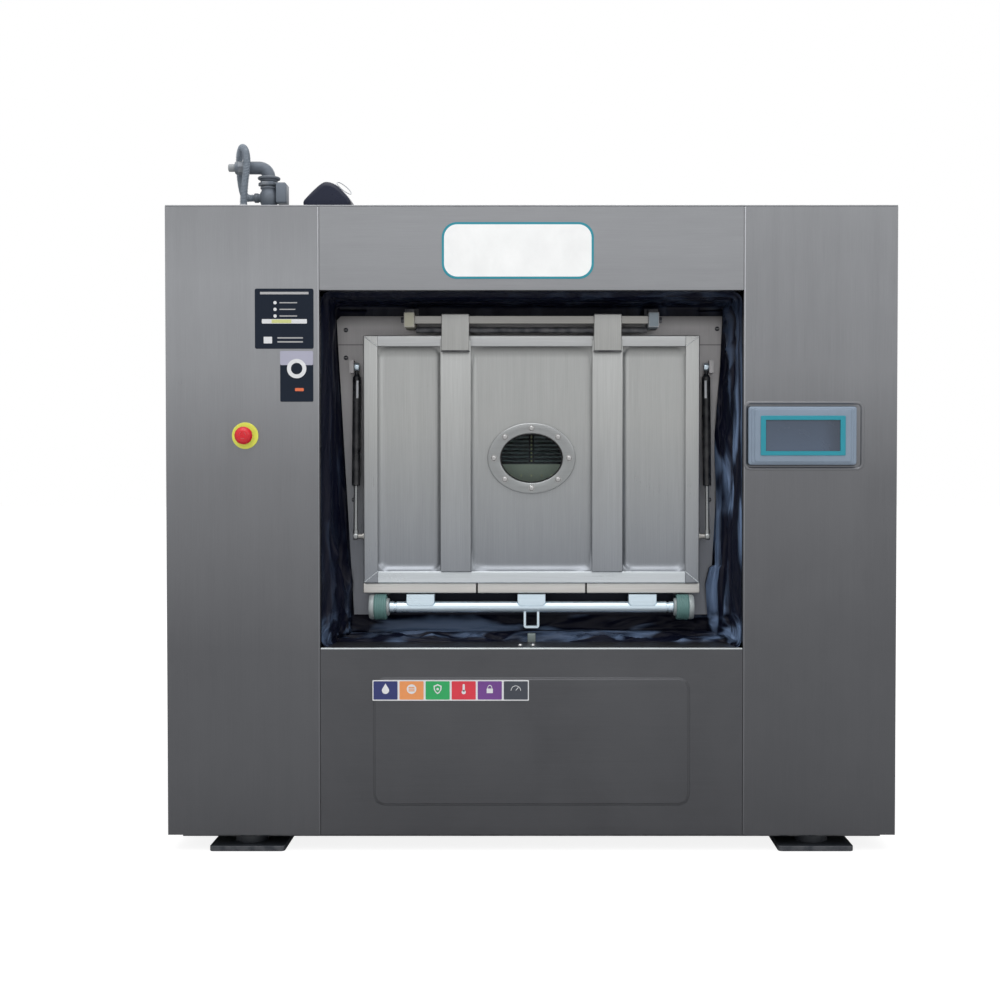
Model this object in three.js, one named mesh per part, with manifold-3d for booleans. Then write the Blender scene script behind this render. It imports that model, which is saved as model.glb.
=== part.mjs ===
// A side-loading barrier washer: a stainless cabinet that stands in a wall between two rooms,
// with a sprung tub and a drum between two top-hung, gas-sprung doors.
// Millimetres, +Z up. The loading side faces -Y and the clean side +Y. The origin lies on the
// floor, under the middle of the machine.

import * as THREE from "three";
import { mergeVertices } from "three/addons/utils/BufferGeometryUtils.js";
import Module from "manifold-3d";

const wasm = await Module();
wasm.setup();

// Driving sizes: the drum, the door and what the cabinet adds round them
const drumRadius = 360;
const drumLength = 770;
const leafWidth = 790;
const leafHeight = 582;
const drumGap = 40; // between the drum and the tub's outside
const tubEndGap = 45;
const neckLength = 30; // from the tub's outside to its face plate
const recessDepth = 170; // from the cabinet's front to the tub's face plate
const towerWidth = 348;
const lintelHeight = 192;
const plinthFoot = 28;
const railHeight = 90;
const springHeight = 181.4;
const motorRadius = 100;
const motorHang = 50; // from the tub's underside to the motor
const cradleBelowMotorShare = 0.3; // of the motor's radius, below the motor's axis
const hingeRise = 342; // hinge axis above the drum's axis
const leafDrop = 35; // top of the leaf below the hinge axis
const lipHeight = 24.7;
const lockDrop = 33; // lock bar's axis below the lip
const faceBelowLock = 22.3;
const faceAboveHinge = 16;
const faceBesideLeaf = 70;
const recessBelowFace = 59;
const recessAboveFace = 41;
const recessBesideFace = 17;
const sheet = 3;
const seam = 0.6; // open joint between two cabinet panels
const fit = 0.3; // clearance of pieces that seat on each other
const overrun = 5; // how far a cut runs past the face that it opens

// Numbers of flats on round pieces
const fineSides = 36;
const midSides = 16;
const smallSides = 12;
const cornerSteps = 1; // an arc has twice as many flats as steps
const ellipseSteps = 12;
const beltSteps = 8;

// Places worked out from the driving sizes
const tubRadius = drumRadius + drumGap;
const tubHalf = drumLength / 2 + tubEndGap;
const faceY = -(tubRadius + neckLength);
const frontY = faceY - recessDepth;
const railTop = plinthFoot + railHeight;
const motorDrop = tubRadius + motorHang + motorRadius;
const cradleDrop = motorDrop + cradleBelowMotorShare * motorRadius;
const cradleZ = railTop + springHeight + 2 * fit;
const axisZ = cradleZ + cradleDrop;
const hingeZ = axisZ + hingeRise;
const leafTop = hingeZ - leafDrop;
const leafBottom = leafTop - leafHeight;
const leafHalf = leafWidth / 2;
const lipBottom = leafBottom - lipHeight;
const lockZ = lipBottom - lockDrop;
const faceBottom = lockZ - faceBelowLock;
const faceTop = hingeZ + faceAboveHinge;
const faceTopHalf = leafHalf + faceBesideLeaf;
const recessBottom = faceBottom - recessBelowFace;
const recessTop = faceTop + recessAboveFace;
const recessHalf = faceTopHalf + recessBesideFace;
const cabinetHalf = recessHalf + towerWidth;
const cabinetTop = recessTop + lintelHeight;

// Finishes, with colours as the photograph shows them
function finish(color, roughness, metalness) {
  return new THREE.MeshStandardMaterial({ color, roughness, metalness });
}

const finishes = {
  steel: finish(0x93969b, 0.35, 0.9),
  darkSteel: finish(0x66696e, 0.4, 0.9),
  doorSteel: finish(0xaaacab, 0.38, 0.85),
  plateSteel: finish(0x7c7b80, 0.45, 0.8),
  brightSteel: finish(0xc4d5e2, 0.25, 0.9),
  frame: finish(0x292f37, 0.6, 0.4),
  cast: finish(0x6e7884, 0.55, 0.6),
  fabric: finish(0x12182a, 0.85, 0),
  rubber: finish(0x1b1d20, 0.8, 0),
  green: finish(0x648384, 0.6, 0),
  black: finish(0x15181c, 0.4, 0.2),
  red: finish(0xd33245, 0.4, 0),
  yellow: finish(0xcdd45b, 0.5, 0),
  bezel: finish(0x8c9ba6, 0.45, 0),
  screen: finish(0x586679, 0.15, 0),
  glass: finish(0x303a3f, 0.1, 0),
  conduit: finish(0x848f99, 0.6, 0),
  hood: finish(0x41485d, 0.35, 0.1),
};

// Solids: every shape becomes a closed mesh that can be joined and cut
const weld = 0.0001;

function solid(geometry) {
  const bare = geometry.clone();
  bare.deleteAttribute("normal");
  bare.deleteAttribute("uv");
  const merged = mergeVertices(bare, weld);
  return new wasm.Manifold(
    new wasm.Mesh({
      numProp: 3,
      vertProperties: new Float32Array(merged.attributes.position.array),
      triVerts: new Uint32Array(merged.index.array),
    }),
  );
}

function geometryOf(body) {
  const mesh = body.getMesh();
  const geometry = new THREE.BufferGeometry();
  geometry.setAttribute("position", new THREE.BufferAttribute(mesh.vertProperties, mesh.numProp));
  geometry.setIndex(new THREE.BufferAttribute(mesh.triVerts, 1));
  geometry.computeVertexNormals();
  return geometry;
}

function join(...bodies) {
  return bodies.reduce((whole, next) => whole.add(next));
}

function cut(body, ...tools) {
  return tools.reduce((left, tool) => left.subtract(tool), body);
}

// The same body turned half round the machine's upright axis
function halfTurned(body) {
  return solid(geometryOf(body).rotateZ(Math.PI));
}

// The same body on the other side of the middle plane
function mirrored(body) {
  const geometry = geometryOf(body).scale(-1, 1, 1);
  const index = geometry.index.array;
  for (let i = 0; i < index.length; i += 3) {
    [index[i + 1], index[i + 2]] = [index[i + 2], index[i + 1]];
  }
  return solid(geometry);
}

function span(centre, size) {
  return [centre - size / 2, centre + size / 2];
}

function grown(range, by) {
  return [range[0] - by, range[1] + by];
}

function sized(range) {
  return range[1] - range[0];
}

function middle(range) {
  return (range[0] + range[1]) / 2;
}

// Radius of a many-sided hole whose flats clear a round bar that turns in it
function turningBore(radius, flats) {
  return (radius + fit) / Math.cos(Math.PI / flats);
}

function block(x, y, z) {
  const geometry = new THREE.BoxGeometry(sized(x), sized(y), sized(z));
  geometry.translate(middle(x), middle(y), middle(z));
  return solid(geometry);
}

// A round bar along an axis. centre holds its place on the other two axes, in x, y, z order
function rod(axis, radius, range, centre, sides, endRadius = radius) {
  const geometry = new THREE.CylinderGeometry(endRadius, radius, sized(range), sides);
  if (axis === "x") {
    geometry.rotateZ(-Math.PI / 2).translate(middle(range), centre[0], centre[1]);
  } else if (axis === "y") {
    geometry.translate(centre[0], middle(range), centre[1]);
  } else {
    geometry.rotateX(Math.PI / 2).translate(centre[0], centre[1], middle(range));
  }
  return solid(geometry);
}

const axisX = new THREE.Vector3(1, 0, 0);
const axisY = new THREE.Vector3(0, 1, 0);
const axisUp = new THREE.Vector3(0, 0, 1);
const lyingAlong = {
  x: new THREE.Matrix4().makeBasis(axisY, axisUp, axisX),
  y: new THREE.Matrix4().makeBasis(axisX, axisUp, axisY.clone().negate()),
  z: new THREE.Matrix4(),
};

// A flat outline drawn in the other two axes (in x, y, z order) and drawn out along one axis
function prism(shape, axis, range, curveSegments = cornerSteps) {
  const depth = sized(range);
  const geometry = new THREE.ExtrudeGeometry(shape, { depth, bevelEnabled: false, curveSegments });
  geometry.applyMatrix4(lyingAlong[axis]);
  if (axis === "x") geometry.translate(range[0], 0, 0);
  if (axis === "y") geometry.translate(0, range[1], 0);
  if (axis === "z") geometry.translate(0, 0, range[0]);
  return solid(geometry);
}

function outline(points) {
  return new THREE.Shape(points.map(([across, up]) => new THREE.Vector2(across, up)));
}

function roundedRectangle(across, up, radius) {
  const shape = new THREE.Shape();
  shape.absarc(across[1] - radius, up[1] - radius, radius, 0, Math.PI / 2);
  shape.absarc(across[0] + radius, up[1] - radius, radius, Math.PI / 2, Math.PI);
  shape.absarc(across[0] + radius, up[0] + radius, radius, Math.PI, 1.5 * Math.PI);
  shape.absarc(across[1] - radius, up[0] + radius, radius, 1.5 * Math.PI, 2 * Math.PI);
  return shape;
}

function ellipse(across, up, halfAcross, halfUp) {
  return new THREE.Shape().absellipse(across, up, halfAcross, halfUp, 0, 2 * Math.PI);
}

function frameRing(outer, inner, axis, range, curveSegments) {
  const ends = grown(range, overrun);
  return cut(prism(outer, axis, range, curveSegments), prism(inner, axis, ends, curveSegments));
}

function ringRod(axis, radius, bore, range, centre, sides) {
  const ends = grown(range, overrun);
  return cut(rod(axis, radius, range, centre, sides), rod(axis, bore, ends, centre, sides));
}

// A skin through a grid of points, where rows close on themselves. Closed grids join the last
// row to the first one; open ones get flat ends.
function gridSolid(rows, closed) {
  const across = rows[0].length;
  const positions = rows.flat().flatMap((point) => point.toArray());
  const index = [];
  const lastRow = closed ? rows.length : rows.length - 1;
  for (let i = 0; i < lastRow; i++) {
    for (let j = 0; j < across; j++) {
      const here = i * across + j;
      const beside = i * across + ((j + 1) % across);
      const above = ((i + 1) % rows.length) * across + j;
      const corner = ((i + 1) % rows.length) * across + ((j + 1) % across);
      index.push(here, beside, corner, here, corner, above);
    }
  }
  if (!closed) {
    const top = (rows.length - 1) * across;
    for (let j = 1; j < across - 1; j++) {
      index.push(0, j + 1, j, top, top + j, top + j + 1);
    }
  }
  const geometry = new THREE.BufferGeometry();
  geometry.setAttribute("position", new THREE.Float32BufferAttribute(positions, 3));
  geometry.setIndex(index);
  const body = solid(geometry);
  if (body.volume() > 0) return body;
  geometry.setIndex(index.reverse());
  return solid(geometry);
}

function piece(name, body, material) {
  const mesh = new THREE.Mesh(geometryOf(body), material);
  mesh.name = name;
  return mesh;
}

const machine = new THREE.Group();
const front = new THREE.Group();
const rear = new THREE.Group();
rear.rotation.z = Math.PI;
machine.add(front, rear);
const sides = [
  { name: "front", group: front },
  { name: "rear", group: rear },
];

// Base frame: a ring of square tube with two cross rails under the springs
const plinthInset = 27;
const railWidth = 80;
const crossRailWidth = 100;
const springInset = 70; // the springs' axes inside the tub's ends
const springBehindFace = 100; // and behind the tub's face plates
const springX = tubHalf - springInset;
const springY = -faceY - springBehindFace;

const frameX = [-cabinetHalf + plinthInset, cabinetHalf - plinthInset];
const frameY = [frontY + plinthInset, -frontY - plinthInset];
const frameZ = [plinthFoot, railTop];

function baseFrame() {
  const bays = grown(frameZ, overrun);
  const inside = block(grown(frameX, -railWidth), grown(frameY, -railWidth), bays);
  const ring = cut(block(frameX, frameY, frameZ), inside);
  const crossY = grown(frameY, -railWidth / 2);
  const left = block(span(-springX, crossRailWidth), crossY, frameZ);
  const right = block(span(springX, crossRailWidth), crossY, frameZ);
  return join(ring, left, right);
}
machine.add(piece("base_frame", baseFrame(), finishes.frame));

// Feet: a flat sole plate and a round rubber block under each corner of the frame
const footInset = 180; // the feet's middles inside the cabinet's sides
const soleWidth = 172;
const soleDepth = 160;
const soleThickness = 12;
const soleCorner = 8;
const padRadius = 38;
const footX = cabinetHalf - footInset;

function foot(sideX, sideY) {
  const x = span(sideX * footX, soleWidth);
  const nearEdge = sideY * -frontY;
  const y = sideY > 0 ? [nearEdge - soleDepth, nearEdge] : [nearEdge, nearEdge + soleDepth];
  const sole = prism(roundedRectangle(x, y, soleCorner), "z", [0, soleThickness]);
  const padY = sideY * (frameY[1] - railWidth / 2);
  const padZ = [soleThickness / 2, plinthFoot - fit];
  return join(sole, rod("z", padRadius, padZ, [sideX * footX, padY], midSides));
}

for (const [along, sideY] of [["front", -1], ["rear", 1]]) {
  for (const [across, sideX] of [["left", -1], ["right", 1]]) {
    machine.add(piece(`${along}_${across}_foot`, foot(sideX, sideY), finishes.black));
  }
}

// Emergency stop: a round plate with a barrel through the casing, and a mushroom button
const stopInset = 180; // from the cabinet's side
const stopZ = 949;
const stopPlateRadius = 30;
const stopPlateThickness = 2;
const stopCollarRadius = 14;
const stopCollarLength = 8;
const stopBarrelRadius = 10.5;
const stopHoleRadius = 11;
const stopBarrelLength = 24;
const stopStemRadius = 7.5;
const stopTravel = 5;
const stopHeadRadius = 20;
const stopHeadHeight = 17;
const stopRimShare = 0.45; // the straight rim's part of the head's height
const stopCrownShare = 0.62; // the crown's radius at its front, of the head's

const stopX = cabinetHalf - stopInset;
const stopAt = [-stopX, stopZ];
const stopPlateY = [frontY - fit - stopPlateThickness, frontY - fit];
const stopCollarFront = stopPlateY[0] - stopCollarLength;

function stopPlate() {
  const plate = rod("y", stopPlateRadius, stopPlateY, stopAt, midSides);
  const collarY = [stopCollarFront, stopPlateY[1]];
  const collar = rod("y", stopCollarRadius, collarY, stopAt, midSides);
  const barrelY = [stopPlateY[0], frontY + stopBarrelLength];
  const barrel = rod("y", stopBarrelRadius, barrelY, stopAt, smallSides);
  const boreY = grown([stopCollarFront, frontY + stopBarrelLength], overrun);
  return cut(join(plate, collar, barrel), rod("y", stopStemRadius + fit, boreY, stopAt, smallSides));
}

function stopButton() {
  const headBack = stopCollarFront - stopTravel - 2 * fit;
  const rim = [headBack - stopRimShare * stopHeadHeight, headBack];
  const crown = [headBack - stopHeadHeight, rim[0]];
  const skirt = rod("y", stopHeadRadius, rim, stopAt, midSides);
  const top = rod("y", stopCrownShare * stopHeadRadius, crown, stopAt, midSides, stopHeadRadius);
  const stem = rod("y", stopStemRadius, [rim[0], frontY + stopBarrelLength / 2], stopAt, smallSides);
  return join(skirt, top, stem);
}

for (const { name, group } of sides) {
  group.add(piece(`${name}_estop_plate`, stopPlate(), finishes.yellow));
  group.add(piece(`${name}_estop_button`, stopButton(), finishes.red));
}

// Touch panel: a moulded bezel in a window of the right tower, with a framed screen
const panelInset = 215.5; // the panel's middle inside the cabinet's side
const panelCentreZ = 949;
const panelWidth = 245;
const panelHeight = 132;
const panelProud = 12;
const panelCorner = 6;
const windowMarginInner = 6;
const windowMarginOuter = 14;
const windowMarginZ = 8;
const panelLap = 8; // how far the bezel's back plate laps behind the window's edge
const panelBack = 7;
const screenFrameWidth = 192;
const screenFrameHeight = 90;
const screenFrameProud = 2;
const screenWidth = 169;
const screenHeight = 71;
const screenThickness = 4;

const panelCentreX = cabinetHalf - panelInset;
const windowX = [
  panelCentreX - panelWidth / 2 - windowMarginInner,
  panelCentreX + panelWidth / 2 + windowMarginOuter,
];
const windowZ = span(panelCentreZ, panelHeight + 2 * windowMarginZ);
const screenX = span(panelCentreX, screenWidth);
const screenZ = span(panelCentreZ, screenHeight);
const panelFaceY = frontY - panelProud;
const screenBackY = panelFaceY + screenThickness;

function touchPanelBezel() {
  const bodyX = span(panelCentreX, panelWidth);
  const bodyZ = span(panelCentreZ, panelHeight);
  const backPlateY = [frontY + sheet + fit, frontY + sheet + fit + panelBack];
  const body = prism(roundedRectangle(bodyX, bodyZ, panelCorner), "y", [panelFaceY, backPlateY[1]]);
  const backPlate = block(windowX, backPlateY, grown(windowZ, panelLap));
  const frameX = span(panelCentreX, screenFrameWidth);
  const frameZ = span(panelCentreZ, screenFrameHeight);
  const surround = block(frameX, [panelFaceY - screenFrameProud, screenBackY], frameZ);
  const pocketY = [panelFaceY - screenFrameProud - overrun, screenBackY];
  return cut(join(body, backPlate, surround), block(screenX, pocketY, screenZ));
}

function touchPanelScreen() {
  const y = [screenBackY - fit - screenThickness, screenBackY - fit];
  return block(grown(screenX, -fit), y, grown(screenZ, -fit));
}

machine.add(piece("touch_panel_bezel", touchPanelBezel(), finishes.bezel));
machine.add(piece("touch_panel_screen", touchPanelScreen(), finishes.screen));

// Tower casings: folded sheet, open towards the tub, with narrow folds beside the recess
const casingGap = 10; // from the plinth's lower edge up to the casing's
const sideFold = 20;

const casingFoot = plinthFoot + casingGap;
const coverUnder = cabinetTop - sheet;
const casingZ = [casingFoot, coverUnder - fit];

function casing(sideX) {
  const outer = sideX * cabinetHalf;
  const inner = sideX * recessHalf;
  const wall = sideX * sheet;
  const halfPlan = [
    [outer, frontY],
    [inner, frontY],
    [inner, frontY + sideFold],
    [inner + wall, frontY + sideFold],
    [inner + wall, frontY + sheet],
    [outer - wall, frontY + sheet],
  ];
  const rearPlan = halfPlan.map(([x, y]) => [x, -y]).reverse();
  const shell = prism(outline([...halfPlan, ...rearPlan]), "z", casingZ);
  const footZ = [casingFoot, casingFoot + sheet];
  const footX = [outer - wall / 2, inner + 2 * wall].sort((a, b) => a - b);
  const fullY = [frontY + sheet / 2, -frontY - sheet / 2];
  const opening = block(grown(frameX, fit), grown(frameY, fit), grown(footZ, overrun));
  const footFold = cut(block(footX, fullY, footZ), opening);
  return join(shell, footFold);
}

function leftCasing() {
  const holeY = span(frontY + sheet / 2, sheet + 2 * overrun);
  return cut(casing(-1), rod("y", stopHoleRadius, holeY, stopAt, smallSides));
}

function rightCasing() {
  const holeY = span(-frontY - sheet / 2, sheet + 2 * overrun);
  const hole = rod("y", stopHoleRadius, holeY, [stopX, stopZ], smallSides);
  const windowY = span(frontY + sheet / 2, sheet + 2 * overrun);
  const panelWindow = block(grown(windowX, fit), windowY, grown(windowZ, fit));
  return cut(casing(1), hole, panelWindow);
}

machine.add(piece("left_casing", leftCasing(), finishes.steel));
machine.add(piece("right_casing", rightCasing(), finishes.steel));

// Panels between the towers: a lintel, and a lower panel with a deep sill and a pressed field
const sillDepth = 120;
const fieldProud = 3;
const fieldMarginX = 121;
const fieldMarginTop = 68;
const fieldMarginBottom = 68;
const fieldCorner = 24;
const fieldBevel = 4;
const catchWidth = 18;
const catchHeight = 20;
const catchDepth = 18;
const bellowsInset = 8; // the bellows' mouth inside the recess's edge
const bellowsCorner = 6;

const panelX = [-recessHalf + seam, recessHalf - seam];

function lintel() {
  const profile = [
    [frontY, recessTop],
    [frontY + sideFold, recessTop],
    [frontY + sideFold, recessTop + sheet],
    [frontY + sheet, recessTop + sheet],
    [frontY + sheet, casingZ[1] - sheet],
    [frontY + sideFold, casingZ[1] - sheet],
    [frontY + sideFold, casingZ[1]],
    [frontY, casingZ[1]],
  ];
  return prism(outline(profile), "x", panelX);
}

function raisedField() {
  const x = grown(panelX, -fieldMarginX);
  const z = [casingFoot + fieldMarginBottom, recessBottom - fieldMarginTop];
  const foot = [frontY - fieldProud / 2, frontY + sheet / 2];
  const low = prism(roundedRectangle(x, z, fieldCorner), "y", foot);
  const innerX = grown(x, -fieldBevel);
  const innerZ = grown(z, -fieldBevel);
  const top = [frontY - fieldProud, frontY + sheet / 2];
  return join(low, prism(roundedRectangle(innerX, innerZ, fieldCorner - fieldBevel), "y", top));
}

function lowerPanel() {
  const footBack = frameY[0] - fit;
  const profile = [
    [frontY, casingFoot],
    [footBack, casingFoot],
    [footBack, casingFoot + sheet],
    [frontY + sheet, casingFoot + sheet],
    [frontY + sheet, recessBottom - sheet],
    [frontY + sillDepth, recessBottom - sheet],
    [frontY + sillDepth, recessBottom],
    [frontY, recessBottom],
  ];
  const catchY = [frontY + sillDepth - catchDepth, frontY + sillDepth];
  const catchZ = [recessBottom - sheet / 2, recessBottom + catchHeight];
  const loopCatch = block(span(0, catchWidth), catchY, catchZ);
  const folded = prism(outline(profile), "x", panelX);
  const endX = [recessHalf - bellowsInset - bellowsCorner, recessHalf];
  const endY = [frontY + sideFold, frontY + sillDepth + overrun];
  const sillEnd = block(endX, endY, [recessBottom - sheet - overrun, recessBottom + overrun]);
  return join(cut(folded, sillEnd, mirrored(sillEnd)), raisedField(), loopCatch);
}

for (const { name, group } of sides) {
  group.add(piece(`${name}_lintel`, lintel(), finishes.steel));
  group.add(piece(`${name}_lower_panel`, lowerPanel(), finishes.darkSteel));
}

// Things on top stand a little behind the front edge
const topSetback = 100;
const valveInset = 218; // the valve's axis inside the cabinet's left side
const valveY = frontY + topSetback;
const conduitInset = 164;
const conduitOffset = 28; // the conduit's foot stands this far in front of the valve's middle
const pipeHoleRadius = 18;
const conduitHoleRadius = 6;
const valveX = valveInset - cabinetHalf;
const conduitX = conduitInset - cabinetHalf;

function topCover() {
  const x = [-cabinetHalf, cabinetHalf];
  const z = [coverUnder, cabinetTop];
  const holeZ = grown(z, overrun);
  const pipeHole = rod("z", pipeHoleRadius, holeZ, [valveX, valveY], smallSides);
  const conduitAt = [conduitX, valveY - conduitOffset];
  const conduitHole = rod("z", conduitHoleRadius, holeZ, conduitAt, smallSides);
  return cut(block(x, [frontY, -frontY], z), pipeHole, conduitHole);
}
machine.add(piece("top_cover", topCover(), finishes.steel));

// Water inlet: a flanged valve with an actuator box, a union and a bent pipe with a capped end
const flangeRadius = 30;
const flangeThickness = 8;
const valveRadius = 22;
const valveHeight = 56;
const unionRadius = 20;
const unionNutRadius = 25;
const unionHeight = 20;
const collarRadius = 26;
const collarHeight = 6;
const bendRadius = 22;
const pipeRadius = 15;
const pipeRun = 56;
const unionNutHeight = 6.7;
const capRadius = 9;
const capLength = 16;
const actuatorWidth = 24;
const actuatorDepth = 44;
const actuatorHeight = 46;
const sidePortLength = 12;
const sidePortRadius = 11;
const sidePortRise = 34;
const bendSteps = 6;

const valveFoot = cabinetTop + fit;
const unionZ = valveFoot + valveHeight;
const collarZ = unionZ + unionHeight;
const bendZ = collarZ + collarHeight;
const sidePortZ = valveFoot + sidePortRise;
const sidePortEndX = valveX - valveRadius - sidePortLength;

function bentPipe() {
  const rise = new THREE.Vector3(valveX, valveY, bendZ - collarHeight / 2);
  const start = new THREE.Vector3(valveX, valveY, bendZ);
  const corner = new THREE.Vector3(valveX, valveY, bendZ + bendRadius);
  const end = new THREE.Vector3(valveX - bendRadius, valveY, bendZ + bendRadius);
  const far = new THREE.Vector3(valveX - bendRadius - pipeRun, valveY, bendZ + bendRadius);
  const route = new THREE.QuadraticBezierCurve3(start, corner, end).getPoints(bendSteps);
  const stations = [rise, ...route, far];
  const rows = stations.map((station, k) => {
    const before = stations[Math.max(k - 1, 0)];
    const after = stations[Math.min(k + 1, stations.length - 1)];
    const ahead = after.clone().sub(before).normalize();
    const level = new THREE.Vector3().crossVectors(ahead, axisY).normalize();
    return ringAround(station, axisY, level, pipeRadius, smallSides);
  });
  return gridSolid(rows, false);
}

function ringAround(centre, one, other, radius, count) {
  return Array.from({ length: count }, (unused, j) => {
    const angle = (2 * Math.PI * j) / count;
    const along = one.clone().multiplyScalar(radius * Math.cos(angle));
    return along.addScaledVector(other, radius * Math.sin(angle)).add(centre);
  });
}

function inletValve() {
  const at = [valveX, valveY];
  const flange = rod("z", flangeRadius, [valveFoot, valveFoot + flangeThickness], at, midSides);
  const body = rod("z", valveRadius, [valveFoot, unionZ], at, smallSides);
  const union = rod("z", unionRadius, [unionZ - flangeThickness, collarZ], at, midSides);
  const nutZ = span(unionZ + unionHeight / 2, unionNutHeight);
  const nut = rod("z", unionNutRadius, nutZ, at, smallSides / 2);
  const collar = rod("z", collarRadius, [collarZ, bendZ], at, midSides);
  const portX = [sidePortEndX, valveX];
  const port = rod("x", sidePortRadius, portX, [valveY, sidePortZ], smallSides);
  const boxX = [valveX + valveRadius - sheet, valveX + valveRadius - sheet + actuatorWidth];
  const boxZ = [unionZ - actuatorHeight + unionHeight / 2, unionZ + unionHeight / 2];
  const box = block(boxX, span(valveY, actuatorDepth), boxZ);
  const capEnd = valveX - bendRadius - pipeRun;
  const capAt = [valveY, bendZ + bendRadius];
  const cap = rod("x", capRadius, [capEnd - capLength, capEnd + overrun], capAt, smallSides);
  return join(flange, body, union, nut, collar, port, box, bentPipe(), cap);
}
machine.add(piece("inlet_valve", inletValve(), finishes.cast));

// Conduit: a ribbed hose that climbs from the cover, loops over and ends on the valve's side
const conduitRadius = 7.5;
const conduitRibDepth = 1.3;
const conduitBore = 4.5;
const conduitRibs = 28;
const conduitSides = 8;
const boreSteps = 12;
const conduitFoot = new THREE.Vector3(conduitX, valveY - conduitOffset, cabinetTop + fit);
const conduitRoute = [
  [0, 0, 0],
  [0, 0, 20],
  [3, -1, 62],
  [8, -1, 108],
  [3, 8, 138],
  [-8, 27, 150.5],
  [-18, 46, 136],
  [-20, 56, 100],
  [-15, 54, 66],
  [-7, 42, 44],
];

function conduitCurve() {
  const free = conduitRoute.map(([x, y, z]) => new THREE.Vector3(x, y, z).add(conduitFoot));
  const end = new THREE.Vector3(sidePortEndX - fit, valveY, sidePortZ);
  const straight = end.clone().add(new THREE.Vector3(-2 * conduitRadius, 0, 0));
  return new THREE.CatmullRomCurve3([...free, straight, end], false, "centripetal");
}

function hoseRings(curve, count, radiusAt) {
  const frames = curve.computeFrenetFrames(count, false);
  return Array.from({ length: count + 1 }, (unused, i) => {
    const centre = curve.getPointAt(i / count);
    const first = i === 0 || i === count;
    const tangent = first ? endDirection(i === 0) : frames.tangents[i];
    const one = frames.normals[i].clone().addScaledVector(tangent, -frames.normals[i].dot(tangent));
    one.normalize();
    const other = new THREE.Vector3().crossVectors(tangent, one);
    return ringAround(centre, one, other, radiusAt(i), conduitSides);
  });
}

function endDirection(atStart) {
  return atStart ? axisUp.clone() : axisX.clone();
}

// Prints the least clear gap between stretches of a tube that lie at least some points apart
function printSelfGap(name, middles, radius, apart) {
  let least = Infinity;
  middles.forEach((here, i) => {
    for (const there of middles.slice(i + apart)) {
      least = Math.min(least, here.distanceTo(there) - 2 * radius);
    }
  });
  console.log(`${name}: least gap to itself ${least.toFixed(1)} mm`);
}

function conduitHose() {
  const curve = conduitCurve();
  const steps = 2 * conduitRibs;
  const widest = conduitRadius + conduitRibDepth;
  const apart = Math.ceil((4 * widest * steps) / curve.getLength());
  printSelfGap("conduit", curve.getSpacedPoints(steps), widest, apart);
  const outer = hoseRings(curve, steps, (i) => (i % 2 ? widest : conduitRadius));
  const inner = hoseRings(curve, boreSteps, () => conduitBore);
  return gridSolid([...outer, ...inner.reverse()], true);
}
machine.add(piece("conduit_hose", conduitHose(), finishes.conduit));

// Vent hood: a folded, peaked cover that is open at its back
const hoodInset = 352;
const hoodWidth = 126;
const hoodSkirt = 20;
const hoodHeight = 75;
const hoodLength = 150;
const hoodWall = 4;
const peakShare = 0.48;
const hoodX = hoodInset - cabinetHalf;

function hoodOutline(inset) {
  const x = grown(span(hoodX, hoodWidth), -inset);
  const foot = cabinetTop + fit;
  const peakX = x[0] + peakShare * sized(x);
  return outline([
    [x[0], foot],
    [x[1], foot],
    [x[1], foot + hoodSkirt - inset],
    [peakX + hoodSkirt, foot + hoodHeight - 2 * inset],
    [peakX, foot + hoodHeight - inset],
    [x[0], foot + hoodSkirt - inset],
  ]);
}

function ventHood() {
  const y = [valveY - hoodLength / 3, valveY + (2 * hoodLength) / 3];
  const hollow = prism(hoodOutline(hoodWall), "y", [y[0] + hoodWall, y[1] + overrun]);
  const room = [cabinetTop - overrun, cabinetTop + fit + hoodSkirt / 2];
  const mouthX = grown(span(hoodX, hoodWidth), -hoodWall);
  const mouth = block(mouthX, [y[0] + hoodWall, y[1] + overrun], room);
  return cut(prism(hoodOutline(0), "y", y), hollow, mouth);
}
machine.add(piece("vent_hood", ventHood(), finishes.hood));

// Bellows: a pleated fabric sleeve from the recess to behind the tub's face plate
const faceThickness = 6;
const rimWidth = 11;
const rimThickness = 6;
const pleats = 3;
const pleatDepth = 18;
const fabricThickness = 4;
const tuckWidth = 85;
const bellowsLeastCorner = 3;

const faceBack = faceY + faceThickness;

function bellowsSection() {
  const rimY = frontY + sideFold + fit;
  const tuckY = faceBack + fit;
  const firstY = rimY + rimThickness + fabricThickness;
  const foldRun = tuckY - fabricThickness - firstY;
  const folds = Array.from({ length: 2 * pleats + 1 }, (unused, k) => [
    k % 2 ? pleatDepth : 0,
    firstY + (foldRun * k) / (2 * pleats),
  ]);
  const visible = [[0, rimY], ...folds, [0, tuckY], [-tuckWidth, tuckY]];
  const hidden = folds.map(([out, y]) => [out + fabricThickness, y]).reverse();
  return [
    ...visible,
    [-tuckWidth, tuckY + fabricThickness],
    [fabricThickness, tuckY + fabricThickness],
    ...hidden,
    [rimWidth, rimY + rimThickness],
    [rimWidth, rimY],
  ];
}

function bellows() {
  const half = recessHalf - bellowsInset;
  const z = [recessBottom - sheet - fit, recessTop - bellowsInset];
  const rows = bellowsSection().map(([out, y]) => {
    const radius = Math.max(bellowsCorner + out, bellowsLeastCorner);
    const ring = roundedRectangle([-half - out, half + out], grown(z, out), radius);
    return ring.getPoints(cornerSteps).map((point) => new THREE.Vector3(point.x, y, point.y));
  });
  return gridSolid(rows, true);
}

for (const { name, group } of sides) {
  group.add(piece(`${name}_bellows`, bellows(), finishes.fabric));
}

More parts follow.
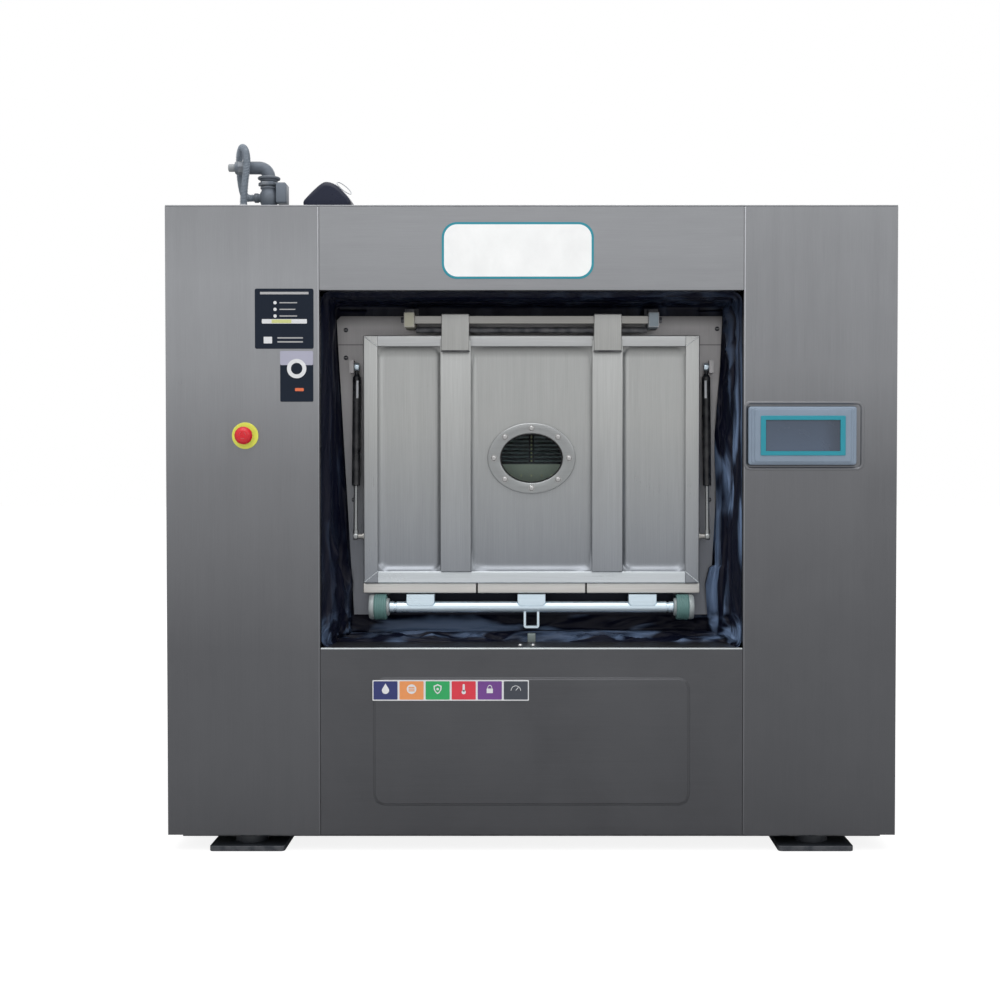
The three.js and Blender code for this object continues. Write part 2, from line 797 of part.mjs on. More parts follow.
// Tub: a drum-shaped shell with a square neck and a face plate on each side
const tubWall = 8;
const tubEndWall = 10;
const neckBesideMouth = 12;
const mouthInset = 50; // the mouth's sides inside the leaf's outline
const mouthInsetUp = 40; // the same at its top and bottom
const faceNarrowing = 40;
const faceCorner = 10;
const shaftRadius = 30;
const shaftHoleRadius = 46;
const hingeOffset = 65; // hinge axis in front of the face plate
const hingeBarWidth = 18;
const hingeBarHalf = 273;
const journalRadius = 8;
const journalLength = 24;
const hingeBlockDepth = 15;
const hingeBlockHalf = 17;
const lockOffset = 40; // lock bar's axis in front of the face plate
const lockJournalRadius = 10;
const bushRadius = 30.5;
const bushInset = 59; // the bushes' near ends inside the leaf's edge
const bushWidth = 34;
const bushFlangeWidth = 13;
const bushFlangeRadius = 27;
const saddleWidth = 26;
const saddleReach = 22;
const saddleHeight = 48.8;
const gasBesideLeaf = 20;
const gasPivotDrop = 106;
const gasPivotOffset = 15;
const gasEyeRadius = 10;
const gasEyeWidth = 12;
const gasPinRadius = 4.3;
const gasEarWidth = 10;
const gasEarHalf = 15;
const spigotRadius = 50;
const spigotBore = 40;
const spigotLength = 40;
const drainX = 120;
const cradleLegWidth = 20;
const legReach = [-110, 50]; // the cradle's legs, from the springs' axes
const cradlePadWidth = 100;
const cradlePadThickness = 12;
const neckRootShare = 0.4; // how far the neck runs into the barrel, of the tub's radius
const legTopShare = 0.45; // how far below the drum's axis the legs end, of the same
const weldedShare = 0.95; // how far below it pieces on the tub's underside start, of the same
const motorOverhang = 110; // the motor's drive end beyond the tub's end
const motorInboard = 200;
const motorPadHalf = 70;
const motorPadThickness = 15;
const motorRun = [-tubHalf - motorOverhang, -tubHalf + motorInboard];

const bushNear = leafHalf - bushInset;
const mouthHalf = leafHalf - mouthInset;
const mouthZ = [leafBottom + mouthInsetUp, leafTop - mouthInsetUp];
const neckHalf = mouthHalf + neckBesideMouth;
const neckZ = grown(mouthZ, neckBesideMouth);
const hingeY = faceY - hingeOffset;
const lockY = faceY - lockOffset;
const gasX = leafHalf + gasBesideLeaf;
const cradleLegY = legReach.map((y) => springY + y);
const gasPivotY = faceY - gasPivotOffset;
const gasPivotZ = hingeZ - gasPivotDrop;
const hingeAt = [hingeY, hingeZ];
const lockAt = [lockY, lockZ];
const drumAt = [0, axisZ];
const lockBore = turningBore(lockJournalRadius, smallSides);

function facePlate() {
  const plate = outline([
    [-faceTopHalf + faceNarrowing, faceBottom],
    [faceTopHalf - faceNarrowing, faceBottom],
    [faceTopHalf, faceTop - faceCorner],
    [faceTopHalf - faceCorner, faceTop],
    [-faceTopHalf + faceCorner, faceTop],
    [-faceTopHalf, faceTop - faceCorner],
  ]);
  return prism(plate, "y", [faceY, faceBack]);
}

function hingeBlock() {
  const x = [hingeBarHalf + fit, hingeBarHalf + fit + journalLength];
  const y = [hingeY - hingeBlockDepth, faceY + faceThickness / 2];
  const body = block(x, y, span(hingeZ, 2 * hingeBlockHalf));
  const bore = turningBore(journalRadius, smallSides);
  return cut(body, rod("x", bore, grown(x, overrun), hingeAt, smallSides));
}

function bushSaddle() {
  const x = span(bushNear + fit + bushWidth / 2, saddleWidth);
  const y = [faceY - saddleReach, faceY + faceThickness / 2];
  const body = block(x, y, span(lockZ, saddleHeight));
  return cut(body, rod("x", bushRadius + fit, grown(x, overrun), lockAt, midSides));
}

function gasEar() {
  const x = [gasX + gasEyeWidth / 2 + fit, gasX + gasEyeWidth / 2 + fit + gasEarWidth];
  const y = [gasPivotY - gasEarHalf, faceY + faceThickness / 2];
  const ear = block(x, y, span(gasPivotZ, 2 * gasEarHalf));
  const pinX = [gasX - gasEyeWidth / 2, middle(x)];
  return join(ear, rod("x", gasPinRadius, pinX, [gasPivotY, gasPivotZ], smallSides));
}

function tubFront() {
  const neckY = [faceY + faceThickness / 2, faceY + neckLength + neckRootShare * tubRadius];
  const neck = block([-neckHalf, neckHalf], neckY, neckZ);
  const oneSide = join(hingeBlock(), bushSaddle(), gasEar());
  return join(facePlate(), neck, oneSide, mirrored(oneSide));
}

function cradleLegs() {
  const legs = [];
  for (const sideX of [-1, 1]) {
    for (const sideY of [-1, 1]) {
      const y = cradleLegY.map((value) => sideY * value).sort((a, b) => a - b);
      const top = axisZ - legTopShare * tubRadius;
      legs.push(block(span(sideX * springX, cradleLegWidth), y, [cradleZ, top]));
      const pad = span(sideX * springX, cradlePadWidth);
      legs.push(block(pad, y, [cradleZ, cradleZ + cradlePadThickness]));
    }
  }
  return join(...legs);
}

function motorHanger() {
  const z = [axisZ - tubRadius - motorHang, axisZ - weldedShare * tubRadius];
  return block(motorRun.map((x) => x + motorPadHalf), [-motorPadHalf, motorPadHalf], z);
}

function outerTub() {
  const drumSpace = tubRadius - tubWall;
  const spigotZ = [axisZ - tubRadius - spigotLength, axisZ - weldedShare * tubRadius];
  const drainAt = [drainX, 0];
  const barrel = rod("x", tubRadius, [-tubHalf, tubHalf], drumAt, fineSides);
  const spigot = rod("z", spigotRadius, spigotZ, drainAt, midSides);
  const oneFront = tubFront();
  const whole = join(barrel, oneFront, halfTurned(oneFront), cradleLegs(), motorHanger(), spigot);
  const inside = rod("x", drumSpace, grown([-tubHalf, tubHalf], -tubEndWall), drumAt, fineSides);
  const mouthY = grown([faceY, -faceY], overrun);
  const mouth = block([-mouthHalf, mouthHalf], mouthY, mouthZ);
  const shaftHole = rod("x", shaftHoleRadius, grown([-tubHalf, tubHalf], overrun), drumAt, midSides);
  const drain = rod("z", spigotBore, [spigotZ[0] - overrun, axisZ], drainAt, midSides);
  return join(cut(whole, inside, mouth, shaftHole, drain), rearBushes());
}

// The clean side's two bushes are pressed into their saddles
function bush() {
  const barX = [bushNear + fit, bushNear + fit + bushWidth];
  const body = rod("x", bushRadius, barX, lockAt, midSides);
  const flangeX = [barX[1] - overrun, barX[1] + bushFlangeWidth];
  const flange = rod("x", bushFlangeRadius, flangeX, lockAt, midSides);
  const boreX = grown([barX[0], flangeX[1]], overrun);
  return cut(join(body, flange), rod("x", lockBore, boreX, lockAt, smallSides));
}

function rearBushes() {
  const x = span(bushNear + fit + bushWidth / 2, saddleWidth);
  const seat = [faceY - saddleReach, faceY + faceThickness / 2];
  const key = block(x, seat, span(lockZ, bushRadius / 3));
  const bore = rod("x", lockBore, grown(x, bushWidth), lockAt, smallSides);
  const right = join(bush(), cut(key, bore));
  return halfTurned(join(right, mirrored(right)));
}

machine.add(piece("outer_tub", outerTub(), finishes.plateSteel));

// Front bushes: the same green bushes as loose pieces in their saddles
front.add(piece("front_right_lock_bush", bush(), finishes.green));
front.add(piece("front_left_lock_bush", mirrored(bush()), finishes.green));

// Suspension springs between the frame's cross rails and the cradle
const springRadius = 40;
const springWire = 7;
const springCurls = 4;
const curlSteps = 8;
const wireSides = 6;

function spring(x, y) {
  const low = railTop + fit + springWire;
  const high = cradleZ - fit - springWire;
  const steps = springCurls * curlSteps;
  const middles = [];
  const rows = Array.from({ length: steps + 1 }, (unused, i) => {
    const angle = (2 * Math.PI * i) / curlSteps;
    const outwards = new THREE.Vector3(Math.cos(angle), Math.sin(angle), 0);
    const centre = outwards.clone().multiplyScalar(springRadius);
    centre.add(new THREE.Vector3(x, y, low + ((high - low) * i) / steps));
    middles.push(centre);
    return ringAround(centre, axisUp, outwards, springWire, wireSides);
  });
  printSelfGap("spring", middles, springWire, curlSteps / 2);
  return gridSolid(rows, false);
}

for (const [along, sideY] of [["front", -1], ["rear", 1]]) {
  for (const [across, sideX] of [["left", -1], ["right", 1]]) {
    const body = spring(sideX * springX, sideY * springY);
    machine.add(piece(`${along}_${across}_spring`, body, finishes.frame));
  }
}

// Bearing housings: a flange on the tub's end, a boss round the shaft and four ribs
const housingFlangeRadius = 120;
const housingFlangeThickness = 18;
const housingRadius = 70;
const housingLength = 100;
const housingRib = 12;
const housingRibReach = 110;

function bearingHousing() {
  const start = tubHalf + fit;
  const flangeX = [start, start + housingFlangeThickness];
  const flange = rod("x", housingFlangeRadius, flangeX, drumAt, midSides);
  const boss = rod("x", housingRadius, [start, start + housingLength], drumAt, midSides);
  const reach = [-housingRibReach, housingRibReach];
  const ribX = [start, start + housingLength / 2];
  const level = block(ribX, reach, span(axisZ, housingRib));
  const upright = block(ribX, span(0, housingRib), reach.map((value) => axisZ + value));
  const boreX = grown([start, start + housingLength], overrun);
  const bore = rod("x", turningBore(shaftRadius, midSides), boreX, drumAt, midSides);
  return cut(join(flange, boss, level, upright), bore);
}
machine.add(piece("right_bearing_housing", bearingHousing(), finishes.cast));
machine.add(piece("left_bearing_housing", mirrored(bearingHousing()), finishes.cast));

// Drum: a shell with two end discs, three lifting ribs and an opening for its door
const drumWall = 4;
const drumEndWall = 8;
const doorwayInset = 85; // the doorway's sides inside the drum's ends
const doorwayHalfHeight = 220;
const lapX = 10;
const drumDoorSpan = 41; // degrees each way from the middle of the door
const drumDoorWall = 4;
const drumHingeInset = 11;
const drumHingeRadius = 8;
const drumPinRadius = 5;
const drumEarGap = 6;
const drumEarWidth = 14;
const drumEarDegrees = [-3.5, -2, 3.5, 5]; // the ear's corners round the drum, from the hinge
const drumDoorSteps = 16;
const ribHeight = 50;
const ribFootHalf = 36;
const ribTopHalf = 14;
const ribs = 3;
const firstRib = 60; // degrees above the horizontal at the loading side
const drumHalf = drumLength / 2;
const doorwayHalfWidth = drumHalf - doorwayInset;
const drumInside = drumRadius - drumWall;
const radian = Math.PI / 180;

// A place in the drum's cross-section, by its angle above the horizontal at the loading side
function drumPoint(radius, degrees) {
  return [-radius * Math.cos(degrees * radian), axisZ + radius * Math.sin(degrees * radian)];
}

const drumDoorHalf = doorwayHalfWidth + lapX;
const drumHingeAt = drumPoint(drumInside - drumHingeInset, drumDoorSpan);

function liftingRib(k) {
  const turn = firstRib + (360 / ribs) * k;
  const foot = drumInside + drumWall / 2;
  const top = drumInside - ribHeight;
  const corners = [
    [foot, -ribFootHalf],
    [foot, ribFootHalf],
    [top, ribTopHalf],
    [top, -ribTopHalf],
  ];
  const points = corners.map(([radius, aside]) =>
    drumPoint(Math.hypot(radius, aside), turn + Math.atan2(aside, radius) / radian),
  );
  return prism(outline(points), "x", grown([-drumHalf, drumHalf], -drumEndWall / 2));
}

function hingeEar() {
  const x = [drumDoorHalf + drumEarGap, drumDoorHalf + drumEarGap + drumEarWidth];
  const root = drumInside + drumWall / 2;
  const tip = drumInside - drumHingeInset - drumHingeRadius;
  const reaches = [root, tip, tip, root];
  const points = reaches.map((radius, k) => drumPoint(radius, drumDoorSpan + drumEarDegrees[k]));
  const ear = prism(outline(points), "x", x);
  const bore = turningBore(drumPinRadius, smallSides);
  return cut(ear, rod("x", bore, grown(x, overrun), drumHingeAt, smallSides));
}

function drumShell() {
  const x = [-drumHalf, drumHalf];
  const barrel = rod("x", drumRadius, x, drumAt, fineSides);
  const inside = rod("x", drumInside, grown(x, -drumEndWall), drumAt, fineSides);
  const doorwayY = [-drumRadius - overrun, -drumRadius / 2];
  const doorwayX = [-doorwayHalfWidth, doorwayHalfWidth];
  const doorway = block(doorwayX, doorwayY, span(axisZ, 2 * doorwayHalfHeight));
  const hollow = cut(barrel, inside, doorway);
  const liftingRibs = Array.from({ length: ribs }, (unused, k) => liftingRib(k));
  const ear = hingeEar();
  return join(hollow, ...liftingRibs, ear, mirrored(ear));
}

function drumDoorLeaf() {
  const outerRadius = (drumInside - 2 * fit) * Math.cos(Math.PI / fineSides);
  const innerRadius = outerRadius - drumDoorWall;
  const arc = Array.from({ length: drumDoorSteps + 1 }, (unused, k) =>
    drumDoorSpan * ((2 * k) / drumDoorSteps - 1),
  );
  const outer = arc.map((degrees) => drumPoint(outerRadius, degrees));
  const inner = arc.map((degrees) => drumPoint(innerRadius, degrees)).reverse();
  return prism(outline([...outer, ...inner]), "x", [-drumDoorHalf, drumDoorHalf]);
}

function drumDoor() {
  const x = [-drumDoorHalf, drumDoorHalf];
  const tube = rod("x", drumHingeRadius, x, drumHingeAt, smallSides);
  const pinReach = drumEarGap + drumEarWidth - 2 * fit;
  const pin = rod("x", drumPinRadius, grown(x, pinReach), drumHingeAt, smallSides);
  return join(drumDoorLeaf(), tube, pin);
}

machine.add(piece("drum_shell", drumShell(), finishes.brightSteel));
machine.add(piece("drum_door", drumDoor(), finishes.brightSteel));

// Drive: two drum shafts, a spoked pulley, a flat belt and the motor with its pulley
const shaftFlangeRadius = 100;
const shaftFlangeThickness = 14;
const pulleyGap = 22;
const pulleyWidth = 60;
const pulleyRadius = 240;
const pulleyRimThickness = 18;
const webThickness = 12;
const hubRadius = 52;
const lighteningHoles = 5;
const lighteningRadius = 46;
const motorPulleyRadius = 60;
const beltThickness = 8;
const beltWidth = 54;
const motorShaftRadius = 14;
const motorShaftDepth = 60;
const motorFins = 20;
const finDepth = 8;
const shieldLength = 30; // end shields without fins

const housingEnd = tubHalf + fit + housingLength;
const pulleyX = [-housingEnd - pulleyGap - pulleyWidth, -housingEnd - pulleyGap];
const motorZ = axisZ - motorDrop;
const motorAt = [0, motorZ];

function drumShaft(end) {
  const start = drumHalf + fit;
  const flangeX = [start, start + shaftFlangeThickness];
  const flange = rod("x", shaftFlangeRadius, flangeX, drumAt, midSides);
  return join(flange, rod("x", shaftRadius, [start, end], drumAt, midSides));
}

function drumPulley() {
  const rimBore = pulleyRadius - pulleyRimThickness;
  const rim = ringRod("x", pulleyRadius, rimBore, pulleyX, drumAt, fineSides);
  const webX = span(middle(pulleyX), webThickness);
  const web = rod("x", pulleyRadius - pulleyRimThickness / 2, webX, drumAt, fineSides);
  const hub = rod("x", hubRadius, pulleyX, drumAt, midSides);
  const ring = (hubRadius + rimBore) / 2;
  const holes = Array.from({ length: lighteningHoles }, (unused, k) => {
    const at = drumPoint(ring, (360 / lighteningHoles) * k);
    return rod("x", lighteningRadius, grown(webX, overrun), at, smallSides);
  });
  const bore = rod("x", shaftRadius + fit, grown(pulleyX, overrun), drumAt, midSides);
  return cut(join(rim, cut(web, ...holes), hub), bore);
}

function motorPulley() {
  const wheel = rod("x", motorPulleyRadius, pulleyX, motorAt, midSides);
  const shaftX = [pulleyX[1] - overrun, motorRun[0] + motorShaftDepth - fit];
  return join(wheel, rod("x", motorShaftRadius, shaftX, motorAt, smallSides));
}

// An open belt: two arcs and the straight runs that touch both of them
function beltLoop(grow) {
  const lean = Math.asin((pulleyRadius - motorPulleyRadius) / motorDrop);
  const cornerShare = 1 / Math.cos((Math.PI + 2 * lean) / (4 * beltSteps));
  const big = (pulleyRadius + grow) * cornerShare;
  const small = (motorPulleyRadius + grow) * cornerShare;
  const shape = new THREE.Shape();
  shape.absarc(0, axisZ, big, -lean, Math.PI + lean);
  shape.absarc(0, motorZ, small, Math.PI + lean, 2 * Math.PI - lean);
  return shape;
}

function belt() {
  const x = span(middle(pulleyX), beltWidth);
  return frameRing(beltLoop(fit + beltThickness), beltLoop(fit), "x", x, beltSteps);
}

function motorBody() {
  const outlinePoints = Array.from({ length: 2 * motorFins }, (unused, k) => {
    const radius = motorRadius - (k % 2 ? finDepth : 0);
    const angle = (Math.PI * k) / motorFins;
    return [radius * Math.sin(angle), motorZ + radius * Math.cos(angle)];
  });
  const finned = prism(outline(outlinePoints), "x", grown(motorRun, -shieldLength));
  const shields = rod("x", motorRadius - finDepth, motorRun, motorAt, midSides);
  const padX = motorRun.map((x) => x + motorPadHalf);
  const padZ = [motorZ + motorRadius - motorPadThickness, motorZ + motorRadius - fit];
  const pad = block(padX, [-motorPadHalf, motorPadHalf], padZ);
  const boreX = [motorRun[0] - overrun, motorRun[0] + motorShaftDepth];
  const bore = turningBore(motorShaftRadius, smallSides);
  return cut(join(finned, shields, pad), rod("x", bore, boreX, motorAt, smallSides));
}

const leftShaft = mirrored(drumShaft(-pulleyX[0] + pulleyGap / 2));
const rightShaft = drumShaft(housingEnd + pulleyGap / 2);
machine.add(piece("left_drum_shaft", leftShaft, finishes.brightSteel));
machine.add(piece("right_drum_shaft", rightShaft, finishes.brightSteel));
machine.add(piece("drum_pulley", drumPulley(), finishes.cast));
machine.add(piece("motor_pulley", motorPulley(), finishes.cast));
machine.add(piece("belt", belt(), finishes.rubber));
machine.add(piece("motor", motorBody(), finishes.cast));

// Drain valve under the tub's spigot, with its outlet towards the clean side
const drainBodyRadius = 62;
const drainBodyHeight = 110;
const drainOutletRadius = 40;
const drainOutletReach = 190;
const drainDriveRadius = 34;
const drainDriveReach = 150;

function drainValve() {
  const top = axisZ - tubRadius - spigotLength - fit;
  const z = [top - drainBodyHeight, top];
  const at = [drainX, 0];
  const outletAt = [drainX, middle(z)];
  const body = rod("z", drainBodyRadius, z, at, midSides);
  const outlet = rod("y", drainOutletRadius, [0, drainOutletReach], outletAt, midSides);
  const drive = rod("y", drainDriveRadius, [-drainDriveReach, 0], outletAt, midSides);
  const passage = rod("z", spigotBore, [middle(z), top + overrun], at, midSides);
  const wayOutY = [0, drainOutletReach + overrun];
  const wayOut = rod("y", drainOutletRadius - tubWall, wayOutY, outletAt, midSides);
  return cut(join(body, outlet, drive), passage, wayOut);
}
machine.add(piece("drain_valve", drainValve(), finishes.cast));

// Door: a framed pan hung on a square bar, with two straps, a porthole, a seal and a lower lip
const leafFront = 60; // front of the leaf's frame, in front of the face plate
const frameSide = 34;
const frameTopWidth = 26;
const frameBottomWidth = 28;
const panRecess = 12;
const panThickness = 6;
const sealThickness = 9.4;
const sealWidth = 24;
const sealMargin = 7;
const sealCorner = 20;
const strapX = 178;
const strapWidth = 72;
const strapProud = 7;
const capWidth = 65;
const capHeight = 87;
const capWall = 5;
const stayRadius = 7;
const stayDrop = 22;
const lipOverhang = 3;
const lipDepth = 36;
const slitX = 129;
const slitWidth = 3;
const studDrop = 507;
const studRadius = 6;
const studCollarRadius = 9;
const ringHalfWidth = 103.5;
const ringHalfHeight = 79.5;
const glassHalfWidth = 73.5;
const glassHalfHeight = 58;
const ringThickness = 9;
const ringBolts = 8;
const ringBoltRadius = 8;
const ringBoltHeight = 5;
const portholeRise = 19; // porthole's middle above the drum's axis

const leafFrontY = faceY - leafFront;
const sealY = [faceY - fit - sealThickness, faceY - fit];
const leafBackY = sealY[0] - fit;
const panY = [leafFrontY + panRecess, leafFrontY + panRecess + panThickness];
const leafX = [-leafHalf, leafHalf];
const leafZ = [leafBottom, leafTop];
const panX = grown(leafX, -frameSide);
const panZ = [leafBottom + frameBottomWidth, leafTop - frameTopWidth];
const portholeZ = axisZ + portholeRise;
const studY = hingeY + gasPivotOffset;
const studZ = hingeZ - studDrop;
const barHalfWidth = hingeBarWidth / 2;

function hingeCap(x) {
  const y = [hingeY - barHalfWidth - capWall, panY[1]];
  const top = hingeZ + barHalfWidth + capWall;
  return block(span(x, capWidth), y, [top - capHeight, top]);
}

function doorStrap(x) {
  const y = [leafFrontY - strapProud, panY[1]];
  return block(span(x, strapWidth), y, [leafBottom, hingeZ - capHeight / 2]);
}

function gasStud() {
  const at = [studY, studZ];
  const end = gasX - gasEyeWidth / 2 - fit;
  const stud = rod("x", studRadius, [leafHalf - overrun, end], at, smallSides);
  const collarX = [leafHalf - overrun, leafHalf + sheet];
  return join(stud, rod("x", studCollarRadius, collarX, at, smallSides));
}

function doorLeaf() {
  const frameBody = block(leafX, [leafFrontY, leafBackY], leafZ);
  const frontPocket = block(panX, [leafFrontY - overrun, panY[0]], panZ);
  const rearPocket = block(panX, [panY[1], leafBackY + overrun], panZ);
  const pan = cut(frameBody, frontPocket, rearPocket);
  const lipY = [leafBackY - lipDepth, leafBackY];
  const lip = block(grown(leafX, lipOverhang), lipY, [lipBottom, leafBottom + overrun]);
  const stayAt = [hingeY + barHalfWidth + stayRadius, hingeZ - stayDrop];
  const stay = rod("x", stayRadius, [-hingeBarHalf, hingeBarHalf], stayAt, smallSides);
  const straps = [-strapX, strapX].flatMap((x) => [doorStrap(x), hingeCap(x)]);
  const whole = join(pan, lip, stay, ...straps, gasStud(), mirrored(gasStud()));
  const barSlot = block(
    grown([-hingeBarHalf, hingeBarHalf], overrun),
    span(hingeY, hingeBarWidth + 2 * fit),
    span(hingeZ, hingeBarWidth + 2 * fit),
  );
  const slitZ = [lipBottom - overrun, leafBottom - sheet];
  const slits = [-slitX, slitX].map((x) => block(span(x, slitWidth), grown(lipY, overrun), slitZ));
  const glassOutline = ellipse(0, portholeZ, glassHalfWidth, glassHalfHeight);
  const glassHole = prism(glassOutline, "y", grown(panY, overrun), ellipseSteps);
  return cut(whole, barSlot, glassHole, ...slits);
}

function hingeBar() {
  const barY = span(hingeY, hingeBarWidth);
  const bar = block([-hingeBarHalf, hingeBarHalf], barY, span(hingeZ, hingeBarWidth));
  const reach = hingeBarHalf + journalLength;
  return join(bar, rod("x", journalRadius, [-reach, reach], hingeAt, smallSides));
}

// On the clean side the bar is welded into the caps, so it is one piece with the leaf
function rearLeaf() {
  const weldY = span(hingeY, hingeBarWidth + capWall);
  const weldZ = span(hingeZ, hingeBarWidth + capWall);
  const welds = [-strapX, strapX].map((x) => block(span(x, capWidth / 2), weldY, weldZ));
  return join(doorLeaf(), hingeBar(), ...welds);
}

function portholeRing() {
  const y = [panY[0] - fit - ringThickness, panY[0] - fit];
  const outer = ellipse(0, portholeZ, ringHalfWidth, ringHalfHeight);
  const inner = ellipse(0, portholeZ, glassHalfWidth, glassHalfHeight);
  const ring = frameRing(outer, inner, "y", y, ellipseSteps);
  const bolts = Array.from({ length: ringBolts }, (unused, k) => {
    const angle = (2 * Math.PI * k) / ringBolts;
    const x = ((ringHalfWidth + glassHalfWidth) / 2) * Math.sin(angle);
    const z = portholeZ + ((ringHalfHeight + glassHalfHeight) / 2) * Math.cos(angle);
    const boltY = [y[0] - ringBoltHeight, y[0] + fit];
    return rod("y", ringBoltRadius / 2, boltY, [x, z], smallSides / 2, ringBoltRadius);
  });
  return join(ring, ...bolts);
}

function portholeGlass() {
  const shape = ellipse(0, portholeZ, glassHalfWidth - fit, glassHalfHeight - fit);
  return prism(shape, "y", panY, ellipseSteps);
}

function doorSeal() {
  const x = grown(leafX, -sealMargin);
  const z = grown(leafZ, -sealMargin);
  const outer = roundedRectangle(x, z, sealCorner);
  const inner = roundedRectangle(grown(x, -sealWidth), grown(z, -sealWidth), sealCorner / 2);
  return frameRing(outer, inner, "y", sealY);
}

for (const { name, group } of sides) {
  const leaf = name === "front" ? doorLeaf() : rearLeaf();
  group.add(piece(`${name}_door`, leaf, finishes.doorSteel));
  group.add(piece(`${name}_porthole_ring`, portholeRing(), finishes.brightSteel));
  group.add(piece(`${name}_porthole_glass`, portholeGlass(), finishes.glass));
  group.add(piece(`${name}_door_seal`, doorSeal(), finishes.rubber));
}
front.add(piece("front_hinge_bar", hingeBar(), finishes.brightSteel));

// Lock bar: a tube that turns in the bushes, with three keepers under the lip and a pull loop
const tubeRadius = 13;
const keeperInset = 133; // from the leaf's edge
const keeperWidth = 66;
const keeperThickness = 20;
const keeperGap = 2.5;
const loopWidth = 37;
const loopDrop = 50;
const loopBar = 5;
const loopDepth = 16;
const keeperX = leafHalf - keeperInset;

function keeper(x) {
  return block(span(x, keeperWidth), span(lockY, keeperThickness), [lockZ, lipBottom - keeperGap]);
}

function pullLoop() {
  const z = [lockZ - loopDrop, lockZ];
  const outer = block(span(0, loopWidth), span(lockY, loopDepth), z);
  const innerX = span(0, loopWidth - 2 * loopBar);
  const innerZ = [z[0] + loopBar, z[1] - tubeRadius / 2];
  return cut(outer, block(innerX, span(lockY, loopDepth + overrun), innerZ));
}

function lockBar() {
  const tube = rod("x", tubeRadius, [-bushNear, bushNear], lockAt, smallSides);
  const end = bushNear + bushWidth + bushFlangeWidth - fit;
  const journal = rod("x", lockJournalRadius, [-end, end], lockAt, smallSides);
  return join(tube, journal, keeper(-keeperX), keeper(0), keeper(keeperX), pullLoop());
}

for (const { name, group } of sides) {
  group.add(piece(`${name}_lock_bar`, lockBar(), finishes.brightSteel));
}

// Gas springs: a cylinder on the tub's ear and a rod that follows the stud on the door
const gasRadius = 10;
const gasNeck = 24;
const gasLength = 260;
const gasRodRadius = 5;
const gasRodHidden = 200;
const gasEndRadius = 9;
const gasBoreRoom = 6;

const gasReach = Math.hypot(gasPivotY - studY, gasPivotZ - studZ);
const gasLean = Math.atan2(gasPivotY - studY, gasPivotZ - studZ);
const gasLow = -gasNeck - gasLength;

function gasCylinder() {
  const eye = rod("x", gasEyeRadius, span(0, gasEyeWidth), [0, 0], smallSides);
  const neck = rod("z", gasRadius / 2, [-2 * gasNeck, 0], [0, 0], smallSides);
  const body = rod("z", gasRadius, [gasLow, -gasNeck], [0, 0], smallSides);
  const boreZ = [gasLow - overrun, gasLow + gasRodHidden + gasBoreRoom];
  const bore = rod("z", gasRodRadius + fit, boreZ, [0, 0], smallSides);
  const pinBore = turningBore(gasPinRadius, smallSides);
  const pin = rod("x", pinBore, span(0, gasEyeWidth + 2 * overrun), [0, 0], smallSides);
  return cut(join(eye, neck, body), bore, pin);
}

function gasRod() {
  const bar = rod("z", gasRodRadius, [-gasReach, gasLow + gasRodHidden], [0, 0], smallSides);
  const end = rod("x", gasEndRadius, span(0, gasEyeWidth), [0, -gasReach], smallSides);
  return join(bar, end);
}

for (const { name, group } of sides) {
  for (const [across, sideX] of [["left", -1], ["right", 1]]) {
    const strut = new THREE.Group();
    strut.position.set(sideX * gasX, gasPivotY, gasPivotZ);
    strut.rotation.x = gasLean > 0 ? -gasLean : gasLean;
    strut.add(piece(`${name}_${across}_gas_cylinder`, gasCylinder(), finishes.black));
    strut.add(piece(`${name}_${across}_gas_rod`, gasRod(), finishes.brightSteel));
    group.add(strut);
  }
}

export default machine;
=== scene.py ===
"""Finished surfaces of a side-loading barrier washer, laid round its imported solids.

Everything is in metres and in the washer's frame: the floor is at z 0, the loading side faces -Y
and the clean side +Y. Pieces of the clean side are those of the loading side, turned half round.
"""

import math
from math import cos, sin

import bmesh
import bpy
from mathutils import Matrix, Vector, noise


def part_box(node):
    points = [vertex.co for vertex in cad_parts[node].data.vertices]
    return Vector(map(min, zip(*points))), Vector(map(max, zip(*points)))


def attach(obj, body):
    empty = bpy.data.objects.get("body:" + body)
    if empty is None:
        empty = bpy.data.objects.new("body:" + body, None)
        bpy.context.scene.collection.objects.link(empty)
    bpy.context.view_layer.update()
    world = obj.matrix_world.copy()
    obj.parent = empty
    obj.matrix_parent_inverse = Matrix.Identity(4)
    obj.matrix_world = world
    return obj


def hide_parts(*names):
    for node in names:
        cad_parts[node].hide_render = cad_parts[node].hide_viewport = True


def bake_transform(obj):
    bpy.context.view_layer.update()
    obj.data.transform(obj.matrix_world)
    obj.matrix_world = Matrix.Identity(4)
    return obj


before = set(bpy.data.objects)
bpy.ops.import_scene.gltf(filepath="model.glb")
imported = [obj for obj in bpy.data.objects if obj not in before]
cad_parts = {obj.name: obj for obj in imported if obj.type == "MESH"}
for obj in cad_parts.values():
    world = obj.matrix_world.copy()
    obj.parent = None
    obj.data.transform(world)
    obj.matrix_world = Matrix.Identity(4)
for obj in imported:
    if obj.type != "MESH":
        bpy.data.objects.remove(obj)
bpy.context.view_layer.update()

bl_info = {
    "name": "Barrier washer",
    "version": (1, 0, 0),
    "blender": (4, 5, 0),
    "location": "View3D > Sidebar > Washer",
    "description": "Lays the finished surfaces of a barrier washer round its solids",
    "category": "Add Mesh",
}

SIDES = ("front", "rear")
HANDS = {"left": -1, "right": 1}
QUARTER = math.pi / 2
TURN = 2 * math.pi

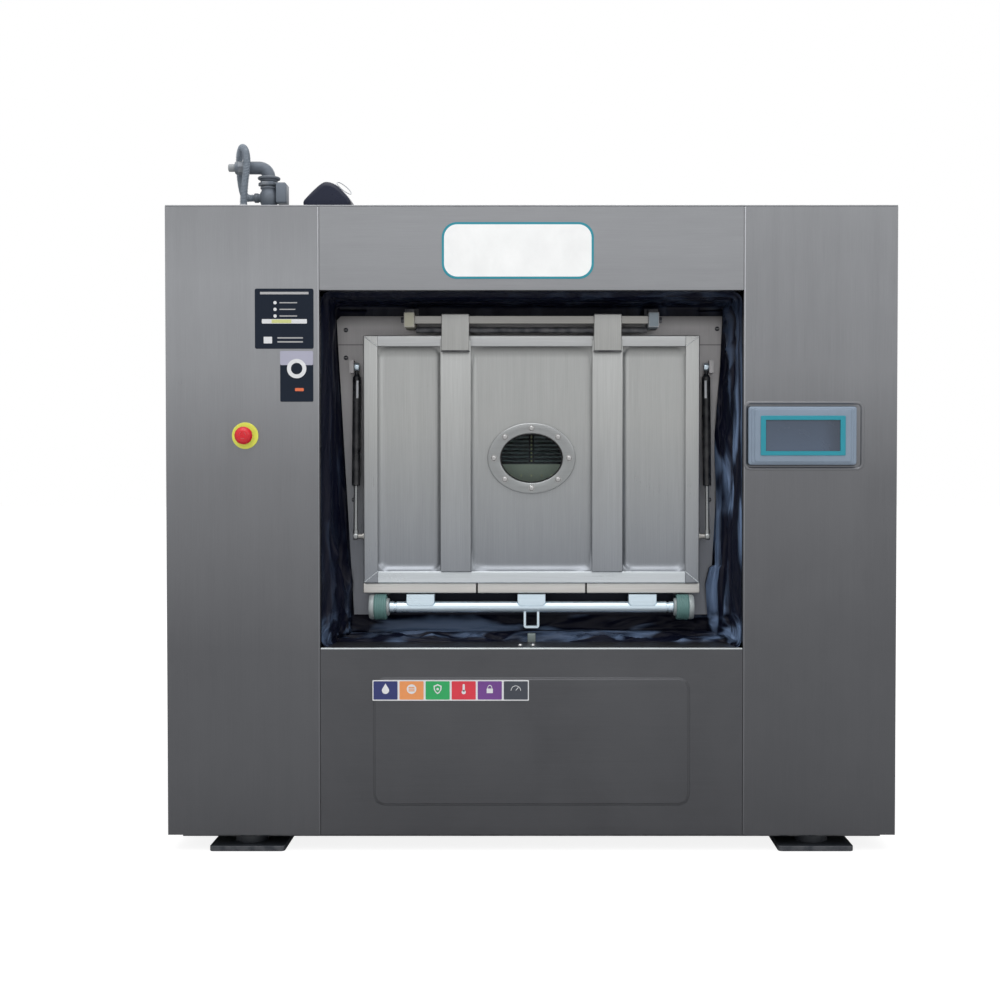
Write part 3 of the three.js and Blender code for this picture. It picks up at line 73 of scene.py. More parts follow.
# Places taken from the solids, so that a changed solid moves what lies on it
leaf_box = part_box("front_door")
seal_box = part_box("front_door_seal")
ring_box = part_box("front_porthole_ring")
glass_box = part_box("front_porthole_glass")
hinge_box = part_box("front_hinge_bar")
bush_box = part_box("front_right_lock_bush")
left_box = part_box("left_casing")
lintel_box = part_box("front_lintel")
lower_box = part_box("front_lower_panel")
cover_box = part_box("top_cover")
bellows_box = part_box("front_bellows")
stop_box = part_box("front_estop_button")
stop_plate_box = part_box("front_estop_plate")
bezel_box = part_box("touch_panel_bezel")
screen_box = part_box("touch_panel_screen")

FRONT_Y = lintel_box[0].y
HINGE_Y = (hinge_box[0].y + hinge_box[1].y) / 2
HINGE_Z = (hinge_box[0].z + hinge_box[1].z) / 2
FACE_Y = seal_box[1].y
AXIS_Z = 0.88

# What all pieces share: the gap to what they sit on, the step between two skins, and how far a bevel may go
SEAT_GAP = 0.0003
SKIN_STEP = 0.0001
BEVEL_SHARE = 0.45
WELD_REACH = 1e-6
TINY = 1e-9


def mix(a, b, share):
    return a + (b - a) * share


def centre_of(box):
    return (Vector(box[0]) + Vector(box[1])) / 2


def about(middle, half):
    """The range that reaches as far to both sides of a middle."""
    return (middle - half, middle + half)


def off(place, pair):
    """A pair of places, given by how far they lie off one place."""
    return (place + pair[0], place + pair[1])


def moved(profile, base, way=1):
    """A turned profile, set off from its base, and turned round where way is -1."""
    return [(radius, base + way * along) for radius, along in profile]


def both_ends(profile):
    """A turned profile with two like ends, from the points of one end, outermost first."""
    return moved(profile, 0, -1) + moved(profile[::-1], 0)


def grown(pair, by):
    return (pair[0] - by, pair[1] + by)


def length_property(name, description, default, low, high):
    return bpy.props.FloatProperty(name=name, description=description, default=default, min=low, max=high,
                                   subtype="DISTANCE", unit="LENGTH")


class WasherSizes(bpy.types.PropertyGroup):
    """Sizes of the details that the solids leave out"""

    edge_rounding: length_property("Edge rounding", "Radius on folded edges", 0.0012, 0.0002, 0.004)
    pleat_depth: length_property("Pleat depth", "How far the pleats stand out", 0.007, 0.0, 0.03)
    crease_depth: length_property("Crease depth", "How deep the creases are", 0.016, 0.0, 0.02)
    pan_ripple: length_property("Pan ripple", "How far the pan is out of flat", 0.0006, 0.0, 0.003)
    pan_roll: length_property("Pan roll", "Radius where the pan turns up", 0.018, 0.001, 0.02)
    plate_thickness: length_property("Label thickness", "Plates and labels", 0.0008, 0.0002, 0.003)
    bolt_radius: length_property("Ring bolt radius", "The porthole's bolts", 0.008, 0.003, 0.012)
    grain_depth: length_property("Grain depth", "Height of the brushed grain", 0.00012, 0.0, 0.001)


def colour_property(name, description, value):
    return bpy.props.FloatVectorProperty(
        name=name, description=description, default=value, min=0.0, max=1.0, size=3, subtype="COLOR")


class WasherColours(bpy.types.PropertyGroup):
    """Colours of the washer's finishes"""

    # Painted reflection: the steel's colour goes from the low one near the floor to the high one above the
    # middle
    steel_high: colour_property("Steel, upper half", "Brushed steel above the middle", (0.295, 0.302, 0.318))
    steel_low: colour_property("Steel, lower half", "Brushed steel near the floor", (0.092, 0.094, 0.102))
    # Painted reflection on the door: its pan goes from the darker, bluer low colour up to the sheet colour
    door_sheet: colour_property("Door sheet", "Upper part of the door's pan", (0.5, 0.51, 0.505))
    door_shade: colour_property("Door sheet, low", "Lower part of the door's pan", (0.235, 0.255, 0.29))
    tub_sheet: colour_property("Tub sheet", "The tub's face plate", (0.4, 0.39, 0.395))
    cloth: colour_property("Cloth", "The bellows' coated fabric", (0.0016, 0.0025, 0.0115))
    cloth_ridge: colour_property("Cloth ridges", "Where its folds catch the light", (0.15, 0.22, 0.36))
    lock_bar: colour_property("Lock bar", "Satin bar and keepers", (0.76, 0.9, 1.0))
    bush: colour_property("Bush", "Green elastomer bushes", (0.105, 0.225, 0.215))
    stop_red: colour_property("Stop button", "The mushroom head", (0.66, 0.01, 0.021))
    stop_yellow: colour_property("Stop plate", "The round plate behind it", (0.8, 0.84, 0.11))
    teal: colour_property("Teal", "Trim of the screen and of the lintel's plate", (0.014, 0.27, 0.35))
    bezel: colour_property("Bezel", "The touch panel's moulding", (0.22, 0.28, 0.36))
    screen: colour_property("Screen", "The screen when it is off", (0.055, 0.08, 0.125))


class Shape:
    """Collects the faces of one piece, in metres, as they lie on the loading side."""

    def __init__(self):
        self.points = []
        self.faces = []
        self.finishes = []

    def add(self, points, faces, finish=0):
        start = len(self.points)
        self.points += [Vector(point) for point in points]
        for face in faces:
            self.faces.append([start + corner for corner in face])
            self.finishes.append(finish)

    def take(self, mesh, finish=0):
        mesh.verts.index_update()
        self.add([v.co.copy() for v in mesh.verts], [[v.index for v in f.verts] for f in mesh.faces], finish)
        mesh.free()

    def block(self, x, y, z, rounding=0.0012, steps=2, finish=0):
        """A block with rounded edges."""
        size = Vector((x[1] - x[0], y[1] - y[0], z[1] - z[0]))
        middle = Vector((x[1] + x[0], y[1] + y[0], z[1] + z[0])) / 2
        mesh = bmesh.new()
        bmesh.ops.create_cube(mesh, size=1)
        for vert in mesh.verts:
            vert.co = vert.co * size + middle
        reach = min(rounding, BEVEL_SHARE * min(size))
        bmesh.ops.bevel(mesh, geom=mesh.edges[:], offset=reach, segments=steps, profile=0.5, affect="EDGES")
        self.take(mesh, finish)

    def grid(self, rows, wrap=False, finish=0):
        """A skin through rows of points. wrap joins the end of each row to its start."""
        across = len(rows[0])
        faces = []
        for i in range(len(rows) - 1):
            for j in range(across if wrap else across - 1):
                k = (j + 1) % across
                faces.append([i * across + j, i * across + k, (i + 1) * across + k, (i + 1) * across + j])
        self.add([point for row in rows for point in row], faces, finish)

    def turned(self, profile, axis, centre, steps=32, finish=0):
        """A turned form. profile holds pairs of radius and place along the axis, centre the other places."""
        rows = []
        for radius, along in profile:
            row = []
            for k in range(steps):
                angle = TURN * k / steps
                one = centre[0] + radius * cos(angle)
                two = centre[1] + radius * sin(angle)
                row.append({"x": (along, one, two), "y": (one, along, two), "z": (one, two, along)}[axis])
            rows.append(row)
        self.grid(rows, wrap=True, finish=finish)
        for end in (0, len(profile) - 1):
            if profile[end][0] > 0:
                self.add(rows[end], [list(range(steps))], finish)

    def tube(self, path, radius, sides=12, finish=0, closed=False):
        """A round bar along a path. radius is a number or a function of the share of the path."""
        path = [Vector(point) for point in path]
        count = len(path)
        angles = [TURN * j / sides for j in range(sides)]
        rows = []
        side = None
        for k, point in enumerate(path):
            before = path[(k - 1) % count] if closed or k else point
            after = path[(k + 1) % count] if closed or k < count - 1 else point
            ahead = (after - before).normalized()
            if side is None:
                side = ahead.orthogonal().normalized()
            side = (side - ahead * side.dot(ahead)).normalized()
            other = ahead.cross(side)
            reach = radius(k / (count - 1)) if callable(radius) else radius
            rows.append([point + (side * cos(angle) + other * sin(angle)) * reach
                         for angle in angles])
        if closed:
            rows.append(rows[0])
        self.grid(rows, wrap=True, finish=finish)
        if not closed:
            for row in (rows[0], rows[-1]):
                self.add(row, [list(range(sides))], finish)

    def slab(self, outline, y, rounding=0.0, finish=0):
        """A flat plate with an outline of x and z, drawn out along Y, its front edge rounded off."""
        middle = sum((Vector(point) for point in outline), Vector((0, 0))) / len(outline)
        rows = []
        for inset, depth in ((0, y[1]), (0, y[0] + rounding), (rounding, y[0])):
            row = []
            for point in outline:
                reach = Vector(point) - middle
                length = max(reach.length, TINY)
                moved = middle + reach * max(1 - inset / length, 0)
                row.append((moved.x, depth, moved.y))
            rows.append(row)
        self.grid(rows, wrap=True, finish=finish)
        self.add(rows[0], [list(range(len(outline)))], finish)
        self.add(rows[-1], [list(range(len(outline)))], finish)


def make(shape, name, finishes, body, side="front", replaces=(), smooth=math.radians(35)):
    """Turns a shape into an object that rides on a body. The rear one is turned half round."""
    mesh = bpy.data.meshes.new(name)
    mesh.from_pydata(shape.points, [], shape.faces)
    for finish in finishes:
        mesh.materials.append(bpy.data.materials[finish])
    mesh.polygons.foreach_set("material_index", shape.finishes)
    tidy = bmesh.new()
    tidy.from_mesh(mesh)
    bmesh.ops.remove_doubles(tidy, verts=tidy.verts[:], dist=WELD_REACH)
    bmesh.ops.recalc_face_normals(tidy, faces=tidy.faces[:])
    tidy.to_mesh(mesh)
    tidy.free()
    mesh.polygons.foreach_set("use_smooth", [True] * len(mesh.polygons))
    mesh.set_sharp_from_angle(angle=smooth)
    if side == "rear":
        mesh.transform(Matrix.Rotation(math.pi, 4, "Z"))
    mesh.update()
    piece = bpy.data.objects.new(name, mesh)
    bpy.context.scene.collection.objects.link(piece)
    if body:
        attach(piece, body)
    if replaces:
        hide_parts(*replaces)
    return piece


def rounded(x, z, radius, steps=6):
    """Points of a rectangle with round corners, anticlockwise in x and z."""
    points = []
    corners = ((x[1] - radius, z[1] - radius, 0), (x[0] + radius, z[1] - radius, 1),
               (x[0] + radius, z[0] + radius, 2), (x[1] - radius, z[0] + radius, 3))
    for cx, cz, quarter in corners:
        for k in range(steps + 1):
            angle = QUARTER * (quarter + k / steps)
            points.append((cx + radius * cos(angle), cz + radius * sin(angle)))
    return points


def disc(x, z, radius, steps=24):
    angles = [TURN * k / steps for k in range(steps)]
    return [(x + radius * cos(angle), z + radius * sin(angle)) for angle in angles]


def dome(radius, base, top, steps=6):
    """Profile of a domed head, from its flat base to its crown."""
    return [(radius * cos(QUARTER * k / steps), mix(base, top, sin(QUARTER * k / steps)))
            for k in range(steps + 1)]


# Shader parts shared by the finishes


def fill(tree, socket, given):
    """Links a socket to another one, or sets its value."""
    if isinstance(given, bpy.types.NodeSocket):
        tree.links.new(given, socket)
    elif socket.type == "RGBA":
        socket.default_value = (*given[:3], 1)
    else:
        socket.default_value = given


def wire(tree, kind, inputs=None, **settings):
    """Adds a shader node, sets it up and links or fills its inputs."""
    node = tree.nodes.new("ShaderNode" + kind)
    for key, value in settings.items():
        setattr(node, key, value)
    for key, value in (inputs or {}).items():
        fill(tree, node.inputs[key], value)
    return node


def object_place(tree):
    return wire(tree, "TexCoord").outputs["Object"]


def object_parts(tree):
    return wire(tree, "SeparateXYZ", {0: object_place(tree)}).outputs


def soft_noise(tree, place, scale=1.0, detail=2.0, roughness=0.5, distortion=0.0):
    return wire(tree, "TexNoise", {"Vector": place, "Scale": scale, "Detail": detail, "Roughness": roughness,
                                   "Distortion": distortion}).outputs[0]


def stretched_by(tree, place, stretch):
    return wire(tree, "VectorMath", {0: place, 1: stretch}, operation="MULTIPLY").outputs[0]


def new_group(name, inputs, outputs):
    group = bpy.data.node_groups.new(name, "ShaderNodeTree")
    for socket, kind, value in inputs:
        made = group.interface.new_socket(socket, in_out="INPUT", socket_type="NodeSocket" + kind)
        made.default_value = value
    for socket, kind in outputs:
        group.interface.new_socket(socket, in_out="OUTPUT", socket_type="NodeSocket" + kind)
    return group, group.nodes.new("NodeGroupInput"), group.nodes.new("NodeGroupOutput")


def remap(tree, value, low, high, to_low=0.0, to_high=1.0, smooth=False):
    """Carries a value from one range to another, and holds it inside the second."""
    node = wire(tree, "MapRange", interpolation_type="SMOOTHSTEP" if smooth else "LINEAR")
    given = {"Value": value, "From Min": low, "From Max": high, "To Min": to_low, "To Max": to_high}
    for key, part in given.items():
        fill(tree, node.inputs[key], part)
    return node.outputs["Result"]


def maths(tree, operation, a, b=0.0):
    node = wire(tree, "Math", operation=operation)
    for socket, given in zip(node.inputs, (a, b)):
        fill(tree, socket, given)
    return node.outputs[0]


def blend_colours(tree, share, a, b, kind="MIX"):
    node = wire(tree, "Mix", data_type="RGBA", blend_type=kind)
    sockets = [node.inputs["Factor"], *[s for s in node.inputs if s.type == "RGBA"]]
    for socket, given in zip(sockets, (share, a, b)):
        fill(tree, socket, given)
    return next(s for s in node.outputs if s.type == "RGBA")


def grain_group():
    """Fine lines left by brushing, and the broader bands between them."""
    group, given, out = new_group(
        "Brushed grain", [("Stretch", "Vector", (400, 400, 6)), ("Bands", "Float", 0.35)],
        [("Lines", "Float"), ("Height", "Float")])
    fine = stretched_by(group, object_place(group), given.outputs["Stretch"])
    lines = soft_noise(group, fine, detail=3.0, roughness=0.6)
    bands = soft_noise(group, stretched_by(group, fine, (0.06, 0.06, 0.06)))
    mixed = maths(group, "ADD", lines, maths(group, "MULTIPLY", bands, given.outputs["Bands"]))
    total = maths(group, "ADD", 1.0, given.outputs["Bands"])
    group.links.new(maths(group, "DIVIDE", mixed, total), out.inputs["Lines"])
    group.links.new(lines, out.inputs["Height"])
    return group


def smudge_group():
    """Soft patches left by hands, cloths and dried water."""
    group, given, out = new_group(
        "Smudges", [("Scale", "Float", 5.0), ("Spread", "Float", 0.2)], [("Mask", "Float")])
    place = object_place(group)
    bent = wire(group, "TexNoise", {"Vector": place, "Scale": 2.2, "Detail": 2.0}).outputs["Color"]
    stirred = wire(group, "VectorMath", {0: bent, 1: (0.35, 0.35, 0.35), 2: place}, operation="MULTIPLY_ADD")
    soft = soft_noise(group, stirred.outputs[0], given.outputs["Scale"], 5.0, 0.62)
    low = maths(group, "SUBTRACT", 0.5, given.outputs["Spread"])
    high = maths(group, "ADD", 0.5, given.outputs["Spread"])
    group.links.new(remap(group, soft, low, high), out.inputs["Mask"])
    return group


def speck_group():
    """Small scattered marks: pits, drips and scratches."""
    group, given, out = new_group(
        "Specks", [("Stretch", "Vector", (60, 60, 60)), ("Rarity", "Float", 0.72)], [("Mask", "Float")])
    scaled = stretched_by(group, object_place(group), given.outputs["Stretch"])
    marks = soft_noise(group, scaled, detail=4.0, roughness=0.7)
    high = maths(group, "ADD", given.outputs["Rarity"], 0.06)
    group.links.new(remap(group, marks, given.outputs["Rarity"], high), out.inputs["Mask"])
    return group


def wear_group():
    """Bare edges: 1 along sharp outer edges, broken up by noise."""
    group, given, out = new_group(
        "Edge wear", [("Low", "Float", 0.52), ("High", "Float", 0.6)], [("Mask", "Float")])
    sharp = wire(group, "NewGeometry").outputs["Pointiness"]
    edge = remap(group, sharp, given.outputs["Low"], given.outputs["High"])
    broken = soft_noise(group, object_place(group), 45.0, 4.0)
    group.links.new(maths(group, "MULTIPLY", edge, remap(group, broken, 0.35, 0.6)), out.inputs["Mask"])
    return group


def dust_group():
    """Dust that settles on what faces up."""
    group, given, out = new_group("Dust", [("Amount", "Float", 0.5)], [("Mask", "Float")])
    up = wire(group, "SeparateXYZ", {0: wire(group, "NewGeometry").outputs["Normal"]}).outputs["Z"]
    patchy = soft_noise(group, object_place(group), 9.0, 6.0, 0.65)
    lying = maths(group, "MULTIPLY", remap(group, up, 0.55, 0.95), remap(group, patchy, 0.3, 0.7, 0.2, 1.0))
    group.links.new(maths(group, "MULTIPLY", lying, given.outputs["Amount"]), out.inputs["Mask"])
    return group


def weave_group():
    """Plain weave of a coated cloth, as a height."""
    group, given, out = new_group("Weave", [("Threads", "Float", 700.0)], [("Height", "Float")])
    parts = object_parts(group)
    round_way = maths(group, "ADD", parts["X"], parts["Z"])
    waves = []
    for way in (round_way, parts["Y"]):
        turns = maths(group, "MULTIPLY", given.outputs["Threads"], TURN)
        waves.append(maths(group, "SINE", maths(group, "MULTIPLY", way, turns)))
    group.links.new(maths(group, "MULTIPLY", *waves), out.inputs["Height"])
    return group


GROUP_MAKERS = (grain_group, smudge_group, speck_group, wear_group, dust_group, weave_group)


class Finish:
    """A material in the making: its tree, and helpers for what most finishes share."""

    def __init__(self, name, roughness=0.5, metallic=0.0):
        if name in bpy.data.materials:
            raise RuntimeError(f"the name {name} is taken")
        self.material = bpy.data.materials.new(name)
        self.material.use_nodes = True
        self.tree = self.material.node_tree
        self.shader = self.tree.nodes["Principled BSDF"]
        self.set(roughness=roughness, metallic=metallic)

    def group(self, name, output, **inputs):
        node = self.tree.nodes.new("ShaderNodeGroup")
        node.node_tree = bpy.data.node_groups[name]
        for key, value in inputs.items():
            node.inputs[key].default_value = value
        return node.outputs[output]

    def grain(self, output, stretch, bands=0.35):
        return self.group("Brushed grain", output, Stretch=stretch, Bands=bands)

    def by_height(self, stops):
        """A colour that changes with height. stops hold (height, colour) pairs, lowest first."""
        low, high = stops[0][0], stops[-1][0]
        share = remap(self.tree, object_parts(self.tree)["Z"], low, high)
        ramp = wire(self.tree, "ValToRGB", {0: share})
        elements = ramp.color_ramp.elements
        for k, (at, colour) in enumerate(stops):
            place = (at - low) / (high - low)
            element = elements[k] if k < 2 else elements.new(place)
            element.position = place
            element.color = (*colour, 1)
        return ramp.outputs["Color"]

    def tint(self, colour, share, other, kind="MIX"):
        return blend_colours(self.tree, share, colour, other, kind)

    def set(self, **values):
        for key, value in values.items():
            fill(self.tree, self.shader.inputs[key.replace("_", " ").title().replace("Ior", "IOR")], value)

    def bump(self, height, distance, strength=1.0, below=None):
        inputs = {"Height": height, "Distance": distance, "Strength": strength}
        if below:
            inputs["Normal"] = below
        normal = wire(self.tree, "Bump", inputs).outputs["Normal"]
        self.tree.links.new(normal, self.shader.inputs["Normal"])
        return normal


def darker(colour, share):
    return tuple(part * share for part in colour)


UPRIGHT_GRAIN = (900, 900, 9)
LEVEL_GRAIN = (9, 900, 900)
TURNED_GRAIN = (900, 900, 900)


# The part of the tub's face plate that gets painted shade: its half width and its top, from where it starts
# to fade to its end
SHADE_HALF = (0.338, 0.346)
SHADE_TOP = (0.59, 0.6)
SEAM_Z = 1.17
SEAM_HALF = (0.0008, 0.0016)


def under_lip(tree):
    """Painted shade on the tub's face plate below the door's lip, between the bushes, and the dark seam
    across its top.
    """
    parts = object_parts(tree)
    across = remap(tree, maths(tree, "ABSOLUTE", parts["X"]), *SHADE_HALF, 1.0, 0.0)
    low = maths(tree, "MULTIPLY", across, remap(tree, parts["Z"], *SHADE_TOP, 1.0, 0.0))
    off_seam = maths(tree, "ABSOLUTE", maths(tree, "SUBTRACT", parts["Z"], SEAM_Z))
    return maths(tree, "MAXIMUM", low, remap(tree, off_seam, *SEAM_HALF, 0.55, 0.0))


def brushed(name, sizes, stops, stretch, roughness=0.36, metallic=0.9, contrast=0.12, dust=0.0,
            painted_shade=None):
    """Brushed sheet: grain in colour, roughness and height, with smudges."""
    finish = Finish(name, roughness, metallic)
    tree = finish.tree
    base = finish.by_height(stops)
    lines = finish.grain("Lines", stretch)
    shade = remap(tree, lines, 0.3, 0.7, 1 - contrast, 1 + contrast)
    grey = wire(tree, "CombineColor", {0: shade, 1: shade, 2: shade}).outputs[0]
    shaded = finish.tint(base, 1.0, grey, "MULTIPLY")
    smudges = finish.group("Smudges", "Mask", Scale=4.0, Spread=0.22)
    dulled = finish.tint(shaded, maths(tree, "MULTIPLY", smudges, 0.1), darker(stops[-1][1], 0.72))
    if dust:
        dulled = finish.tint(dulled, finish.group("Dust", "Mask", Amount=dust), (0.32, 0.31, 0.29))
    # Painted shade below the door's lip, and a dark seam line, in near-black navy
    if painted_shade:
        dulled = finish.tint(dulled, painted_shade(tree), (0.006, 0.008, 0.018))
    finish.set(base_color=dulled)
    rough = remap(tree, smudges, 0.0, 1.0, roughness - 0.05, roughness + 0.1)
    finish.set(roughness=maths(tree, "ADD", rough, remap(tree, lines, 0.3, 0.7, -0.05, 0.05)))
    finish.bump(finish.grain("Height", stretch), sizes.grain_depth, 0.6)
    return finish


# Painted reflection on the cabinet's steel: lighter high up and darker near the floor, shaded differently on
# the left and right towers
SHEET_HEIGHTS = (0, 0.46, 0.86, 1.1, 1.3, 1.48)
LEFT_SHARES = (0.02, 0.16, 0.66, 1.22, 1.36, 1.1)
RIGHT_SHARES = (-0.02, 0.1, 0.4, 0.88, 1.02, 1.16)
LEVEL_SHARES = (-0.06, 0.02, 0.4, 1.00, 1.24, 1.3)


def sheet_stops(colours, shares):
    """The cabinet sheet's colours by height, which paint the room's reflection on it: lighter high up, darker
    near the floor. A share of 0 is the low colour, and of 1 the high one.
    """
    pairs = list(zip(colours.steel_low, colours.steel_high))
    return [(at, tuple(mix(low, high, share) for low, high in pairs))
            for at, share in zip(SHEET_HEIGHTS, shares)]


# Door sheet by height: a painted reflection, darker and bluer low down, and a painted shadow under the top
# rail from 1.135 to 1.158 and above
DOOR_HEIGHTS = (0.58, 0.75, 0.98, 1.135, 1.158, 1.24)
DOOR_SHARES = (0.93, 1, 0.42, 0.42)
# Tub plate by height: darker and bluer towards its foot, and a painted shadow of the lintel along its top,
# from 1.212 to 1.24
TUB_SHARES = (1.15, 1.25, 0.45)
TUB_HEIGHTS = (0.3, 0.7, 1.1, 1.212, 1.24)
# Door rails by height: the bottom rail painted lighter than the top one, a painted highlight
RAIL_STOPS = ((0.6, (0.7, 0.75, 0.79)), (0.66, (0.62, 0.66, 0.69)), (1.15, (0.56, 0.575, 0.585)),
              (1.24, (0.6, 0.61, 0.615)))
LIP_STOPS = ((0.57, (0.6, 0.58, 0.55)), (0.61, (0.8, 0.8, 0.785)))
CAP_STOPS = ((1.14, (0.46, 0.465, 0.455)), (1.24, (0.5, 0.505, 0.495)))
RING_STOPS = ((0.8, (0.33, 0.345, 0.35)), (1, (0.36, 0.37, 0.375)))
WHOLE_HEIGHT = (0, 1.5)


def over_all(low, high=None):
    """Stops of a finish that changes little, or not at all, from the floor to the top."""
    return list(zip(WHOLE_HEIGHT, (low, high or low)))


def sheet_finishes(sizes, colours):
    for name, shares in (("left_sheet", LEFT_SHARES), ("right_sheet", RIGHT_SHARES)):
        brushed(name, sizes, sheet_stops(colours, shares), UPRIGHT_GRAIN, contrast=0.07)
    brushed("level_sheet", sizes, sheet_stops(colours, LEVEL_SHARES), LEVEL_GRAIN, contrast=0.07)
    brushed("cover_sheet", sizes, sheet_stops(colours, LEFT_SHARES), LEVEL_GRAIN, dust=0.5)
    middle = tuple(mix(low, high, 0.38) for low, high in zip(colours.door_shade, colours.door_sheet))
    tones = [darker(colours.door_sheet, share) for share in DOOR_SHARES]
    door = list(zip(DOOR_HEIGHTS, [tuple(colours.door_shade), middle, *tones]))
    brushed("door_sheet", sizes, door, UPRIGHT_GRAIN, roughness=0.33, contrast=0.09)
    # The stiles take the door's painted reflection, without the painted shadow under the top rail
    rail = [(at, tuple(min(part * 1.02 + 0.015, 1) for part in colour)) for at, colour in door[:-2]]
    rail.append((DOOR_HEIGHTS[-1], rail[-1][1]))
    brushed("door_rail", sizes, RAIL_STOPS, LEVEL_GRAIN, roughness=0.3, contrast=0.1)
    brushed("door_stile", sizes, rail, UPRIGHT_GRAIN, roughness=0.32, contrast=0.1)
    brushed("lip_sheet", sizes, LIP_STOPS, LEVEL_GRAIN, roughness=0.4)
    low_tub = tuple(part * share for part, share in zip(colours.tub_sheet, (0.58, 0.63, 0.7)))
    high_tub = [darker(colours.tub_sheet, share) for share in TUB_SHARES]
    tub = list(zip(TUB_HEIGHTS, [low_tub, low_tub, *high_tub]))
    brushed("tub_sheet", sizes, tub, UPRIGHT_GRAIN, roughness=0.48, metallic=0.6, painted_shade=under_lip)
    brushed("door_cap", sizes, CAP_STOPS, UPRIGHT_GRAIN, roughness=0.34)
    bar = over_all((0.33, 0.325, 0.31), (0.37, 0.365, 0.35))
    brushed("hinge_steel", sizes, bar, LEVEL_GRAIN, roughness=0.36, metallic=0.85, contrast=0.1)
    brushed("ring_steel", sizes, RING_STOPS, LEVEL_GRAIN, roughness=0.3, metallic=0.85, contrast=0.08)
    # The folds' finishes are lighter copies of the steel: painted highlights along the rounded folds
    brushed("fold_bright", sizes, over_all((0.55, 0.59, 0.6)), LEVEL_GRAIN, roughness=0.28)
    tower = sheet_stops(colours, RIGHT_SHARES)
    fold = [(at, tuple(min(1.5 * part, 1) for part in colour)) for at, colour in tower]
    brushed("fold_steel", sizes, fold, UPRIGHT_GRAIN, roughness=0.3)
    bright = over_all((0.5, 0.52, 0.55), (0.56, 0.58, 0.6))
    brushed("bright_bar", sizes, bright, LEVEL_GRAIN, roughness=0.24, metallic=0.95, contrast=0.08)
    satin = over_all(tuple(colours.lock_bar))
    brushed("satin_bar", sizes, satin, LEVEL_GRAIN, roughness=0.3, metallic=0.75, contrast=0.07)
    screw = over_all((0.42, 0.42, 0.42), (0.5, 0.5, 0.5))
    brushed("screw_steel", sizes, screw, TURNED_GRAIN, roughness=0.28)


DRUM_RADIUS = 0.36
HOLE_PITCH = 0.026
HOLE_DISH = 0.001


def drum_finish():
    """Drum sheet: rows of round holes, painted near-black as painted shade for the dark behind them."""
    finish = Finish("drum_sheet", 0.34, 0.9)
    tree = finish.tree
    parts = object_parts(tree)
    turn = maths(tree, "ARCTAN2", maths(tree, "SUBTRACT", parts["Z"], AXIS_Z), parts["Y"])
    round_way = maths(tree, "MULTIPLY", turn, DRUM_RADIUS / HOLE_PITCH)
    along = maths(tree, "MULTIPLY", parts["X"], 1 / HOLE_PITCH)
    cells = wire(tree, "CombineXYZ", {"X": along, "Y": round_way}).outputs[0]
    holes = wire(tree, "TexVoronoi", {"Vector": cells, "Scale": 1.0, "Randomness": 0.0},
                 voronoi_dimensions="2D")
    inside = remap(tree, holes.outputs["Distance"], 0.1, 0.14, 1.0, 0.0)
    smudges = finish.group("Smudges", "Mask", Scale=7.0, Spread=0.2)
    lines = finish.grain("Lines", TURNED_GRAIN)
    base = finish.tint((0.42, 0.42, 0.4), smudges, (0.5, 0.5, 0.48))
    base = finish.tint(base, maths(tree, "MULTIPLY", lines, 0.15), (0.25, 0.25, 0.25))
    finish.set(base_color=finish.tint(base, inside, (0.004, 0.004, 0.004)))
    finish.set(metallic=remap(tree, inside, 0.0, 1.0, 0.9, 0.0))
    dish = remap(tree, holes.outputs["Distance"], 0.1, 0.3, smooth=True)
    finish.bump(dish, HOLE_DISH, 0.7)


ORANGE_PEEL = 0.00006
FINE_PEEL = 0.00003


def painted(name, colour, roughness=0.5, metallic=0.0, wear=0.0, dust=0.0, peel=ORANGE_PEEL,
            under=(0.35, 0.35, 0.36)):
    """Paint or moulded plastic: fine texture, soft patches, worn edges and dust."""
    finish = Finish(name, roughness, metallic)
    smudges = finish.group("Smudges", "Mask", Scale=11.0, Spread=0.2)
    base = finish.tint(colour, maths(finish.tree, "MULTIPLY", smudges, 0.35), darker(colour, 0.72))
    if wear:
        worn = maths(finish.tree, "MULTIPLY", finish.group("Edge wear", "Mask"), wear)
        base = finish.tint(base, worn, under)
    if dust:
        base = finish.tint(base, finish.group("Dust", "Mask", Amount=dust), (0.3, 0.29, 0.27))
    finish.set(base_color=base)
    finish.set(roughness=remap(finish.tree, smudges, 0.0, 1.0, roughness - 0.06, roughness + 0.08))
    finish.bump(soft_noise(finish.tree, object_place(finish.tree), 900.0), peel, 0.5)
    return finish


CAST_SKIN = 0.0004


def casting(name, colour, wear=0.35):
    """Cast metal: coarse skin and rubbed edges."""
    finish = painted(name, colour, 0.55, 0.35, wear=wear, dust=0.25, under=(0.42, 0.43, 0.44))
    finish.bump(soft_noise(finish.tree, object_place(finish.tree), 260.0, 6.0), CAST_SKIN, 0.8)
    return finish


def draped(tree, place, stretch):
    """Long soft folds that run one way."""
    stretched = wire(tree, "Mapping", {"Vector": place, "Scale": stretch}).outputs[0]
    return soft_noise(tree, stretched, 15.0, 2.5, 0.42, 1.1)


# Where the cloth's folds lie level near its foot, and where light falls on its ridges
LEVEL_FOLDS_Z = (0.5, 0.56)
LIT_Z = (0.9, 1.24)
LIT_X = (-0.2, 0.4)
FOLD_HEIGHT = 0.04
WEAVE_HEIGHT = 0.00015


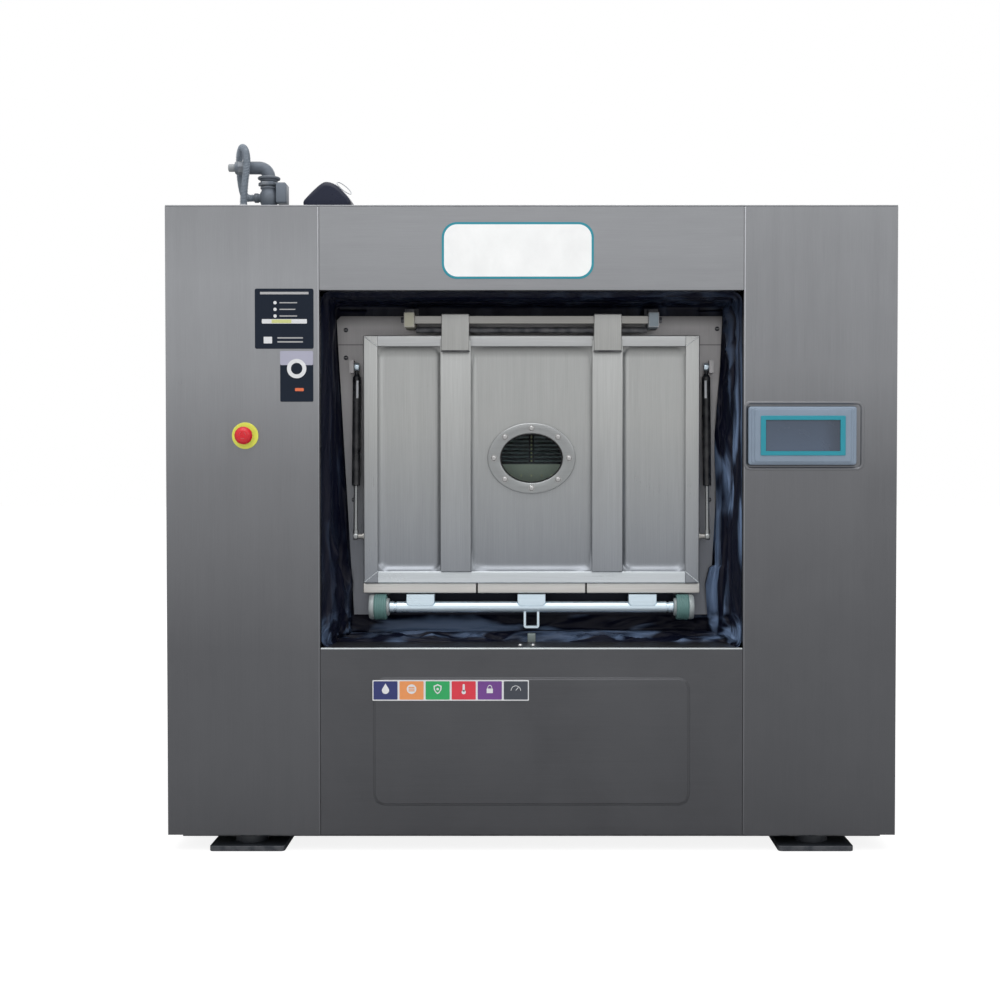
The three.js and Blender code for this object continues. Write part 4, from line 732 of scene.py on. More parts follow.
def cloth_finish(colours):
    """Coated fabric: long folds over a plain weave, with paler ridges that are painted highlights, fading
    towards its top and its left.
    """
    finish = Finish("coated_cloth", 0.42, 0.0)
    tree = finish.tree
    finish.set(specular_ior_level=0.2, sheen_weight=0.02, sheen_roughness=0.45, sheen_tint=(0.35, 0.5, 0.8))
    place = object_place(tree)
    parts = wire(tree, "SeparateXYZ", {0: place}).outputs
    low = remap(tree, parts["Z"], *LEVEL_FOLDS_Z, 1.0, 0.0, smooth=True)
    upright = draped(tree, place, (1.0, 0.9, 0.24))
    level = draped(tree, place, (0.26, 1.3, 1.0))
    folds = maths(tree, "ADD", upright, maths(tree, "MULTIPLY", low, maths(tree, "SUBTRACT", level, upright)))
    falling = remap(tree, parts["Z"], *LIT_Z, 1.0, 0.12)
    lit = maths(tree, "MULTIPLY", falling, remap(tree, parts["X"], *LIT_X, 0.12, 1.0))
    lit = maths(tree, "MAXIMUM", lit, maths(tree, "MULTIPLY", low, 0.6))
    ridges = maths(tree, "MULTIPLY", remap(tree, folds, 0.47, 0.64, smooth=True), lit)
    base = finish.tint(tuple(colours.cloth), ridges, tuple(colours.cloth_ridge))
    chalk = finish.group("Specks", "Mask", Stretch=(30, 30, 30), Rarity=0.66)
    finish.set(base_color=finish.tint(base, maths(tree, "MULTIPLY", chalk, 0.06), (0.05, 0.06, 0.08)))
    finish.set(roughness=remap(tree, folds, 0.3, 0.7, 0.52, 0.34))
    held = remap(tree, lit, 0.1, 0.6, 0.35, 1.0)
    below = finish.bump(maths(tree, "MULTIPLY", folds, held), FOLD_HEIGHT, 1.0)
    finish.bump(finish.group("Weave", "Height", Threads=620.0), WEAVE_HEIGHT, 0.4, below)


def glass_finish():
    finish = Finish("porthole_pane", 0.02, 0.0)
    finish.set(transmission_weight=1.0, ior=1.2)
    smudges = finish.group("Smudges", "Mask", Scale=16.0, Spread=0.25)
    finish.set(base_color=finish.tint((0.74, 0.86, 0.88), smudges, (0.66, 0.77, 0.78)))
    finish.set(roughness=remap(finish.tree, smudges, 0.0, 1.0, 0.0, 0.02))
    finish.set(alpha=remap(finish.tree, smudges, 0.0, 1.0, 0.3, 0.42))


SCREEN_WASH_Z = (0.9, 0.95, 0.99)
SCREEN_EDGE_X = (0.655, 0.694)


def screen_finish(colours):
    """A dark screen with a painted reflection: a faint wash of lighter grey towards its top, and darker
    towards its right edge.
    """
    finish = Finish("screen_face", 0.22, 0.0)
    tree = finish.tree
    top, low = tuple(colours.screen), darker(colours.screen, 0.82)
    base = finish.by_height(list(zip(SCREEN_WASH_Z, (tuple(min(part * 1.2, 1) for part in top), top, low))))
    edge = remap(tree, object_parts(tree)["X"], *SCREEN_EDGE_X, 0.0, 0.55, smooth=True)
    base = finish.tint(base, edge, darker(top, 0.35))
    smudges = finish.group("Smudges", "Mask", Scale=30.0, Spread=0.2)
    finish.set(base_color=finish.tint(base, maths(tree, "MULTIPLY", smudges, 0.2), darker(top, 0.7)))
    finish.set(roughness=remap(tree, smudges, 0.0, 1.0, 0.16, 0.3), coat_weight=0.6)


BELT_RIB_DEPTH = 0.0012


def belt_finish():
    finish = painted("belt_rubber", (0.014, 0.014, 0.015), 0.62)
    place = object_place(finish.tree)
    ribs = wire(finish.tree, "TexWave", {"Vector": place, "Scale": 42.0}, bands_direction="X")
    finish.bump(ribs.outputs[0], BELT_RIB_DEPTH, 0.9)


# Paints and plastics: name, colour or the name of a user's colour, roughness, metallic share, wear and dust
PAINTS = (
    ("frame_coat", (0.022, 0.028, 0.038), 0.5, 0, 0.4, 0.3),
    ("sole_paint", (0.016, 0.021, 0.03), 0.5, 0, 0.3, 0.06),
    ("spring_paint", (0.05, 0.055, 0.06), 0.45, 0, 0.5),
    ("gas_label", (0.55, 0.57, 0.6), 0.5),
    ("seal_black", (0.012, 0.012, 0.013), 0.7),
    ("bush_green", "bush", 0.5, 0, 0.2),
    ("bush_flange", (0.42, 0.47, 0.48), 0.42, 0.3, 0.3),
    ("mushroom_red", "stop_red", 0.28),
    ("ring_yellow", "stop_yellow", 0.4),
    ("stop_mark", (0.6, 0.1, 0.12), 0.4),
    ("stop_black", (0.012, 0.012, 0.013), 0.5),
    ("bezel_moulding", "bezel", 0.42),
    ("bezel_edge", (0.52, 0.6, 0.68), 0.35),
    ("teal_trim", "teal", 0.35),
    ("plate_white", (0.93, 0.94, 0.94), 0.35),
    ("label_dark", (0.01, 0.016, 0.029), 0.36),
    ("label_pale", (0.42, 0.42, 0.43), 0.45),
    ("label_white", (0.72, 0.73, 0.75), 0.45),
    ("label_yellow", (0.62, 0.64, 0.26), 0.45),
    ("label_lilac", (0.4, 0.4, 0.5), 0.45),
    ("label_orange", (0.75, 0.16, 0.06), 0.45),
    ("icon_blue", (0.022, 0.032, 0.15), 0.4),
    ("icon_orange", (0.8, 0.3, 0.1), 0.4),
    ("icon_green", (0.02, 0.38, 0.11), 0.4),
    ("icon_red", (0.68, 0.035, 0.06), 0.4),
    ("icon_purple", (0.16, 0.05, 0.26), 0.4),
    ("icon_grey", (0.045, 0.052, 0.07), 0.4),
    ("block_cream", (0.46, 0.45, 0.36), 0.45, 0.4, 0.2),
    ("block_blue", (0.24, 0.29, 0.33), 0.45, 0.4, 0.3),
    ("bracket_dark", (0.03, 0.033, 0.042), 0.5, 0.3, 0.3),
    ("conduit_grey", (0.24, 0.28, 0.33), 0.6, 0, 0, 0.2),
    ("hood_dark", (0.01, 0.014, 0.034), 0.3, 0, 0, 0.09),
    ("wire_pale", (0.5, 0.52, 0.55), 0.4),
    ("pipe_cap", (0.3, 0.32, 0.34), 0.5),
    ("valve_box", (0.15, 0.18, 0.22), 0.45, 0, 0, 0.2),
    ("catch_green", (0.2, 0.25, 0.24), 0.4, 0.3, 0.3),
    ("drum_dark", (0.008, 0.013, 0.018), 0.4, 0.5),
    ("drum_bead", (0.3, 0.37, 0.38), 0.36, 0.3),
    ("drum_skin", (0.5, 0.57, 0.47), 0.42, 0.3),
    ("drum_stud", (0.9, 0.92, 0.62), 0.4, 0.2),
)
DULLED = {"label_dark": 0.16, "hood_dark": 0.3}


def plain_finishes(colours):
    for name, colour, *values in PAINTS:
        if isinstance(colour, str):
            colour = tuple(getattr(colours, colour))
        finish = painted(name, colour, *values)
        if name in DULLED:
            finish.set(specular_ior_level=DULLED[name])
    painted("gas_black", (0.006, 0.007, 0.01), 0.3, wear=0.15, peel=FINE_PEEL)
    casting("cast_grey", (0.14, 0.165, 0.2))
    casting("cast_drive", (0.1, 0.115, 0.14))
    belt_finish()


def each_side(*makers):
    """Runs each maker for the front and then for the rear, and says that the step is finished."""
    for side in SIDES:
        for maker in makers:
            maker(side)
    return {"FINISHED"}


def each_corner(maker):
    """Runs a maker for both hands of both sides."""
    for side in SIDES:
        for hand in HANDS:
            maker(side, hand)
    return {"FINISHED"}


class WASHER_OT_finishes(bpy.types.Operator):
    """Makes the shader groups and every finish"""

    bl_idname = "washer.finishes"
    bl_label = "Finishes"

    def execute(self, context):
        sizes, colours = context.scene.washer_sizes, context.scene.washer_colours
        for maker in GROUP_MAKERS:
            maker()
        sheet_finishes(sizes, colours)
        drum_finish()
        cloth_finish(colours)
        glass_finish()
        screen_finish(colours)
        plain_finishes(colours)
        return {"FINISHED"}


# Solids that keep their own shape: they get a finish and rounded edges

SOLID_FINISHES = {
    "left_sheet": ("left_casing",),
    "right_sheet": ("right_casing",),
    "level_sheet": ("front_lintel", "rear_lintel", "front_lower_panel", "rear_lower_panel"),
    "cover_sheet": ("top_cover",),
    "frame_coat": ("base_frame",),
    "tub_sheet": ("outer_tub",),
    "cast_drive": ("left_bearing_housing", "right_bearing_housing", "motor", "drain_valve", "drum_pulley",
                   "motor_pulley"),
    "seal_black": ("front_door_seal", "rear_door_seal"),
    "belt_rubber": ("belt",),
    "bright_bar": ("left_drum_shaft", "right_drum_shaft"),
    "hinge_steel": ("front_hinge_bar",),
    "drum_sheet": ("drum_shell",),
    "drum_dark": ("drum_door",),
    "sole_paint": tuple(f"{side}_{hand}_foot" for side in SIDES for hand in HANDS),
}
ROUNDED = ("left_sheet", "right_sheet", "level_sheet", "cover_sheet", "frame_coat", "tub_sheet",
           "hinge_steel", "sole_paint")
SOLID_CREASE = math.radians(31)
EDGE_TURN = math.radians(40)
SOLID_WELD = 1e-5


def finish_solid(node, finish, rounding):
    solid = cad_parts[node]
    solid.data.materials.clear()
    solid.data.materials.append(bpy.data.materials[finish])
    solid.data.polygons.foreach_set("use_smooth", [True] * len(solid.data.polygons))
    solid.data.set_sharp_from_angle(angle=SOLID_CREASE)
    if rounding:
        weld = solid.modifiers.new("weld", "WELD")
        weld.merge_threshold = SOLID_WELD
        edge = solid.modifiers.new("edges", "BEVEL")
        edge.width = rounding
        edge.segments = 2
        edge.limit_method = "ANGLE"
        edge.angle_limit = EDGE_TURN
        flat = solid.modifiers.new("flat_faces", "WEIGHTED_NORMAL")
        flat.weight = 100
        flat.keep_sharp = True


class WASHER_OT_solids(bpy.types.Operator):
    """Gives the solids that keep their shape their finish and rounded edges"""

    bl_idname = "washer.solids"
    bl_label = "Plain solids"

    def execute(self, context):
        rounding = context.scene.washer_sizes.edge_rounding
        for finish, nodes in SOLID_FINISHES.items():
            for node in nodes:
                finish_solid(node, finish, rounding if finish in ROUNDED else 0)
        return {"FINISHED"}


# Bellows: a coated fabric sleeve with pleats, and creases that deepen towards its foot

BELLOWS_ROWS = 64
BELLOWS_COLUMNS = 480
BELLOWS_PLEATS = 3
BELLOWS_CORNER = 0.016
BELLOWS_HALF = 0.474
BELLOWS_INSET = 0.022
BELLOWS_LOW = bellows_box[0].z + BELLOWS_INSET
BELLOWS_HIGH = bellows_box[1].z - BELLOWS_INSET
RIM_SEAT = 0.001
RIM_Y = bellows_box[0].y + RIM_SEAT
FOLD_Y = -0.453
PLATE_CLEAR_Y = -0.4365
TUCK_Y = -0.4205
TUCK_WIDTH = 0.082
TUCK_LEAST = 0.02
TUCK_RISE = 0.002
PLATE_HOLD = 0.006
WALL_SHARE = 0.56
FOLD_SHARE = 0.86
PLATE_Z = (0.525, 1.238)
PLATE_HALF = (0.425, 0.465)
SLACK_HEIGHTS = (0.5, 0.6, 0.7, 0.95, 1.1, 1.24)
SLACK_LEFT = (0.044, 0.05, 0.035, 0.023, 0.014, 0.008)
SLACK_RIGHT = (0.052, 0.058, 0.037, 0.036, 0.027, 0.018)
SLACK_ENDS = (0.022, 0.008)
FUNNEL_SHARE = 0.5
LATCH_CLEAR = (0.05, 0.1)
FLARE_SHARE = 0.14
FLARE_SIDE = 0.0072
FLARE_TOP = 0.0075
SILL_BACK_Y = -0.487
UNDER_SILL = 0.4632
SLACK_MOST = 0.037
GAS_SPRING_Z = (0.64, 1.17)


def sleeve_place(share, out):
    """A point on the sleeve's rounded outline and the way out of it."""
    half_x, half_z = BELLOWS_HALF - BELLOWS_CORNER, (BELLOWS_HIGH - BELLOWS_LOW) / 2 - BELLOWS_CORNER
    middle_z = (BELLOWS_HIGH + BELLOWS_LOW) / 2
    straights = (2 * half_z, 2 * half_x, 2 * half_z, 2 * half_x)
    arc = QUARTER * BELLOWS_CORNER
    run = share * (sum(straights) + 4 * arc)
    starts = ((half_x, -half_z), (half_x, half_z), (-half_x, half_z), (-half_x, -half_z))
    for k, length in enumerate(straights):
        across, onward = QUARTER * k, QUARTER * (k + 1)
        if run <= length:
            normal = Vector((cos(across), sin(across)))
            along = Vector((cos(onward), sin(onward)))
            place = Vector(starts[k]) + along * run + normal * (BELLOWS_CORNER + out)
            return place + Vector((0, middle_z)), normal
        run -= length
        if run <= arc or k == 3:
            angle = across + QUARTER * min(run / arc, 1)
            normal = Vector((cos(angle), sin(angle)))
            corner = Vector(starts[(k + 1) % 4])
            return corner + normal * (BELLOWS_CORNER + out) + Vector((0, middle_z)), normal
        run -= arc


def along_list(at, places, values):
    """The value at a place, between the two listed ones beside it."""
    for k in range(len(places) - 1):
        if at <= places[k + 1]:
            return mix(values[k], values[k + 1], max((at - places[k]) / (places[k + 1] - places[k]), 0))
    return values[-1]


def soft_step(share):
    share = min(max(share, 0), 1)
    return share * share * (3 - 2 * share)


def slack_reach(place, normal, offset):
    """How far in the slack fold hangs, and how far in the face plate's edge lies."""
    high = place.y
    sideways = normal.x ** 2
    side = along_list(high, SLACK_HEIGHTS, SLACK_RIGHT if normal.x > 0 else SLACK_LEFT)
    end = SLACK_ENDS[0] if normal.y < 0 else SLACK_ENDS[1]
    wave = noise.noise(Vector((place.x * 6 + offset, high * 6, 0.3)))
    reach = (side * (1 + 0.16 * wave)) * sideways + end * (1 + 0.3 * wave) * (1 - sideways)
    if GAS_SPRING_Z[0] < high < GAS_SPRING_Z[1]:
        reach = min(reach, SLACK_MOST)
    half = mix(PLATE_HALF[0], PLATE_HALF[1], (high - PLATE_Z[0]) / (PLATE_Z[1] - PLATE_Z[0]))
    gap = BELLOWS_HIGH - PLATE_Z[1] if normal.y > 0 else PLATE_Z[0] - BELLOWS_LOW
    return reach, (BELLOWS_HALF - half) * sideways + gap * (1 - sideways)


def ridged(x, y, z):
    """Noise with sharp ridges, from 0 to 1."""
    return max(1 - 2.2 * abs(noise.noise(Vector((x, y, z)))), 0) ** 2


def crumple(run, share, offset):
    """Broad folds, slanting creases and small crumples, about from -1 to 1."""
    broad = noise.noise(Vector((run * 3.4 + offset, share * 2.4, 0.7)))
    slant = ridged(run * 4.5 + share * 3.2 + offset, share * 1.7 - run * 2.0, 4.2)
    across = ridged(run * 8.0 - share * 2.0 + offset, share * 3.0, 9.1)
    fine = noise.noise(Vector((run * 19 + offset, share * 7, 2.5)))
    return 0.7 * broad + 0.75 * slant + 0.4 * across + 0.16 * fine - 0.3


def sleeve_point(share, column, offset, sizes):
    """A point of the sleeve: down the pleated wall, over the slack fold and in behind the face plate."""
    edge, normal = sleeve_place(column, 0)
    reach, plate = slack_reach(edge, normal, offset)
    back = min(reach, plate - PLATE_HOLD)
    tuck = TUCK_Y + TUCK_RISE * (1 - normal.x ** 2)
    wheel = TURN * column
    run = 0.52 * sin(wheel) + 1.2 * cos(wheel)
    folds = crumple(run, share * 1.3, offset)
    sideways = normal.x ** 2
    if normal.y < 0:
        calm = mix(0.8 * soft_step((abs(edge.x) - LATCH_CLEAR[0]) / LATCH_CLEAR[1]), 1.0, sideways)
    else:
        calm = mix(0.15, 1.0, sideways)
    part = min(share / WALL_SHARE, 1)
    held = sin(QUARTER * min(part * 1.6, 1)) * calm
    inward = calm * FUNNEL_SHARE * reach * part ** 1.4 + held * sizes.crease_depth * max(folds + 0.2, -0.25)
    if share <= WALL_SHARE:
        depth = mix(RIM_Y, FOLD_Y, part)
        room = sin(math.pi * min(part * 1.2, 1)) ** 0.5
        pleat = 0.5 * (1 - cos(TURN * BELLOWS_PLEATS * part)) * room
        inward -= sizes.pleat_depth * pleat * (1 - 0.7 * part * calm)
        flare = FLARE_SIDE * sideways + (0 if normal.y < 0 else FLARE_TOP) * (1 - sideways)
        inward -= flare * (1 - soft_step(share / FLARE_SHARE))
    if WALL_SHARE < share <= FOLD_SHARE:
        part = (share - WALL_SHARE) / (FOLD_SHARE - WALL_SHARE)
        swell = sin(QUARTER * min(part / 0.58, 1))
        inward = mix(inward, reach, swell)
        inward = mix(inward, back, soft_step((part - 0.6) / 0.3))
        lift = sin(math.pi * min(part / 0.85, 1)) * sizes.crease_depth * 0.62 * max(folds, -0.25)
        depth = mix(FOLD_Y, PLATE_CLEAR_Y, soft_step(part / 0.62)) - lift
        depth = mix(min(depth, PLATE_CLEAR_Y), tuck, soft_step((part - 0.88) / 0.12))
    elif share > FOLD_SHARE:
        inward = mix(back, max(TUCK_WIDTH, back + TUCK_LEAST), (share - FOLD_SHARE) / (1 - FOLD_SHARE))
        depth = tuck
    place = Vector((edge.x - normal.x * inward, depth, edge.y - normal.y * inward))
    if normal.y < -0.9 and depth < SILL_BACK_Y:
        place.z = min(place.z, UNDER_SILL)
    return place


def bellows_cloth(side, sizes):
    offset = 0.0 if side == "front" else 7.3
    rows = []
    for i in range(BELLOWS_ROWS + 1):
        share = i / BELLOWS_ROWS
        rows.append([sleeve_point(share, j / BELLOWS_COLUMNS, offset, sizes) for j in range(BELLOWS_COLUMNS)])
    shape = Shape()
    shape.grid(rows, wrap=True)
    cloth = make(shape, f"{side}_bellows_cloth", ["coated_cloth"], None, side,
                 [f"{side}_bellows"], math.radians(180))
    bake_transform(cloth)


class WASHER_OT_bellows(bpy.types.Operator):
    """Lays the two fabric bellows between the cabinet and the tub"""

    bl_idname = "washer.bellows"
    bl_label = "Bellows"

    def execute(self, context):
        for side in SIDES:
            bellows_cloth(side, context.scene.washer_sizes)
        return {"FINISHED"}


# Door: a framed pan with two straps, hinge caps and a slit lip

LEAF_X = 0.395
LEAF_Z = (0.605, 1.187)
LEAF_Y = (-0.49, leaf_box[1].y)
SIDE_RAIL = 0.034
TOP_RAIL = 0.026
FOOT_RAIL = 0.028
PAN_Y = (glass_box[0].y, glass_box[1].y)
STRAP_X = 0.178
STRAP_HALF = 0.036
STRAP_FRONT = -0.497
CAP_HALF = 0.0325
CAP_RISE = 0.014
CAP_HEIGHT = 0.087
CAP_Z = (HINGE_Z + CAP_RISE - CAP_HEIGHT, HINGE_Z + CAP_RISE)
CAP_FRONT = HINGE_Y - CAP_RISE
LIP_Z = (leaf_box[0].z, 0.606)
LIP_HALF_OUT = 0.398
LIP_DEPTH = 0.036
SLIT_X = 0.129
SLIT_HALF = 0.0016
PORT_X = glass_box[1].x
PORT_HALF_Z = (glass_box[1].z - glass_box[0].z) / 2
PORT_Z = (glass_box[1].z + glass_box[0].z) / 2

# Roundings of the leaf's tubes, sheets, caps and hems
TUBE_ROUNDING = 0.0028
SHEET_ROUNDING = 0.0022
CAP_ROUNDING = 0.003
HEM_ROUNDING = 0.0006
CAP_HEM_ROUNDING = 0.0005

# How the leaf's pieces overlap, and the weld beads along its mitres
RAIL_LAP = 0.002
RAIL_PROUD = 0.0002
BEAD_PROUD = 0.0004
BEAD_RADIUS = 0.0013
BEAD_SWELL = 0.0004
BEAD_WANDER = 0.0006
BEAD_STEPS = 14
STRAP_LAP = 0.001
STRAP_BELOW_HINGE = 0.045
CAP_HEM = 0.0012
CAP_HEM_PROUD = 0.0008
CAP_HEM_Z = (-0.0014, 0.0006)
LIP_LAP = 0.002
LIP_INSET = 0.004

# Turned pieces of the leaf, as radius and place along the axis, and where their axes lie from the hinge's
STAY_END = ((0.0055, 0.272), (0.007, 0.271))
STAY_PLACE = (0.016, -0.022)
STUD_PROFILE = ((0.009, -0.003), (0.009, 0.0025), (0.006, 0.003), (0.006, 0.0135))
STUD_PLACE = (0.015, -0.507)
BAR_HALF = 0.009
BAR_REACH = 0.273
BAR_ROUNDING = 0.002
JOURNAL_END = ((0.008, 0.297),)

# The pan's grids: steps across and up a side field, and rings and rays about the porthole
PAN_STEPS = (22, 60)
PORT_RINGS = 40
PORT_RAYS = 108
PAN_CALM = 0.02
FAR = 1e9


def pan_depth(x, z, room, sizes, inwards):
    """How far a point of the pan stands off its plane: rolled edges, round corners and a little ripple."""
    corner = 1.3 * sizes.pan_roll
    over_x = abs(x - (room[0] + room[1]) / 2) - (room[1] - room[0]) / 2 + corner
    over_z = abs(z - (room[2] + room[3]) / 2) - (room[3] - room[2]) / 2 + corner
    edge = corner - min(max(over_x, over_z), 0) - math.hypot(max(over_x, 0), max(over_z, 0))
    roll = min(max(1 - edge / sizes.pan_roll, 0), 1.05) ** 2 * 0.55 * sizes.pan_roll
    ripple = sizes.pan_ripple * noise.noise(Vector((x * 7, 0.3, z * 5)))
    return (roll if inwards else -roll) + ripple * min(edge / PAN_CALM, 1)


def pan_field(shape, room, sizes, y, inwards=False):
    """A rectangular field of the pan. room holds its low and high x and its low and high z."""
    rows = []
    for i in range(PAN_STEPS[1] + 1):
        z = mix(room[2], room[3], eased(i / PAN_STEPS[1]))
        row = []
        for j in range(PAN_STEPS[0] + 1):
            x = mix(room[0], room[1], eased(j / PAN_STEPS[0]))
            row.append((x, y + pan_depth(x, z, room, sizes, inwards), z))
        rows.append(row)
    shape.grid(rows)


def eased(share):
    """Crowds steps towards both ends, where the pan's edges roll."""
    return mix(share, 0.5 - 0.5 * cos(math.pi * share), 0.75)


def edge_reach(middle, low, high, way):
    """How far it is from a middle to a field's edge, one way along an axis."""
    return ((high if way > 0 else low) - middle) / way if abs(way) > WELD_REACH else FAR


def holed_field(shape, room, sizes, y, inwards=False):
    """The middle field, with the porthole's oval cut out: rows run from the oval to the field's edge."""
    middle = Vector(((room[0] + room[1]) / 2, PORT_Z))
    corners = [math.atan2(z - middle.y, x - middle.x) % TURN for x in room[:2] for z in room[2:]]
    angles = sorted([*corners, *(TURN * j / PORT_RAYS for j in range(PORT_RAYS))])
    rows = []
    for k in range(PORT_RINGS + 1):
        share = eased(k / PORT_RINGS)
        row = []
        for angle in angles:
            way = Vector((cos(angle), sin(angle)))
            inner = Vector((PORT_X * cos(angle), PORT_Z + PORT_HALF_Z * sin(angle)))
            reach = min(edge_reach(middle.x, *room[:2], cos(angle)),
                        edge_reach(middle.y, *room[2:], sin(angle)))
            spot = inner.lerp(middle + way * reach, share)
            row.append((spot.x, y + pan_depth(spot.x, spot.y, room, sizes, inwards), spot.y))
        rows.append(row)
    shape.grid(rows, wrap=True)
    return rows[0]


def door_fields():
    z = (LEAF_Z[0] + FOOT_RAIL, LEAF_Z[1] - TOP_RAIL)
    inner, outer, edge = STRAP_X - STRAP_HALF, STRAP_X + STRAP_HALF, LEAF_X - SIDE_RAIL
    return (-edge, -outer, *z), (-inner, inner, *z), (outer, edge, *z)


def door_pan(shape, sizes):
    left, middle, right = door_fields()
    for y, inwards in ((PAN_Y[0], False), (PAN_Y[1], True)):
        pan_field(shape, left, sizes, y, inwards)
        pan_field(shape, right, sizes, y, inwards)
    front = holed_field(shape, middle, sizes, PAN_Y[0])
    back = holed_field(shape, middle, sizes, PAN_Y[1], True)
    shape.grid([front, back], wrap=True)


def door_rails(shape):
    """Square tube frame with mitred corners."""
    y = LEAF_Y
    shape.block((-LEAF_X, -LEAF_X + SIDE_RAIL), y, LEAF_Z, TUBE_ROUNDING, 3, 6)
    shape.block((LEAF_X - SIDE_RAIL, LEAF_X), y, LEAF_Z, TUBE_ROUNDING, 3, 6)
    inner = about(0, LEAF_X - SIDE_RAIL + RAIL_LAP)
    for z in ((LEAF_Z[1] - TOP_RAIL, LEAF_Z[1]), (LEAF_Z[0], LEAF_Z[0] + FOOT_RAIL)):
        shape.block(inner, (y[0] - RAIL_PROUD, y[1]), z, TUBE_ROUNDING, 3, 1)
    for x in (-1, 1):
        for z, reach in ((LEAF_Z[1], -TOP_RAIL), (LEAF_Z[0], FOOT_RAIL)):
            outer = Vector((x * (LEAF_X - RAIL_LAP), y[0] - BEAD_PROUD, z + math.copysign(RAIL_LAP, reach)))
            inside = Vector((x * (LEAF_X - SIDE_RAIL), y[0] - BEAD_PROUD, z + reach))
            bead = [outer.lerp(inside, k / BEAD_STEPS) + Vector((0, 0, BEAD_WANDER * sin(k * 2.4)))
                    for k in range(BEAD_STEPS + 1)]
            shape.tube(bead, lambda share: BEAD_RADIUS + BEAD_SWELL * sin(share * 40), 8, 1)


def door_straps(shape):
    """The two straps, their hinge caps and the caps' dark hems."""
    for middle in (-STRAP_X, STRAP_X):
        shape.block(about(middle, STRAP_HALF), (STRAP_FRONT, PAN_Y[1] + STRAP_LAP),
                    (LEAF_Z[0] + FOOT_RAIL - STRAP_LAP, HINGE_Z - STRAP_BELOW_HINGE), SHEET_ROUNDING, 3, 6)
        shape.block(about(middle, CAP_HALF), (CAP_FRONT, PAN_Y[1]), CAP_Z, CAP_ROUNDING, 3, 2)
        shape.block(about(middle, CAP_HALF + CAP_HEM), (CAP_FRONT - CAP_HEM_PROUD, STRAP_FRONT),
                    off(CAP_Z[0], CAP_HEM_Z), CAP_HEM_ROUNDING, 1, 3)


def door_lip(shape):
    """Lower lip: a folded flange in three lengths, with slits between them."""
    inner, outer = SLIT_X - SLIT_HALF, SLIT_X + SLIT_HALF
    y = (LEAF_Y[1] - LIP_DEPTH, LEAF_Y[1])
    for x in ((-LIP_HALF_OUT, -outer), (-inner, inner), (outer, LIP_HALF_OUT)):
        shape.block(x, y, (LIP_Z[0], LIP_Z[1] - LIP_LAP), SHEET_ROUNDING, 3, 4)
    fold_z = (LIP_Z[1] - LIP_INSET, LIP_Z[1] + LIP_LAP)
    shape.block(about(0, LEAF_X - LIP_INSET), (y[0] + LIP_INSET, y[1]), fold_z, HEM_ROUNDING, 1, 3)


def door_stay(shape):
    shape.turned(both_ends(STAY_END), "x", (HINGE_Y + STAY_PLACE[0], HINGE_Z + STAY_PLACE[1]), 20, 3)


def door_studs(shape):
    """Ball studs of the gas springs on the leaf's edges."""
    at = (HINGE_Y + STUD_PLACE[0], HINGE_Z + STUD_PLACE[1])
    for way in (-1, 1):
        shape.turned(moved(STUD_PROFILE, way * LEAF_X, way), "x", at, 20, 5)


def clean_side_bar(shape):
    """The clean side's square bar, welded into its caps, and its journals."""
    shape.block(about(0, BAR_REACH), about(HINGE_Y, BAR_HALF), about(HINGE_Z, BAR_HALF), BAR_ROUNDING, 3, 5)
    shape.turned(both_ends(JOURNAL_END), "x", (HINGE_Y, HINGE_Z), 20, 5)


DOOR_FINISHES = ("door_sheet", "door_rail", "door_cap", "bracket_dark", "lip_sheet", "hinge_steel",
                 "door_stile")


def door_leaf(side, sizes):
    shape = Shape()
    door_pan(shape, sizes)
    door_rails(shape)
    door_straps(shape)
    door_lip(shape)
    door_stay(shape)
    door_studs(shape)
    if side == "rear":
        clean_side_bar(shape)
    make(shape, f"{side}_door_leaf", DOOR_FINISHES, f"{side}_leaf", side, [f"{side}_door"],
         math.radians(40))


class WASHER_OT_doors(bpy.types.Operator):
    """Builds the two framed doors"""

    bl_idname = "washer.doors"
    bl_label = "Doors"

    def execute(self, context):
        for side in SIDES:
            door_leaf(side, context.scene.washer_sizes)
        return {"FINISHED"}


# Porthole: an oval clamp ring with dome bolts, and a pane in a rubber bead

RING_BOLTS = 8
RING_DEPTH = 0.009
RING_BACK = ring_box[1].y - SEAT_GAP
RING_FACE = RING_BACK - RING_DEPTH
RING_FLATTEN = 0.85

# The ring's rounded edges: how far they stand out of the oval or of the ring's outside, and behind its face
RING_INNER = ((0, 0.003), (0.001, 0.001), (0.003, 0))
RING_OUTER = ((-0.004, 0), (-0.0012, 0.0012), (0, 0.004))
BOLT_SEAT = 0.0005
WASHER_RISE = 0.0008
BOLT_RISE = 0.0048
PANE_RINGS = (1, 0.85, 0.6, 0.3, 0.02)
PANE_STEPS = 64
PANE_SHARE = 0.985
PANE_BULGE = 0.003
PANE_SETBACK = 0.001
PANE_THICKNESS = 0.004
PANE_BEAD = 0.0014
PANE_BEAD_INSET = 0.0012


def oval_row(grow, y, steps=96):
    return [((PORT_X + grow) * cos(TURN * k / steps), y,
             PORT_Z + (PORT_HALF_Z + grow * RING_FLATTEN) * sin(TURN * k / steps)) for k in range(steps)]


